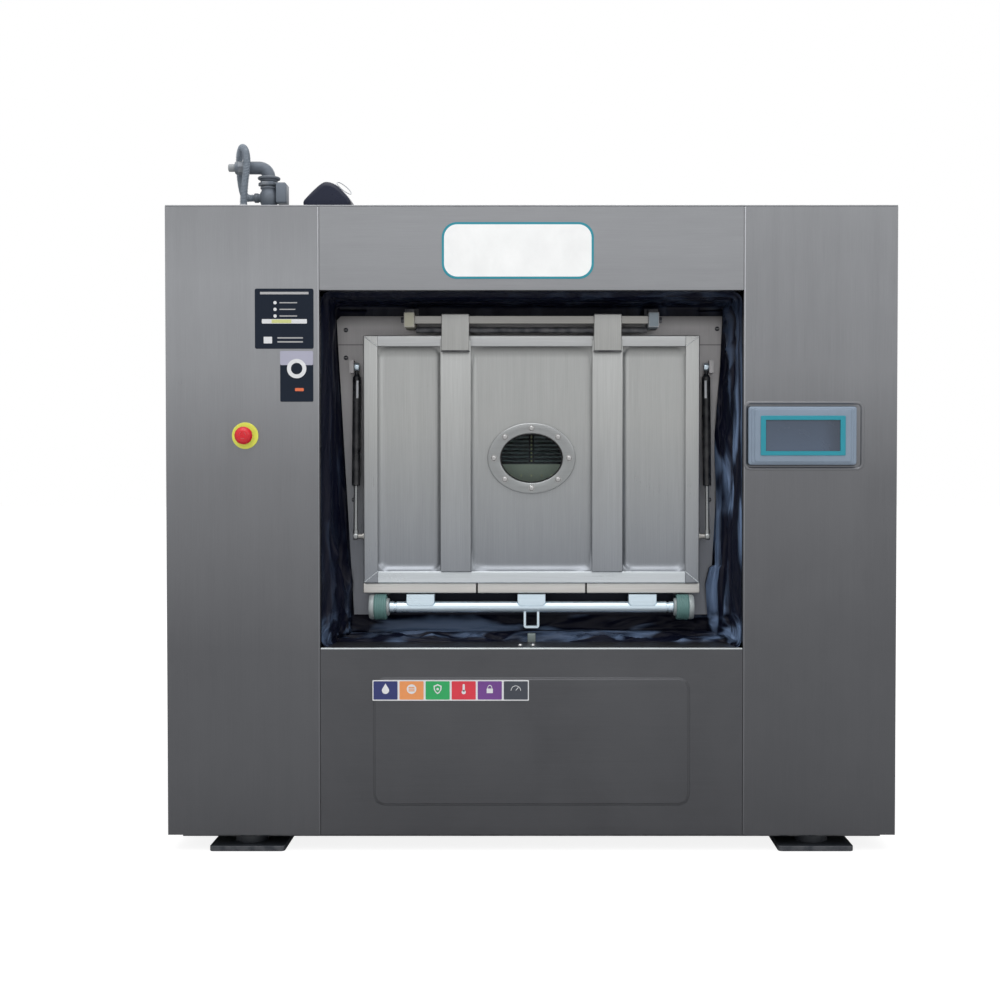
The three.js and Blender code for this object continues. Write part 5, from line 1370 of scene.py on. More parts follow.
def clamp_ring(side, sizes):
    ring = Shape()
    width = ring_box[1].x - PORT_X
    profile = [(0.0, RING_BACK), *moved(RING_INNER, RING_FACE)]
    profile += [(width + grow, y) for grow, y in moved(RING_OUTER, RING_FACE)]
    profile.append((width, RING_BACK))
    ring.grid([oval_row(grow, y) for grow, y in profile], wrap=True)
    for k in range(RING_BOLTS):
        angle = TURN * k / RING_BOLTS
        x = (PORT_X + width / 2) * sin(angle)
        z = PORT_Z + (PORT_HALF_Z + RING_FLATTEN * width / 2) * cos(angle)
        washer = [(sizes.bolt_radius, RING_FACE + BOLT_SEAT), (sizes.bolt_radius, RING_FACE - WASHER_RISE)]
        head = dome(sizes.bolt_radius * 0.85, RING_FACE - WASHER_RISE, RING_FACE - BOLT_RISE)
        ring.turned(washer + head, "y", (x, z), 20, 1)
    make(ring, f"{side}_clamp_ring", ["ring_steel", "screw_steel"], f"{side}_leaf", side,
         [f"{side}_porthole_ring"], math.radians(40))


def pane_row(share):
    """One ring of points on the pane, which bulges a little towards its middle."""
    y = PAN_Y[0] + PANE_SETBACK - PANE_BULGE * (1 - share * share)
    angles = [TURN * k / PANE_STEPS for k in range(PANE_STEPS)]
    return [(PANE_SHARE * PORT_X * share * cos(angle), y,
             PORT_Z + PANE_SHARE * PORT_HALF_Z * share * sin(angle)) for angle in angles]


def pane_and_bead(side):
    pane = Shape()
    rows = [pane_row(share) for share in PANE_RINGS]
    back = [[(x, y + PANE_THICKNESS, z) for x, y, z in row] for row in rows]
    for face in (rows, back):
        pane.grid(face, wrap=True)
        pane.add(face[-1], [list(range(PANE_STEPS))])
    pane.grid([rows[0], back[0]], wrap=True)
    make(pane, f"{side}_pane", ["porthole_pane"], f"{side}_leaf", side, [f"{side}_porthole_glass"],
         math.radians(60))
    bead = Shape()
    bead.tube(oval_row(-PANE_BEAD_INSET, PAN_Y[0] - PANE_SETBACK, 72), PANE_BEAD, 8, 0, closed=True)
    make(bead, f"{side}_pane_bead", ["seal_black"], f"{side}_leaf", side)


class WASHER_OT_portholes(bpy.types.Operator):
    """Builds the clamp rings, dome bolts and panes"""

    bl_idname = "washer.portholes"
    bl_label = "Portholes"

    def execute(self, context):
        for side in SIDES:
            clamp_ring(side, context.scene.washer_sizes)
            pane_and_bead(side)
        return {"FINISHED"}


# Lock bar: a tube with end collars, three keepers and a pull loop, in two green bushes

LOCK_Y = -0.47
LOCK_Z = 0.5473
TUBE_RADIUS = 0.013
KEEPER_X = 0.262
KEEPER_HALF = 0.033
KEEPER_TOP = 0.5778
LOOP_HALF = 0.0185
LOOP_DROP = 0.05
BUSH_X = (bush_box[0].x, bush_box[1].x)
BUSH_RADIUS = 0.0305
BUSH_BORE = 0.0107

# Keeper: its cut corners, its plate's and block's foot above the axis, and their depth ranges
KEEPER_CHAMFER = 0.006
KEEPER_FOOT = 0.004
KEEPER_BLOCK_FOOT = 0.01
KEEPER_PLATE_Y = (-0.0148, -0.0105)
KEEPER_BLOCK_Y = (-0.0145, 0.0098)
KEEPER_ROUNDINGS = (0.001, 0.0016)

# Pull loop: a bent flat bar
LOOP_INSET = 0.0028
LOOP_START = 0.004
LOOP_BEND = 0.003
LOOP_BAR = (0.0026, 0.0078)

# Turned ends of the lock bar and its bushes, as radius and place along the axis from the bush's inner end
BUSH_PLAY = 0.0006
LOCK_END = ((0.01, 0.0465), (0.01, 0), (0.012, 0), (TUBE_RADIUS, -0.001), (TUBE_RADIUS, -0.01),
            (0.0112, -0.011), (0.0112, -0.016), (TUBE_RADIUS, -0.017))
SLEEVE_RADIUS = 0.0285
SLEEVE_START = 0.006
SLEEVE_END = 0.035
RIB_START = 0.0075
RIB_PITCH = 0.0052
RIB_PROFILE = ((0.0298, 0), (BUSH_RADIUS, 0.0011), (BUSH_RADIUS, 0.0038), (0.0298, 0.005))
INNER_FLANGE = ((BUSH_BORE, 0), (0.019, 0), (0.021, 0.002), (0.021, SLEEVE_START), (BUSH_BORE, SLEEVE_START))
OUTER_FLANGE = ((BUSH_BORE, SLEEVE_END), (SLEEVE_RADIUS, SLEEVE_END), (0.0295, 0.036), (0.0295, 0.042),
                (0.0275, 0.0466), (0.012, 0.0466), (BUSH_BORE, 0.044))


def keeper(shape, x):
    """A plate that wraps the tube, with its lower corners cut off."""
    low = LOCK_Z + KEEPER_FOOT
    half = [(KEEPER_HALF, KEEPER_TOP), (KEEPER_HALF, low + KEEPER_CHAMFER),
            (KEEPER_HALF - KEEPER_CHAMFER, low)]
    outline = [(x - across, z) for across, z in half] + [(x + across, z) for across, z in reversed(half)]
    shape.slab(outline, off(LOCK_Y, KEEPER_PLATE_Y), KEEPER_ROUNDINGS[0], 0)
    shape.block(about(x, KEEPER_HALF), off(LOCK_Y, KEEPER_BLOCK_Y), (LOCK_Z + KEEPER_BLOCK_FOOT, KEEPER_TOP),
                KEEPER_ROUNDINGS[1], 2, 0)


def pull_loop(shape):
    """A flat bar bent to a U, below the tube."""
    half, low = LOOP_HALF - LOOP_INSET, LOCK_Z - LOOP_DROP + LOOP_INSET
    path = [(-half, LOCK_Z - LOOP_START), (-half, low + LOOP_BEND)]
    for k in range(1, 5):
        across, down = LOOP_BEND * cos(QUARTER * k / 4), LOOP_BEND * sin(QUARTER * k / 4)
        path.append((-half + LOOP_BEND - across, low + LOOP_BEND - down))
    path += [(-x, z) for x, z in reversed(path)]
    front, back = about(LOCK_Y, LOOP_BAR[1])
    rows = []
    for k, (x, z) in enumerate(path):
        before, after = path[max(k - 1, 0)], path[min(k + 1, len(path) - 1)]
        ahead = Vector((after[0] - before[0], after[1] - before[1])).normalized()
        side = Vector((ahead.y, -ahead.x)) * LOOP_BAR[0]
        rows.append([(x + side.x, front, z + side.y), (x + side.x, back, z + side.y),
                     (x - side.x, back, z - side.y), (x - side.x, front, z - side.y)])
    shape.grid(rows, wrap=True)
    shape.add(rows[0], [[0, 1, 2, 3]])
    shape.add(rows[-1], [[0, 1, 2, 3]])


def lock_bar(side):
    shape = Shape()
    shape.turned(both_ends(moved(LOCK_END, BUSH_X[0] - BUSH_PLAY)), "x", (LOCK_Y, LOCK_Z), 28)
    for x in (-KEEPER_X, 0, KEEPER_X):
        keeper(shape, x)
    pull_loop(shape)
    make(shape, f"{side}_lock_rod", ["satin_bar"], f"{side}_lock", side, [f"{side}_lock_bar"])


def lock_bush(side, hand):
    """A ribbed green sleeve between two pale flanges."""
    shape = Shape()
    start = BUSH_X[0]
    sleeve = moved(((BUSH_BORE, SLEEVE_START), (SLEEVE_RADIUS, SLEEVE_START)), start)
    for k in range(5):
        sleeve += moved(RIB_PROFILE, start + RIB_START + RIB_PITCH * k)
    sleeve += moved(((SLEEVE_RADIUS, SLEEVE_END), (BUSH_BORE, SLEEVE_END)), start)
    for profile, finish in ((sleeve, 0), (moved(INNER_FLANGE, start), 1), (moved(OUTER_FLANGE, start), 1)):
        shape.turned(moved(profile, 0, HANDS[hand]), "x", (LOCK_Y, LOCK_Z), 40, finish)
    replaced = [f"front_{hand}_lock_bush"] if side == "front" else []
    make(shape, f"{side}_{hand}_bush_sleeve", ["bush_green", "bush_flange"], "tub", side, replaced)


class WASHER_OT_locks(bpy.types.Operator):
    """Builds the lock bars and their green bushes"""

    bl_idname = "washer.locks"
    bl_label = "Lock bars"

    def execute(self, context):
        each_corner(lock_bush)
        return each_side(lock_bar)


# Gas springs: cylinder, rod and ball joints, along the line between their two studs

GAS_X = 0.415
GAS_TOP = Vector((-0.445, 1.116))
GAS_STUD = Vector((-0.48, 0.715))
GAS_BODY = (0.024, 0.284)
GAS_RADIUS = 0.01
ROD_RADIUS = 0.005

# Turned pieces, as radius and place along the spring from its upper or lower stud, and its two eyes
CYLINDER_PROFILE = ((0.004, -0.004), (0.0045, -0.016), (0.0065, -0.02), (GAS_RADIUS - 0.001, -GAS_BODY[0]),
                    (GAS_RADIUS, -GAS_BODY[0] - 0.001), (GAS_RADIUS, 0.003 - GAS_BODY[1]),
                    (GAS_RADIUS - 0.0012, 0.001 - GAS_BODY[1]), (0.0058, -GAS_BODY[1]))
CYLINDER_EYE = ((0.0045, 0.0058), (0.0088, 0.0052), (0.0095, 0.003))
ROD_START = -0.1
ROD_FOOT = ((ROD_RADIUS, 0.016), (0.0065, 0.015), (0.0065, 0.006), (0.004, 0.003))
ROD_EYE = ((0.003, 0.0058), (0.0082, 0.0052), (0.009, 0.003))
GAS_LABEL_Z = (-0.034, -0.076)
GAS_LABEL_TURN = 0.3
GAS_LABEL_SHIFT = 0.2
GAS_LABEL_LIFT = 0.0002


def leaned(shape):
    """Turns a shape made upright at the top stud to lie along the spring's line."""
    way = (GAS_STUD - GAS_TOP).normalized()
    for point in shape.points:
        down = -point.z
        aside = point.y
        point.y = GAS_TOP.x + way.x * down - way.y * aside
        point.z = GAS_TOP.y + way.y * down + way.x * aside
    return shape


def gas_label(x, way):
    """Rows of a label that bends round the cylinder, a little to its inner side."""
    radius = GAS_RADIUS + GAS_LABEL_LIFT
    angles = [mix(-GAS_LABEL_TURN, GAS_LABEL_TURN, k / 8) for k in range(9)]
    middle = x - way * GAS_LABEL_SHIFT * radius
    return [[(middle + radius * sin(angle), -radius * cos(angle), z) for angle in angles]
            for z in GAS_LABEL_Z]


def gas_spring(side, hand):
    x = HANDS[hand] * GAS_X
    body = Shape()
    body.turned(CYLINDER_PROFILE, "z", (x, 0), 28, 0)
    body.grid(gas_label(x, HANDS[hand]), finish=2)
    body.turned(moved(both_ends(CYLINDER_EYE), x), "x", (0, 0), 24, 1)
    make(leaned(body), f"{side}_{hand}_gas_body", ["gas_black", "satin_bar", "gas_label"],
         f"{side}_{hand}_cylinder", side, [f"{side}_{hand}_gas_cylinder"])
    reach = (GAS_STUD - GAS_TOP).length
    rod = Shape()
    rod.turned([(ROD_RADIUS, ROD_START), *moved(ROD_FOOT, -reach)], "z", (x, 0), 20, 0)
    rod.turned(moved(both_ends(ROD_EYE), x), "x", (0, -reach), 24, 0)
    make(leaned(rod), f"{side}_{hand}_gas_piston", ["ring_steel"], f"{side}_{hand}_rod", side,
         [f"{side}_{hand}_gas_rod"])


class WASHER_OT_gas_springs(bpy.types.Operator):
    """Builds the four gas springs"""

    bl_idname = "washer.gas_springs"
    bl_label = "Gas springs"

    def execute(self, context):
        return each_corner(gas_spring)


# Hinge blocks, brackets and screws on the tub's face plate

BLOCK_X = (0.2729, 0.2977)
BLOCK_HALF = 0.0176
BLOCK_FRONT = HINGE_Y - 0.0156
BLOCK_ROUNDING = 0.003

# The bracket over each block: how far its flange and its rib pass the block, and how high they reach
FLANGE_PASS = 0.004
FLANGE_Z = (-0.006, 0.016)
RIB_PASS = -0.002
RIB_RISE = 0.009
RIB_FRONT = HINGE_Y + 0.006
BRACKET_ROUNDING = 0.001
BLOCK_BOLT = ((0.0075, 0.0002), (0.0075, 0.006), (0.0065, 0.0075))
SCREW_RADIUS = 0.0055
SCREW_EDGE = 0.0006
SCREW_RISE = 0.003
SLOT_HALF = 0.004
SLOT_WIDTH = 0.0005
SLOT_Y = (-0.0032, -0.002)
SLOT_ROUNDING = 0.0002
PLATE_SCREWS = ((-0.443, 1.205), (-0.443, 1.139), (0.443, 1.208), (0.425, 0.8), (-0.425, 0.8))


def hinge_blocks(side):
    """The hinge bar's two blocks, with a bracket over each and a bolt in its end."""
    shape = Shape()
    block_top = HINGE_Z + BLOCK_HALF
    for way, finish in ((-1, 0), (1, 2)):
        x = sorted((way * BLOCK_X[0], way * BLOCK_X[1]))
        shape.block(x, (BLOCK_FRONT, FACE_Y), about(HINGE_Z, BLOCK_HALF), BLOCK_ROUNDING, 3, finish)
        shape.block(grown(x, FLANGE_PASS), (FACE_Y - FLANGE_PASS, FACE_Y), off(block_top, FLANGE_Z),
                    BRACKET_ROUNDING, 2, 1)
        rib_z = (block_top, block_top + RIB_RISE)
        shape.block(grown(x, RIB_PASS), (RIB_FRONT, FACE_Y), rib_z, BRACKET_ROUNDING, 2, 1)
        shape.turned(moved(BLOCK_BOLT, way * BLOCK_X[1], way), "x", (HINGE_Y, HINGE_Z), 6, 1)
    make(shape, f"{side}_hinge_blocks", ["block_cream", "bracket_dark", "block_blue"], "tub", side)


def plate_screws(side):
    """Slotted screws round the face plate."""
    shape = Shape()
    head = [(SCREW_RADIUS, FACE_Y), *dome(SCREW_RADIUS, FACE_Y - SCREW_EDGE, FACE_Y - SCREW_RISE, 4)]
    for x, z in PLATE_SCREWS:
        shape.turned(head, "y", (x, z), 16, 0)
        shape.block(about(x, SLOT_HALF), off(FACE_Y, SLOT_Y), about(z, SLOT_WIDTH), SLOT_ROUNDING, 1, 1)
    make(shape, f"{side}_plate_screws", ["bracket_dark", "screw_steel"], "tub", side)


class WASHER_OT_tub_fittings(bpy.types.Operator):
    """Adds the hinge blocks and screws on the tub's face plates"""

    bl_idname = "washer.tub_fittings"
    bl_label = "Tub fittings"

    def execute(self, context):
        return each_side(hinge_blocks, plate_screws)


# Emergency stops: turned profiles, as radius and depth from the piece that each stands on

STOP_FACE = FRONT_Y - 0.0023
STOP_PLATE = ((0.008, FRONT_Y - SEAT_GAP), (0.03, FRONT_Y - SEAT_GAP), (0.03, STOP_FACE + 0.0006),
              (0.0293, STOP_FACE), (0.008, STOP_FACE))
STOP_COLLAR = ((0.0078, 0), (0.015, 0), (0.015, -0.0055), (0.014, -0.0078), (0.0078, -0.0078))
STOP_SHANK = ((0.0105, 0.0005), (0.0105, 0.0235), (0.0079, 0.0235))
HEAD_GAP = 0.0056
HEAD_STEM = ((0.0075, 0.012),)
HEAD_PROFILE = ((0.0075, 0), (0.016, 0), (0.0188, -0.0004), (0.02, -0.002), (0.02, -0.0065),
                (0.0192, -0.0085), (0.0165, -0.0122), (0.0135, -0.0148))
CROWN_PROFILE = ((0.0115, 0.0006), (0.009, 0), (0, 0.0002))
CROWN_SINK = 0.0004
ARROW_RADIUS = 0.0075
ARROW_WIDTH = 0.0007
ARROW_STEP = 0.22


def stop_plate(side):
    """A yellow plate with the button's collar on it and its shank behind it."""
    shape = Shape()
    at = (centre_of(stop_plate_box).x, centre_of(stop_plate_box).z)
    shape.turned(STOP_PLATE, "y", at, 48, 0)
    shape.turned(moved(STOP_COLLAR, STOP_FACE), "y", at, 36, 1)
    shape.turned(moved(STOP_SHANK, FRONT_Y), "y", at, 20, 1)
    make(shape, f"{side}_stop_plate", ["ring_yellow", "stop_black"], "cabinet", side, [f"{side}_estop_plate"])


def stop_button(side):
    """A mushroom head with a soft crown and three raised turning arrows."""
    shape = Shape()
    at = (centre_of(stop_box).x, centre_of(stop_box).z)
    back = stop_plate_box[0].y - HEAD_GAP
    crown = stop_box[0].y + CROWN_SINK
    profile = moved(HEAD_STEM, FRONT_Y) + moved(HEAD_PROFILE, back) + moved(CROWN_PROFILE, crown)
    shape.turned(profile, "y", at, 44, 0)
    for k in range(3):
        angles = [TURN * k / 3 + t * ARROW_STEP for t in range(6)]
        arc = [(at[0] + ARROW_RADIUS * cos(angle), crown - SKIN_STEP,
                at[1] + ARROW_RADIUS * sin(angle)) for angle in angles]
        shape.tube(arc, ARROW_WIDTH, 6, 1)
    make(shape, f"{side}_stop_head", ["mushroom_red", "stop_mark"], f"{side}_stop", side,
         [f"{side}_estop_button"])


class WASHER_OT_stops(bpy.types.Operator):
    """Builds the two emergency stops"""

    bl_idname = "washer.stops"
    bl_label = "Emergency stops"

    def execute(self, context):
        return each_side(stop_plate, stop_button)


# Touch panel

PANEL_X = (0.492, 0.737)
PANEL_Z = (0.883, 1.015)
WINDOW_X = (0.486, 0.751)
WINDOW_Z = (0.875, 1.023)
TRIM_X = (0.5185, 0.7105)
TRIM_Z = (0.904, 0.994)
PANEL_SINK = 0.002
SCREEN_GAP = 0.0003
SCREEN_Y = (0.0002, 0.003)
SCREEN_ROUNDING = 0.001

# Mouldings, outermost step first: how far the outline is grown in x and in z, its corners' radius and its
# depth from the tower's or the moulding's face
RIM_STEPS = ((0.0045, 0.0045, 0.016, 0), (0.0035, 0.0035, 0.015, -0.001), (0.0005, 0.0005, 0.012, -0.0014),
             (-0.002, -0.0016, 0.01, -0.0002), (-0.0036, -0.003, 0.008, 0.0024))
RIM_END = ((0.0012, 0.0012, 0.006, 0.003),)
PANEL_BACK = ((0, 0, 0.006, 0.0031),)
PANEL_STEPS = ((0, 0, 0.006, 0.0078), (-0.0015, -0.0015, 0.005, 0.006), (-0.0062, -0.003, 0.005, 0.0052),
               (-0.0078, -0.004, 0.005, 0.003), (-0.0128, -0.0058, 0.005, 0.0024),
               (-0.0142, -0.0072, 0.004, 0.0003), (-0.0158, -0.0086, 0.004, 0))
TRIM_STEPS = ((0, 0, 0.002, 0), (0, 0, 0.002, -0.0012), (-0.0008, -0.0008, 0.0016, -0.0019))
SCREEN_STEPS = ((0.0006, 0.0006, 0.0012, -0.0019), (0, 0, SCREEN_ROUNDING, -0.0012),
                (0, 0, SCREEN_ROUNDING, 0.003))


def moulding_rows(x, z, face, steps):
    """Rows of points round an outline, one for each step of a moulding."""
    return [[(px, face + depth, pz) for px, pz in rounded(grown(x, by_x), grown(z, by_z), radius)]
            for by_x, by_z, radius, depth in steps]


def touch_panel():
    """A rim on the tower's face, the moulding, its coloured trim and the screen."""
    face = bezel_box[0].y + PANEL_SINK
    rim = FRONT_Y - SEAT_GAP
    screen_x = (screen_box[0].x, screen_box[1].x)
    screen_z = (screen_box[0].z, screen_box[1].z)
    shape = Shape()
    panel, trim = (PANEL_X, PANEL_Z), (TRIM_X, TRIM_Z)
    edge = moulding_rows(WINDOW_X, WINDOW_Z, rim, RIM_STEPS) + moulding_rows(*panel, rim, RIM_END)
    shape.grid(edge, wrap=True, finish=3)
    body = moulding_rows(*panel, FRONT_Y, PANEL_BACK) + moulding_rows(*panel, face, PANEL_STEPS)
    shape.grid(body + moulding_rows(*trim, face, TRIM_STEPS[:1]), wrap=True, finish=0)
    teal = moulding_rows(*trim, face, TRIM_STEPS) + moulding_rows(screen_x, screen_z, face, SCREEN_STEPS)
    shape.grid(teal, wrap=True, finish=1)
    finishes = ["bezel_moulding", "teal_trim", "bezel_edge", "right_sheet"]
    make(shape, "touch_panel_moulding", finishes, "cabinet", replaces=["touch_panel_bezel"])
    screen = Shape()
    screen.slab(rounded(grown(screen_x, -SCREEN_GAP), grown(screen_z, -SCREEN_GAP), SCREEN_ROUNDING),
                off(face, SCREEN_Y), SCREEN_GAP, 0)
    make(screen, "touch_panel_glass", ["screen_face"], "cabinet", replaces=["touch_panel_screen"])


class WASHER_OT_touch_panel(bpy.types.Operator):
    """Builds the touch panel's moulding, trim and screen"""

    bl_idname = "washer.touch_panel"
    bl_label = "Touch panel"

    def execute(self, context):
        touch_panel()
        return {"FINISHED"}


# Plates and labels: plain shapes without any lettering. Places are x and z ranges or centres

LABEL_GAP = 0.0002
LABEL_BEVEL = 0.0003
PRINT_LIFT = 0.00015
PLATE_PLACE = (-0.031, 1.368)

# The plate's edge and its white field: half width, half height, corners' radius, lift and bevel
PLATE_LAYERS = ((0.172, 0.064, 0.034, 0, 0.0004), (0.167, 0.059, 0.03, 0.0002, 0.0001))

# Marks on the labels: places across and down from the upper left corner, rounding, finish and layer. A mark
# with one place each way is a disc, and its rounding is its radius
CARE_MARKS = (
    ((0.012, 0.122), (-0.013, -0.0075), 0.001, 1, 0),
    ((0.046,), (-0.032,), 0.0038, 2, 0), ((0.056, 0.096), (-0.0332, -0.0308), 0.0008, 1, 0),
    ((0.046,), (-0.047,), 0.0038, 2, 0), ((0.056, 0.092), (-0.0482, -0.0458), 0.0008, 1, 0),
    ((0.046,), (-0.062,), 0.0038, 2, 0), ((0.056, 0.096), (-0.0632, -0.0608), 0.0008, 1, 0),
    ((0.016, 0.118), (-0.079, -0.069), 0.001, 2, 0), ((0.038, 0.083), (-0.078, -0.07), 0.001, 3, 0.5),
    ((0.02, 0.039), (-0.124, -0.109), 0.001, 2, 0),
    ((0.051, 0.109), (-0.122, -0.119), 0.0008, 1, 0), ((0.051, 0.109), (-0.113, -0.11), 0.0008, 1, 0),
)
LOAD_MARKS = (
    ((0, 0.075), (-0.032, 0), 0.003, 1, 0), ((0.0375,), (-0.04,), 0.022, 2, 1),
    ((0.0375,), (-0.04,), 0.013, 0, 2), ((0.0335, 0.0535), (-0.091, -0.084), 0.002, 3, 0),
)

# Labels: name, x and z range, corners' radius, steps round a disc, marks and finishes
LABELS = (
    ("care_plate", (-0.627, -0.494), (1.146, 1.282), 0.004, 16, CARE_MARKS,
     ("label_dark", "label_pale", "label_white", "label_yellow")),
    ("load_plate", (-0.57, -0.495), (1.026, 1.141), 0.003, 36, LOAD_MARKS,
     ("label_dark", "label_lilac", "label_white", "label_orange")),
)


def label_depth(sizes, front):
    back = front - LABEL_GAP
    return back - sizes.plate_thickness, back


def lintel_plate(sizes):
    """A bare white plate with a thin teal edge."""
    shape = Shape()
    label = label_depth(sizes, FRONT_Y)
    for finish, (half_x, half_z, radius, lift, bevel) in enumerate(PLATE_LAYERS):
        outline = rounded(about(PLATE_PLACE[0], half_x), about(PLATE_PLACE[1], half_z), radius, 12)
        shape.slab(outline, (label[0] - lift, label[1] - lift), bevel, finish)
    make(shape, "lintel_plate", ["teal_trim", "plate_white"], "cabinet")


def dark_label(sizes, name, x, z, radius, steps, marks, finishes):
    """A dark label with plain bars, fields and discs in place of its words and figures."""
    shape = Shape()
    face, back = label_depth(sizes, FRONT_Y)
    shape.slab(rounded(x, z, radius), (face, back), LABEL_BEVEL, 0)
    for across, down, rounding, finish, layer in marks:
        if len(across) == 1:
            outline = disc(x[0] + across[0], z[1] + down[0], rounding, steps)
        else:
            outline = rounded(off(x[0], across), off(z[1], down), rounding)
        low = face - PRINT_LIFT
        lift = (low - layer * SKIN_STEP, low - max(layer - 1, 0) * SKIN_STEP) if layer else (low, face)
        shape.slab(outline, lift, 0, finish)
    make(shape, name, finishes, "cabinet")


ICON_X = (-0.362, -0.006)
ICON_Z = (0.346, 0.393)
ICON_FINISHES = ["label_white", "icon_blue", "icon_orange", "icon_green", "icon_red", "icon_purple",
                 "icon_grey"]
ICON_SIZE = 0.0115
ICON_RISE = 0.003
ICON_GAP = 0.0022
ICON_INSET = 0.0025
ICON_CORNER = 0.002
ICON_BEVEL = 0.0002
ICON_LIFT = 0.0003
SUN_BAR_ROUNDING = 0.0006
PADLOCK_ROUNDING = 0.0008
PADLOCK_LINE = 0.0009
GAUGE_LINE = 0.0007
NEEDLE_LINE = 0.0008

# Pictograms in shares of their size: a drop's belly, a sun's disc and bars, half a shield, a tube's range, a
# padlock's body and a needle's ends
DROP_BELLY = (0.72, -0.25)
SUN_SHARE = 0.95
SUN_BAR_SHARES = (0.6, 0.1, 0.34)
SHIELD_SHARES = ((0.8, 0.65), (0.75, -0.1), (0.4, -0.7))
SHIELD_INNER_SHARE = 0.72
TUBE_SHARES = (-0.22, 0.22, -0.5, 1)
PADLOCK_SHARES = (-0.62, 0.62, -0.8, 0.12)
NEEDLE_SHARES = ((0, -0.25), (0.5, 0.35))


def placed(shares, x, z, size):
    """Points of a pictogram, from their shares of its size."""
    return [(x + across * size, z + up * size) for across, up in shares]


def arch(x, z, size, shares, steps, y):
    """Points of a half oval. shares hold its half width, its height and its foot's height."""
    half, high, foot = (share * size for share in shares)
    angles = [math.pi * k / steps for k in range(steps + 1)]
    return [(x + half * cos(angle), y, z + foot + high * sin(angle)) for angle in angles]


def icon_drop(shape, x, z, size, lift):
    belly, low = DROP_BELLY
    angles = [math.radians(degrees) for degrees in range(110, -111, -20)]
    shares = [(0, 1.1), *((belly * sin(angle), low - belly * cos(angle)) for angle in angles)]
    shape.slab(placed(shares, x, z, size), lift, 0, 0)


def icon_sun(shape, x, z, size, lift):
    half, thick, pitch = SUN_BAR_SHARES
    shape.slab(disc(x, z, size * SUN_SHARE, 28), lift, 0, 0)
    for k in (-1, 0, 1):
        bar = rounded(about(x, half * size), about(z + pitch * k * size, thick * size), SUN_BAR_ROUNDING, 2)
        shape.slab(bar, (lift[0] - SKIN_STEP, lift[0]), 0, 2)


def icon_shield(shape, x, z, size, lift):
    left = [(-across, up) for across, up in reversed(SHIELD_SHARES)]
    outline = placed([(0, 1), *SHIELD_SHARES, (0, -1), *left], x, z, size)
    shape.slab(outline, lift, 0, 0)
    inner = [(mix(x, px, SHIELD_INNER_SHARE), mix(z, pz, SHIELD_INNER_SHARE)) for px, pz in outline]
    shape.slab(inner, (lift[0] - SKIN_STEP, lift[0]), 0, 3)
    shape.slab(disc(x, z, size * 0.25, 16), (lift[0] - 2 * SKIN_STEP, lift[0] - SKIN_STEP), 0, 0)


def icon_thermometer(shape, x, z, size, lift):
    left, right, low, high = (share * size for share in TUBE_SHARES)
    shape.slab(rounded(off(x, (left, right)), off(z, (low, high)), 0.2 * size, 4), lift, 0, 0)
    shape.slab(disc(x, z - 0.6 * size, 0.42 * size, 20), lift, 0, 0)


def icon_padlock(shape, x, z, size, lift):
    left, right, low, high = (share * size for share in PADLOCK_SHARES)
    shape.slab(rounded(off(x, (left, right)), off(z, (low, high)), PADLOCK_ROUNDING, 3), lift, 0, 0)
    shape.tube(arch(x, z, size, (0.42, 0.62, 0.12), 12, lift[0]), PADLOCK_LINE, 6, 0)


def icon_gauge(shape, x, z, size, lift):
    shape.tube(arch(x, z, size, (0.95, 0.95, -0.3), 16, lift[0]), GAUGE_LINE, 6, 0)
    foot, tip = (Vector((px, lift[0], pz)) for px, pz in placed(NEEDLE_SHARES, x, z, size))
    shape.tube([foot.lerp(tip, k / 4) for k in range(5)], NEEDLE_LINE, 6, 0)


ICONS = (icon_drop, icon_sun, icon_shield, icon_thermometer, icon_padlock, icon_gauge)


def icon_strip(sizes):
    """Six coloured fields on a white strip, each with its pictogram."""
    shape = Shape()
    label = label_depth(sizes, lower_box[0].y)
    face = label[0]
    shape.slab(rounded(ICON_X, ICON_Z, ICON_CORNER), label, ICON_BEVEL, 0)
    width = (ICON_X[1] - ICON_X[0]) / len(ICONS)
    for k, icon in enumerate(ICONS):
        x = (ICON_X[0] + width * k + ICON_GAP, ICON_X[0] + width * (k + 1) - ICON_GAP)
        shape.slab(rounded(x, grown(ICON_Z, -ICON_INSET), ICON_CORNER), (face - SKIN_STEP, face), 0, k + 1)
        middle = ((x[0] + x[1]) / 2, (ICON_Z[0] + ICON_Z[1]) / 2 + ICON_RISE)
        icon(shape, *middle, ICON_SIZE, (face - ICON_LIFT, face - SKIN_STEP))
    make(shape, "icon_strip", ICON_FINISHES, "cabinet")


class WASHER_OT_plates(bpy.types.Operator):
    """Adds the plain plates and the row of pictograms on the loading side"""

    bl_idname = "washer.plates"
    bl_label = "Plates"

    def execute(self, context):
        sizes = context.scene.washer_sizes
        lintel_plate(sizes)
        for label in LABELS:
            dark_label(sizes, *label)
        icon_strip(sizes)
        return {"FINISHED"}


# Fittings on top: inlet valve, conduit and hood

VALVE = (-0.612, -0.5)
TOP_Z = cover_box[1].z
VALVE_FOOT = TOP_Z + SEAT_GAP

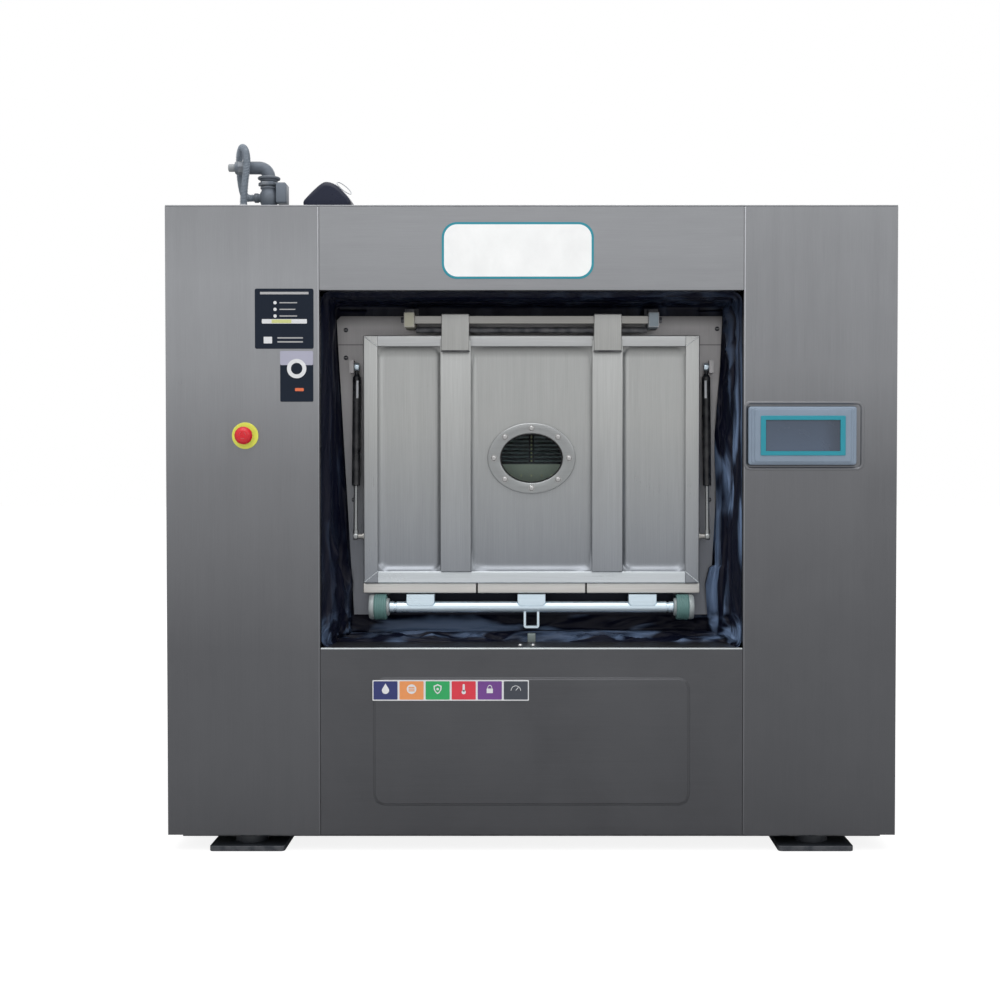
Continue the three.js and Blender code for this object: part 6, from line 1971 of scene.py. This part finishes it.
# Turned pieces of the valve, as radius and height over its foot, or along its pipe from the pipe's end
VALVE_BODY = ((0, 0), (0.029, 0), (0.03, 0.001), (0.03, 0.007), (0.028, 0.008), (0.019, 0.01),
              (0.0175, 0.016), (0.021, 0.024), (0.022, 0.034), (0.021, 0.044), (0.0175, 0.05),
              (0.0175, 0.054), (0.02, 0.055), (0.02, 0.058), (0.0172, 0.06), (0.0172, 0.062))
VALVE_NUT = ((0.017, 0.0605), (0.024, 0.0615), (0.025, 0.063), (0.025, 0.068), (0.024, 0.0695),
             (0.017, 0.0705))
VALVE_COLLAR = ((0.0172, 0.07), (0.02, 0.073), (0.02, 0.076), (0.025, 0.0765), (0.026, 0.078),
                (0.026, 0.0805), (0.0245, 0.082), (0.0165, 0.083))
FOOT_BOLT = ((0.0038, 0.007), (0.0038, 0.0105), (0.0032, 0.0112))
FOOT_BOLT_REACH = 0.0245
PIPE_CAP = ((0.0152, 0.022), (0.0158, 0.021), (0.0158, 0.008), (0.015, 0.007))
PIPE_PLUG = ((0.008, 0.002), (0.009, -0.001), (0.009, -0.0145), (0.008, -0.016))
SPOUT_PROFILE = ((0.0095, 0.01), (0.0112, 0.009), (0.0112, 0.002), (0.0102, 0))
SPOUT_REACH = 0.034
SPOUT_RISE = 0.034

# The elbow: where its tube and its bend start, the bend's radius, the level run and the tube's radii
ELBOW_FOOT = 0.078
ELBOW_START = 0.082
ELBOW_BEND = 0.022
ELBOW_RUN = 0.056
ELBOW_RADII = (0.0148, 0.0142)
PIPE_Z = VALVE_FOOT + ELBOW_START + ELBOW_BEND

# The switch box beside the valve: its ranges from the valve's axis and foot, its lid and its lid's screws
SWITCH_X = (0.019, 0.043)
SWITCH_HALF = 0.022
SWITCH_Z = (0.02, 0.066)
SWITCH_ROUNDING = 0.003
LID_X = (0.02, 0.041)
LID_HALF = 0.0215
LID_Z = (0.0648, 0.0665)
LID_ROUNDING = 0.0008
LID_SCREW = (0.0028, 0.066, 0.0675)
LID_SCREW_PLACE = (0.031, 0.016)


def valve_elbow(shape):
    """The bent pipe on the valve's top, with its cap and plug."""
    x, y = VALVE
    path = [(x, y, VALVE_FOOT + ELBOW_FOOT)]
    for k in range(9):
        across, up = 1 - cos(QUARTER * k / 8), sin(QUARTER * k / 8)
        path.append((x - ELBOW_BEND * across, y, VALVE_FOOT + ELBOW_START + ELBOW_BEND * up))
    path += [(x - ELBOW_BEND - ELBOW_RUN * k / 4, y, PIPE_Z) for k in range(1, 5)]
    shape.tube(path, lambda share: ELBOW_RADII[share >= 0.9], 24, 0)
    end = x - ELBOW_BEND - ELBOW_RUN
    shape.turned(moved(PIPE_CAP, end), "x", (y, PIPE_Z), 8, 0)
    shape.turned(moved(PIPE_PLUG, end), "x", (y, PIPE_Z), 20, 1)


def switch_box(shape):
    x, y = VALVE
    shape.block(off(x, SWITCH_X), about(y, SWITCH_HALF), off(VALVE_FOOT, SWITCH_Z), SWITCH_ROUNDING, 3, 2)
    shape.block(off(x, LID_X), about(y, LID_HALF), off(VALVE_FOOT, LID_Z), LID_ROUNDING, 1, 2)
    radius, low, high = LID_SCREW
    for way in (-1, 1):
        shape.turned(dome(radius, VALVE_FOOT + low, VALVE_FOOT + high, 3), "z",
                     (x + LID_SCREW_PLACE[0], y + way * LID_SCREW_PLACE[1]), 12, 3)


def inlet_valve():
    """A flanged cast body with its nut, collar, elbow, spout for the conduit and switch box."""
    shape = Shape()
    x, y = VALVE
    for profile, sides in ((VALVE_BODY, 36), (VALVE_NUT, 6), (VALVE_COLLAR, 36)):
        shape.turned(moved(profile, VALVE_FOOT), "z", VALVE, sides, 0)
    valve_elbow(shape)
    spout = [(SPOUT_PROFILE[0][0], x), *moved(SPOUT_PROFILE, x - SPOUT_REACH)]
    shape.turned(spout, "x", (y, VALVE_FOOT + SPOUT_RISE), 20, 0)
    switch_box(shape)
    for k in range(4):
        angle = QUARTER * (k + 0.5)
        place = (x + FOOT_BOLT_REACH * cos(angle), y + FOOT_BOLT_REACH * sin(angle))
        shape.turned(moved(FOOT_BOLT, VALVE_FOOT), "z", place, 6, 3)
    make(shape, "inlet_fitting", ["cast_grey", "pipe_cap", "valve_box", "screw_steel"], "cabinet",
         replaces=["inlet_valve"])


CONDUIT_FOOT = Vector((-0.666, -0.528, VALVE_FOOT))
CONDUIT_RIBS = 96
CONDUIT_RADIUS = 0.0079
CONDUIT_RIB = 0.0009
CONDUIT_LEAD = Vector((-0.015, 0, 0))
NIPPLE_PROFILE = ((0.0118, 0), (0.0118, 0.009), (0.0105, 0.01), (0.0105, 0.013), (0.009, 0.014))

# The conduit's way from its foot, in millimetres
CONDUIT_ROUTE = ((0, 0, 0), (0, 0, 20), (3, -1, 62), (8, -1, 108), (3, 8, 138), (-8, 27, 150.5),
                 (-18, 46, 136), (-20, 56, 100), (-15, 54, 66), (-7, 42, 44))
CONDUIT_END = Vector((VALVE[0] - SPOUT_REACH - SEAT_GAP, VALVE[1], VALVE_FOOT + SPOUT_RISE))
PATH_STEPS = 24


def blended(points, knots, at):
    """One step of a curve: each point and the next are mixed by where the place lies between their knots."""
    span = len(knots) - len(points) + 1
    mixed = []
    for i in range(len(points) - 1):
        low, high = knots[i], knots[i + span]
        mixed.append(points[i] * ((high - at) / (high - low)) + points[i + 1] * ((at - low) / (high - low)))
    return mixed


def smooth_path(points, steps):
    """A centripetal curve through points, sampled at equal lengths."""
    points = [2 * points[0] - points[1], *points, 2 * points[-1] - points[-2]]
    knots = [0.0]
    for a, b in zip(points, points[1:]):
        knots.append(knots[-1] + math.sqrt((b - a).length))
    dense = []
    for k in range(1, len(points) - 2):
        near, t = points[k - 1:k + 3], knots[k - 1:k + 3]
        for j in range(PATH_STEPS):
            at = mix(t[1], t[2], j / PATH_STEPS)
            outer = blended(blended(near, t, at), t, at)
            dense.append(blended(outer, t[1:3], at)[0])
    dense.append(points[-2])
    lengths = [0.0]
    for a, b in zip(dense, dense[1:]):
        lengths.append(lengths[-1] + (b - a).length)
    path, k = [], 0
    for j in range(steps + 1):
        goal = lengths[-1] * j / steps
        while k < len(lengths) - 2 and lengths[k + 1] < goal:
            k += 1
        part = (goal - lengths[k]) / max(lengths[k + 1] - lengths[k], TINY)
        path.append(dense[k].lerp(dense[k + 1], min(max(part, 0), 1)))
    return path, lengths[-1]


def conduit():
    """The ribbed conduit, from the cover up, over and into the valve's side."""
    free = [CONDUIT_FOOT + Vector(point) / 1000 for point in CONDUIT_ROUTE]
    path, length = smooth_path([*free, CONDUIT_END + CONDUIT_LEAD, CONDUIT_END], CONDUIT_RIBS * 4)
    shape = Shape()
    turns = TURN * CONDUIT_RIBS
    shape.tube(path, lambda share: CONDUIT_RADIUS + CONDUIT_RIB * cos(turns * share), 18, 0)
    hose = make(shape, "conduit_tube", ["conduit_grey"], "cabinet", replaces=["conduit_hose"],
                smooth=math.radians(80))
    nipple = Shape()
    nipple.turned(moved(NIPPLE_PROFILE, CONDUIT_FOOT.z), "z", CONDUIT_FOOT[:2], 6, 0)
    nipple = make(nipple, "conduit_nipple", ["wire_pale"], "cabinet")


HOOD_X = (-0.527, -0.4155)
HOOD_Y = (-0.55, -0.4)
HOOD_PEAK = (0.053, 0.065)
HOOD_FOOT = TOP_Z + 0.0004

# The hood's outline, as x and height from the foot of its left side, its peak and the foot of its right side
HOOD_LEFT = ((0.006, 0), (0.0015, 0.008), (0, 0.018), (0.008, 0.029))
HOOD_TOP = ((-0.012, -0.005), (0, 0), (0.022, -0.0055))
HOOD_RIGHT = ((-0.007, 0.031), (0, 0.02), (-0.001, 0.009), (-0.006, 0))
HOOD_SWELL_Z = 0.025
HOOD_HEM = (0.003, 0)
HOOD_BACK = HOOD_Y[1] - 0.0005

# The hood's rounded nose: how far its outline draws in, and how far behind its front
HOOD_NOSE = ((0, 0.022), (0.0008, 0.012), (0.003, 0.005), (0.007, 0.0016), (0.013, 0.0004))
LOOP_MIDDLE = Vector((HOOD_X[1] - 0.0175, HOOD_Y[0] + 0.02, TOP_Z + 0.0515))
LOOP_LONG = Vector((0.0155, 0, -0.0135))
LOOP_SHORT = Vector((0.004, 0.012, 0.0045))
LOOP_WIRE = 0.0011


def hood_section(inset):
    """Points of the hood's soft outline, which swells above its foot."""
    left, right = HOOD_X
    corners = []
    peak = (left + HOOD_PEAK[0], HOOD_FOOT + HOOD_PEAK[1], HOOD_TOP)
    for x, z, offsets in ((left, HOOD_FOOT, HOOD_LEFT), peak, (right, HOOD_FOOT, HOOD_RIGHT)):
        corners += [Vector((x + across, z + up, 0)) for across, up in offsets]
    centre = Vector((mix(left, right, 0.5), HOOD_FOOT + HOOD_SWELL_Z, 0))
    points = []
    for point in smooth_path(corners, 44)[0]:
        drawn = point - (point - centre).normalized() * inset
        points.append((drawn.x, max(drawn.y, HOOD_FOOT)))
    return points


def hood():
    """A soft peaked cover, open at its back, with a wire loop on its slope."""
    shape = Shape()
    steps = [*((inset, HOOD_BACK) for inset in HOOD_HEM), *moved(HOOD_NOSE, HOOD_Y[0])]
    rows = [[(x, y, z) for x, z in hood_section(inset)] for inset, y in steps]
    shape.grid(rows)
    shape.add(rows[-1], [list(range(len(rows[-1])))])
    make(shape, "hood_cover", ["hood_dark"], "cabinet", replaces=["vent_hood"],
         smooth=math.radians(50))
    loop = Shape()
    angles = [TURN * k / 36 for k in range(36)]
    ring = [LOOP_MIDDLE + LOOP_LONG * cos(angle) + LOOP_SHORT * sin(angle) for angle in angles]
    loop.tube(ring, LOOP_WIRE, 8, 0, closed=True)
    make(loop, "hood_wire_loop", ["wire_pale"], "cabinet")


class WASHER_OT_top_fittings(bpy.types.Operator):
    """Builds the inlet valve, the conduit and the hood on the top cover"""

    bl_idname = "washer.top_fittings"
    bl_label = "Top fittings"

    def execute(self, context):
        inlet_valve()
        conduit()
        hood()
        return {"FINISHED"}


# Suspension springs, sill catch, drum door beads and other small pieces

SPRING_RADIUS = 0.04
SPRING_WIRE = 0.0068
SPRING_CURLS = 4
SPRING_PLACE = (0.36, 0.33)
CURL_STEPS = 28


def coil_spring(side, hand):
    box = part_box(f"{side}_{hand}_spring")
    middle = centre_of(box)
    x, y = (math.copysign(place, way) for place, way in zip(SPRING_PLACE, middle))
    low, high = box[0].z + SPRING_WIRE, box[1].z - SPRING_WIRE
    path = []
    steps = SPRING_CURLS * CURL_STEPS
    for k in range(steps + 1):
        share = k / steps
        across, along = cos(TURN * SPRING_CURLS * share), sin(TURN * SPRING_CURLS * share)
        path.append((x + SPRING_RADIUS * across, y + SPRING_RADIUS * along, mix(low, high, share)))
    shape = Shape()
    shape.tube(path, SPRING_WIRE, 12, 0)
    coil = make(shape, f"{side}_{hand}_coil", ["spring_paint"], None, replaces=[f"{side}_{hand}_spring"],
                smooth=math.radians(60))
    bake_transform(coil)


class WASHER_OT_springs(bpy.types.Operator):
    """Builds the four suspension springs"""

    bl_idname = "washer.springs"
    bl_label = "Suspension springs"

    def execute(self, context):
        return each_corner(coil_spring)


SILL_DROP = 0.02
SILL_Z = lower_box[1].z - SILL_DROP
RECESS_HALF = -left_box[1].x

# Folds: how wide, how proud, how far short of their sheet's ends, how thick each way, and their roundings
FOLD_REACH = 0.0034
FOLD_PROUD = 0.0003
FOLD_SHORT = 0.001
SILL_FOLD = 0.0045
SIDE_FOLD = 0.002
FOLD_ROUNDINGS = (0.0021, 0.0012)

# The sill's catch, and its two bolts, measured from the front face and the sill
CATCH_HALF = 0.0095
CATCH_Y = (0.1015, 0.1205)
CATCH_HEIGHT = 0.0204
CATCH_ROUNDING = 0.0022
SILL_BOLT_X = (-0.026, 0.0035)
SILL_BOLT_Y = 0.05
SILL_WASHER = (0.0065, 0.0001)
SILL_BOLT = (0.0055, 0.001, 0.004)


def panel_folds(side):
    """The rounded folds where the sheets turn in: along the sill's edge and down both towers, painted lighter
    as painted highlights.
    """
    shape = Shape()
    front = FRONT_Y - FOLD_PROUD
    shape.block(about(0, RECESS_HALF - FOLD_SHORT), (front, FRONT_Y + SILL_FOLD),
                (SILL_Z - SILL_FOLD, SILL_Z + FOLD_PROUD), FOLD_ROUNDINGS[0], 4, 0)
    for way in (-1, 1):
        x = sorted((way * (RECESS_HALF + SKIN_STEP), way * (RECESS_HALF + FOLD_REACH)))
        shape.block(x, (front, FRONT_Y + SIDE_FOLD), (left_box[0].z + FOLD_SHORT, left_box[1].z - FOLD_SHORT),
                    FOLD_ROUNDINGS[1], 3, 1)
    make(shape, f"{side}_panel_folds", ["fold_bright", "fold_steel"], "cabinet", side)


def sill_fittings(side):
    """The sill's catch and two small bolts."""
    shape = Shape()
    catch_z = (SILL_Z, SILL_Z + CATCH_HEIGHT)
    shape.block(about(0, CATCH_HALF), off(FRONT_Y, CATCH_Y), catch_z, CATCH_ROUNDING, 3, 0)
    radius, low, high = SILL_BOLT
    bolt = [(SILL_WASHER[0], SILL_Z + SILL_WASHER[1]), *dome(radius, SILL_Z + low, SILL_Z + high, 4)]
    for x in SILL_BOLT_X:
        shape.turned(bolt, "z", (x, FRONT_Y + SILL_BOLT_Y), 14, 1)
    make(shape, f"{side}_sill_fittings", ["catch_green", "screw_steel"], "cabinet", side)


DRUM_FACE = 0.3545
BEAD_STEP = 1.57
BEAD_ROWS = 21
BEAD_X = (0.0065, 0.285)
BEAD_HEIGHT = 0.0021
DOT_ROWS = 12
DOT_HALF_COUNT = 9
DOT_PITCH = 0.0125

# Studs: radius, how deep they seat and how far they stand out
SEAM_STUD = (0.0026, 0.0005, 0.0022)
SKIN_STUD = (0.0028, 0.0005, 0.0018)

# The studded skin: its inner and outer radius, and in degrees its upper and lower edge and its rows of studs
SKIN_RADII = (DRUM_FACE - 0.001, DRUM_FACE + 0.0014)
SKIN_EDGES = (0.9, -34.0)
SKIN_STEPS = 24
DOT_ANGLES = (-3.6, -2.6)


def drum_place(radius, degrees):
    angle = math.radians(degrees)
    return -radius * cos(angle), AXIS_Z + radius * sin(angle)


def drum_stud(shape, stud, x, place):
    radius, seat, rise = stud
    y, z = place
    shape.turned(dome(radius, y + seat, y - rise, 3), "y", (x, z), 10, 2)


def drum_beads():
    """Pressed beads on the drum door's upper half, and a studded skin on its lower half."""
    shape = Shape()
    near, far = BEAD_X
    for k in range(1, BEAD_ROWS + 1):
        place = drum_place(DRUM_FACE, BEAD_STEP * (k + 0.4))
        for x in ((-far, -near), (near, far)):
            shape.tube([(mix(x[0], x[1], j / 6), *place) for j in range(7)], BEAD_HEIGHT, 8, 0)
        drum_stud(shape, SEAM_STUD, 0.0, place)
    inner, outer = ([drum_place(radius, mix(*SKIN_EDGES, k / (SKIN_STEPS - 1))) for k in range(SKIN_STEPS)]
                    for radius in SKIN_RADII)
    shape.grid([[(x, y, z) for y, z in inner + outer[::-1]] for x in (-far, far)], wrap=True, finish=1)
    for k in range(DOT_ROWS):
        place = drum_place(SKIN_RADII[1], DOT_ANGLES[0] + DOT_ANGLES[1] * k)
        for j in range(-DOT_HALF_COUNT, DOT_HALF_COUNT + 1):
            drum_stud(shape, SKIN_STUD, DOT_PITCH * (2 * j + k % 2), place)
    make(shape, "drum_door_beads", ["drum_bead", "drum_skin", "drum_stud"], "drum_lid")


class WASHER_OT_small_fittings(bpy.types.Operator):
    """Adds the sill's catch and bolts and the drum door's beads"""

    bl_idname = "washer.small_fittings"
    bl_label = "Small fittings"

    def execute(self, context):
        drum_beads()
        return each_side(panel_folds, sill_fittings)


# Stage: a pale floor, soft lamps and the camera

CAMERA_PLACE = Vector((0, -3.8, 0.87))
CAMERA_PITCH = math.radians(88.8)
CAMERA_LENS = 50.7
CAMERA_SHIFT = -0.0315
FLOOR_HALF = 30.0
FLOOR_GREY = (0.6, 0.6, 0.6, 1)
FLOOR_GLOW = 1.32
FLOOR_GLOW_SHARE = 0.66
SENSOR_WIDTH = 36
LAMP_TARGET = Vector((0, 0, 0.8))

# Lamps: name, place, size and power
LAMPS = (
    ("high_lamp", (-0.6, -2.6, 5.6), 5.0, 110),
    ("side_lamp", (4.8, -4.2, 3.6), 3.2, 30),
    ("back_lamp", (0.4, 3.8, 4.2), 3.4, 70),
)


def stage_floor():
    mesh = bpy.data.meshes.new("floor")
    corners = [(x * FLOOR_HALF, y * FLOOR_HALF, 0) for x, y in ((-1, -1), (1, -1), (1, 1), (-1, 1))]
    mesh.from_pydata(corners, [], [(0, 1, 2, 3)])
    material = bpy.data.materials.new("floor_pale")
    material.use_nodes = True
    tree = material.node_tree
    shader = tree.nodes["Principled BSDF"]
    shader.inputs["Base Color"].default_value = FLOOR_GREY
    shader.inputs["Roughness"].default_value = 0.9
    glow = wire(tree, "Emission", {"Color": (1, 1, 1, 1), "Strength": FLOOR_GLOW})
    rays = wire(tree, "LightPath")
    seen = maths(tree, "MULTIPLY", rays.outputs["Is Camera Ray"], FLOOR_GLOW_SHARE)
    both = wire(tree, "MixShader", {0: seen, 1: shader.outputs[0], 2: glow.outputs[0]})
    tree.links.new(both.outputs[0], tree.nodes["Material Output"].inputs["Surface"])
    mesh.materials.append(material)
    floor = bpy.data.objects.new("floor", mesh)
    bpy.context.scene.collection.objects.link(floor)


def stage_world():
    world = bpy.data.worlds.new("studio")
    bpy.context.scene.world = world
    world.use_nodes = True
    tree = world.node_tree
    background = tree.nodes["Background"]
    way = wire(tree, "SeparateXYZ", {0: wire(tree, "TexCoord").outputs["Generated"]}).outputs["Z"]
    soft = remap(tree, way, -0.3, 0.8, 0.5, 1.12)
    rays = wire(tree, "LightPath")
    plain = maths(tree, "MAXIMUM", rays.outputs["Is Camera Ray"], rays.outputs["Is Transmission Ray"])
    level = wire(tree, "Mix", {"Factor": plain, "A": soft, "B": 1.0}, data_type="FLOAT")
    background.inputs["Color"].default_value = (1, 1, 1, 1)
    tree.links.new(level.outputs[0], background.inputs["Strength"])


def stage_lamps():
    for name, place, size, power in LAMPS:
        lamp = bpy.data.lights.new(name, "AREA")
        lamp.shape = "DISK"
        lamp.size = size
        lamp.energy = power
        holder = bpy.data.objects.new(name, lamp)
        holder.location = place
        holder.rotation_euler = (LAMP_TARGET - Vector(place)).to_track_quat("-Z", "Y").to_euler()
        bpy.context.scene.collection.objects.link(holder)


def stage_camera():
    data = bpy.data.cameras.new("camera")
    data.lens = CAMERA_LENS
    data.sensor_width = SENSOR_WIDTH
    data.shift_x = CAMERA_SHIFT
    camera = bpy.data.objects.new("camera", data)
    camera.location = CAMERA_PLACE
    camera.rotation_euler = (CAMERA_PITCH, 0, 0)
    bpy.context.scene.collection.objects.link(camera)
    bpy.context.scene.camera = camera
    bpy.context.scene.view_settings.view_transform = "Standard"


class WASHER_OT_stage(bpy.types.Operator):
    """Sets up the floor, the lamps, the world and the camera"""

    bl_idname = "washer.stage"
    bl_label = "Stage"

    def execute(self, context):
        stage_camera()
        stage_floor()
        stage_world()
        stage_lamps()
        return {"FINISHED"}


class WASHER_PT_panel(bpy.types.Panel):
    """Sizes, colours and building steps of the washer"""

    bl_label = "Barrier washer"
    bl_idname = "WASHER_PT_panel"
    bl_space_type = "VIEW_3D"
    bl_region_type = "UI"
    bl_category = "Washer"

    def draw(self, context):
        for group in (context.scene.washer_sizes, context.scene.washer_colours):
            column = self.layout.column()
            for name in group.__annotations__:
                column.prop(group, name)
        for operator in OPERATORS:
            self.layout.operator(operator.bl_idname)


OPERATORS = (
    WASHER_OT_stage, WASHER_OT_finishes, WASHER_OT_solids, WASHER_OT_bellows, WASHER_OT_doors,
    WASHER_OT_portholes, WASHER_OT_locks, WASHER_OT_gas_springs, WASHER_OT_tub_fittings, WASHER_OT_stops,
    WASHER_OT_touch_panel, WASHER_OT_plates, WASHER_OT_top_fittings, WASHER_OT_springs,
    WASHER_OT_small_fittings,
)
CLASSES = (WasherSizes, WasherColours, *OPERATORS, WASHER_PT_panel)


def register():
    for item in CLASSES:
        bpy.utils.register_class(item)
    bpy.types.Scene.washer_sizes = bpy.props.PointerProperty(type=WasherSizes)
    bpy.types.Scene.washer_colours = bpy.props.PointerProperty(type=WasherColours)


def unregister():
    del bpy.types.Scene.washer_colours
    del bpy.types.Scene.washer_sizes
    for item in reversed(CLASSES):
        bpy.utils.unregister_class(item)


def main():
    register()
    for operator in OPERATORS:
        family, name = operator.bl_idname.split(".")
        getattr(getattr(bpy.ops, family), name)()


if __name__ == "__main__":
    main()
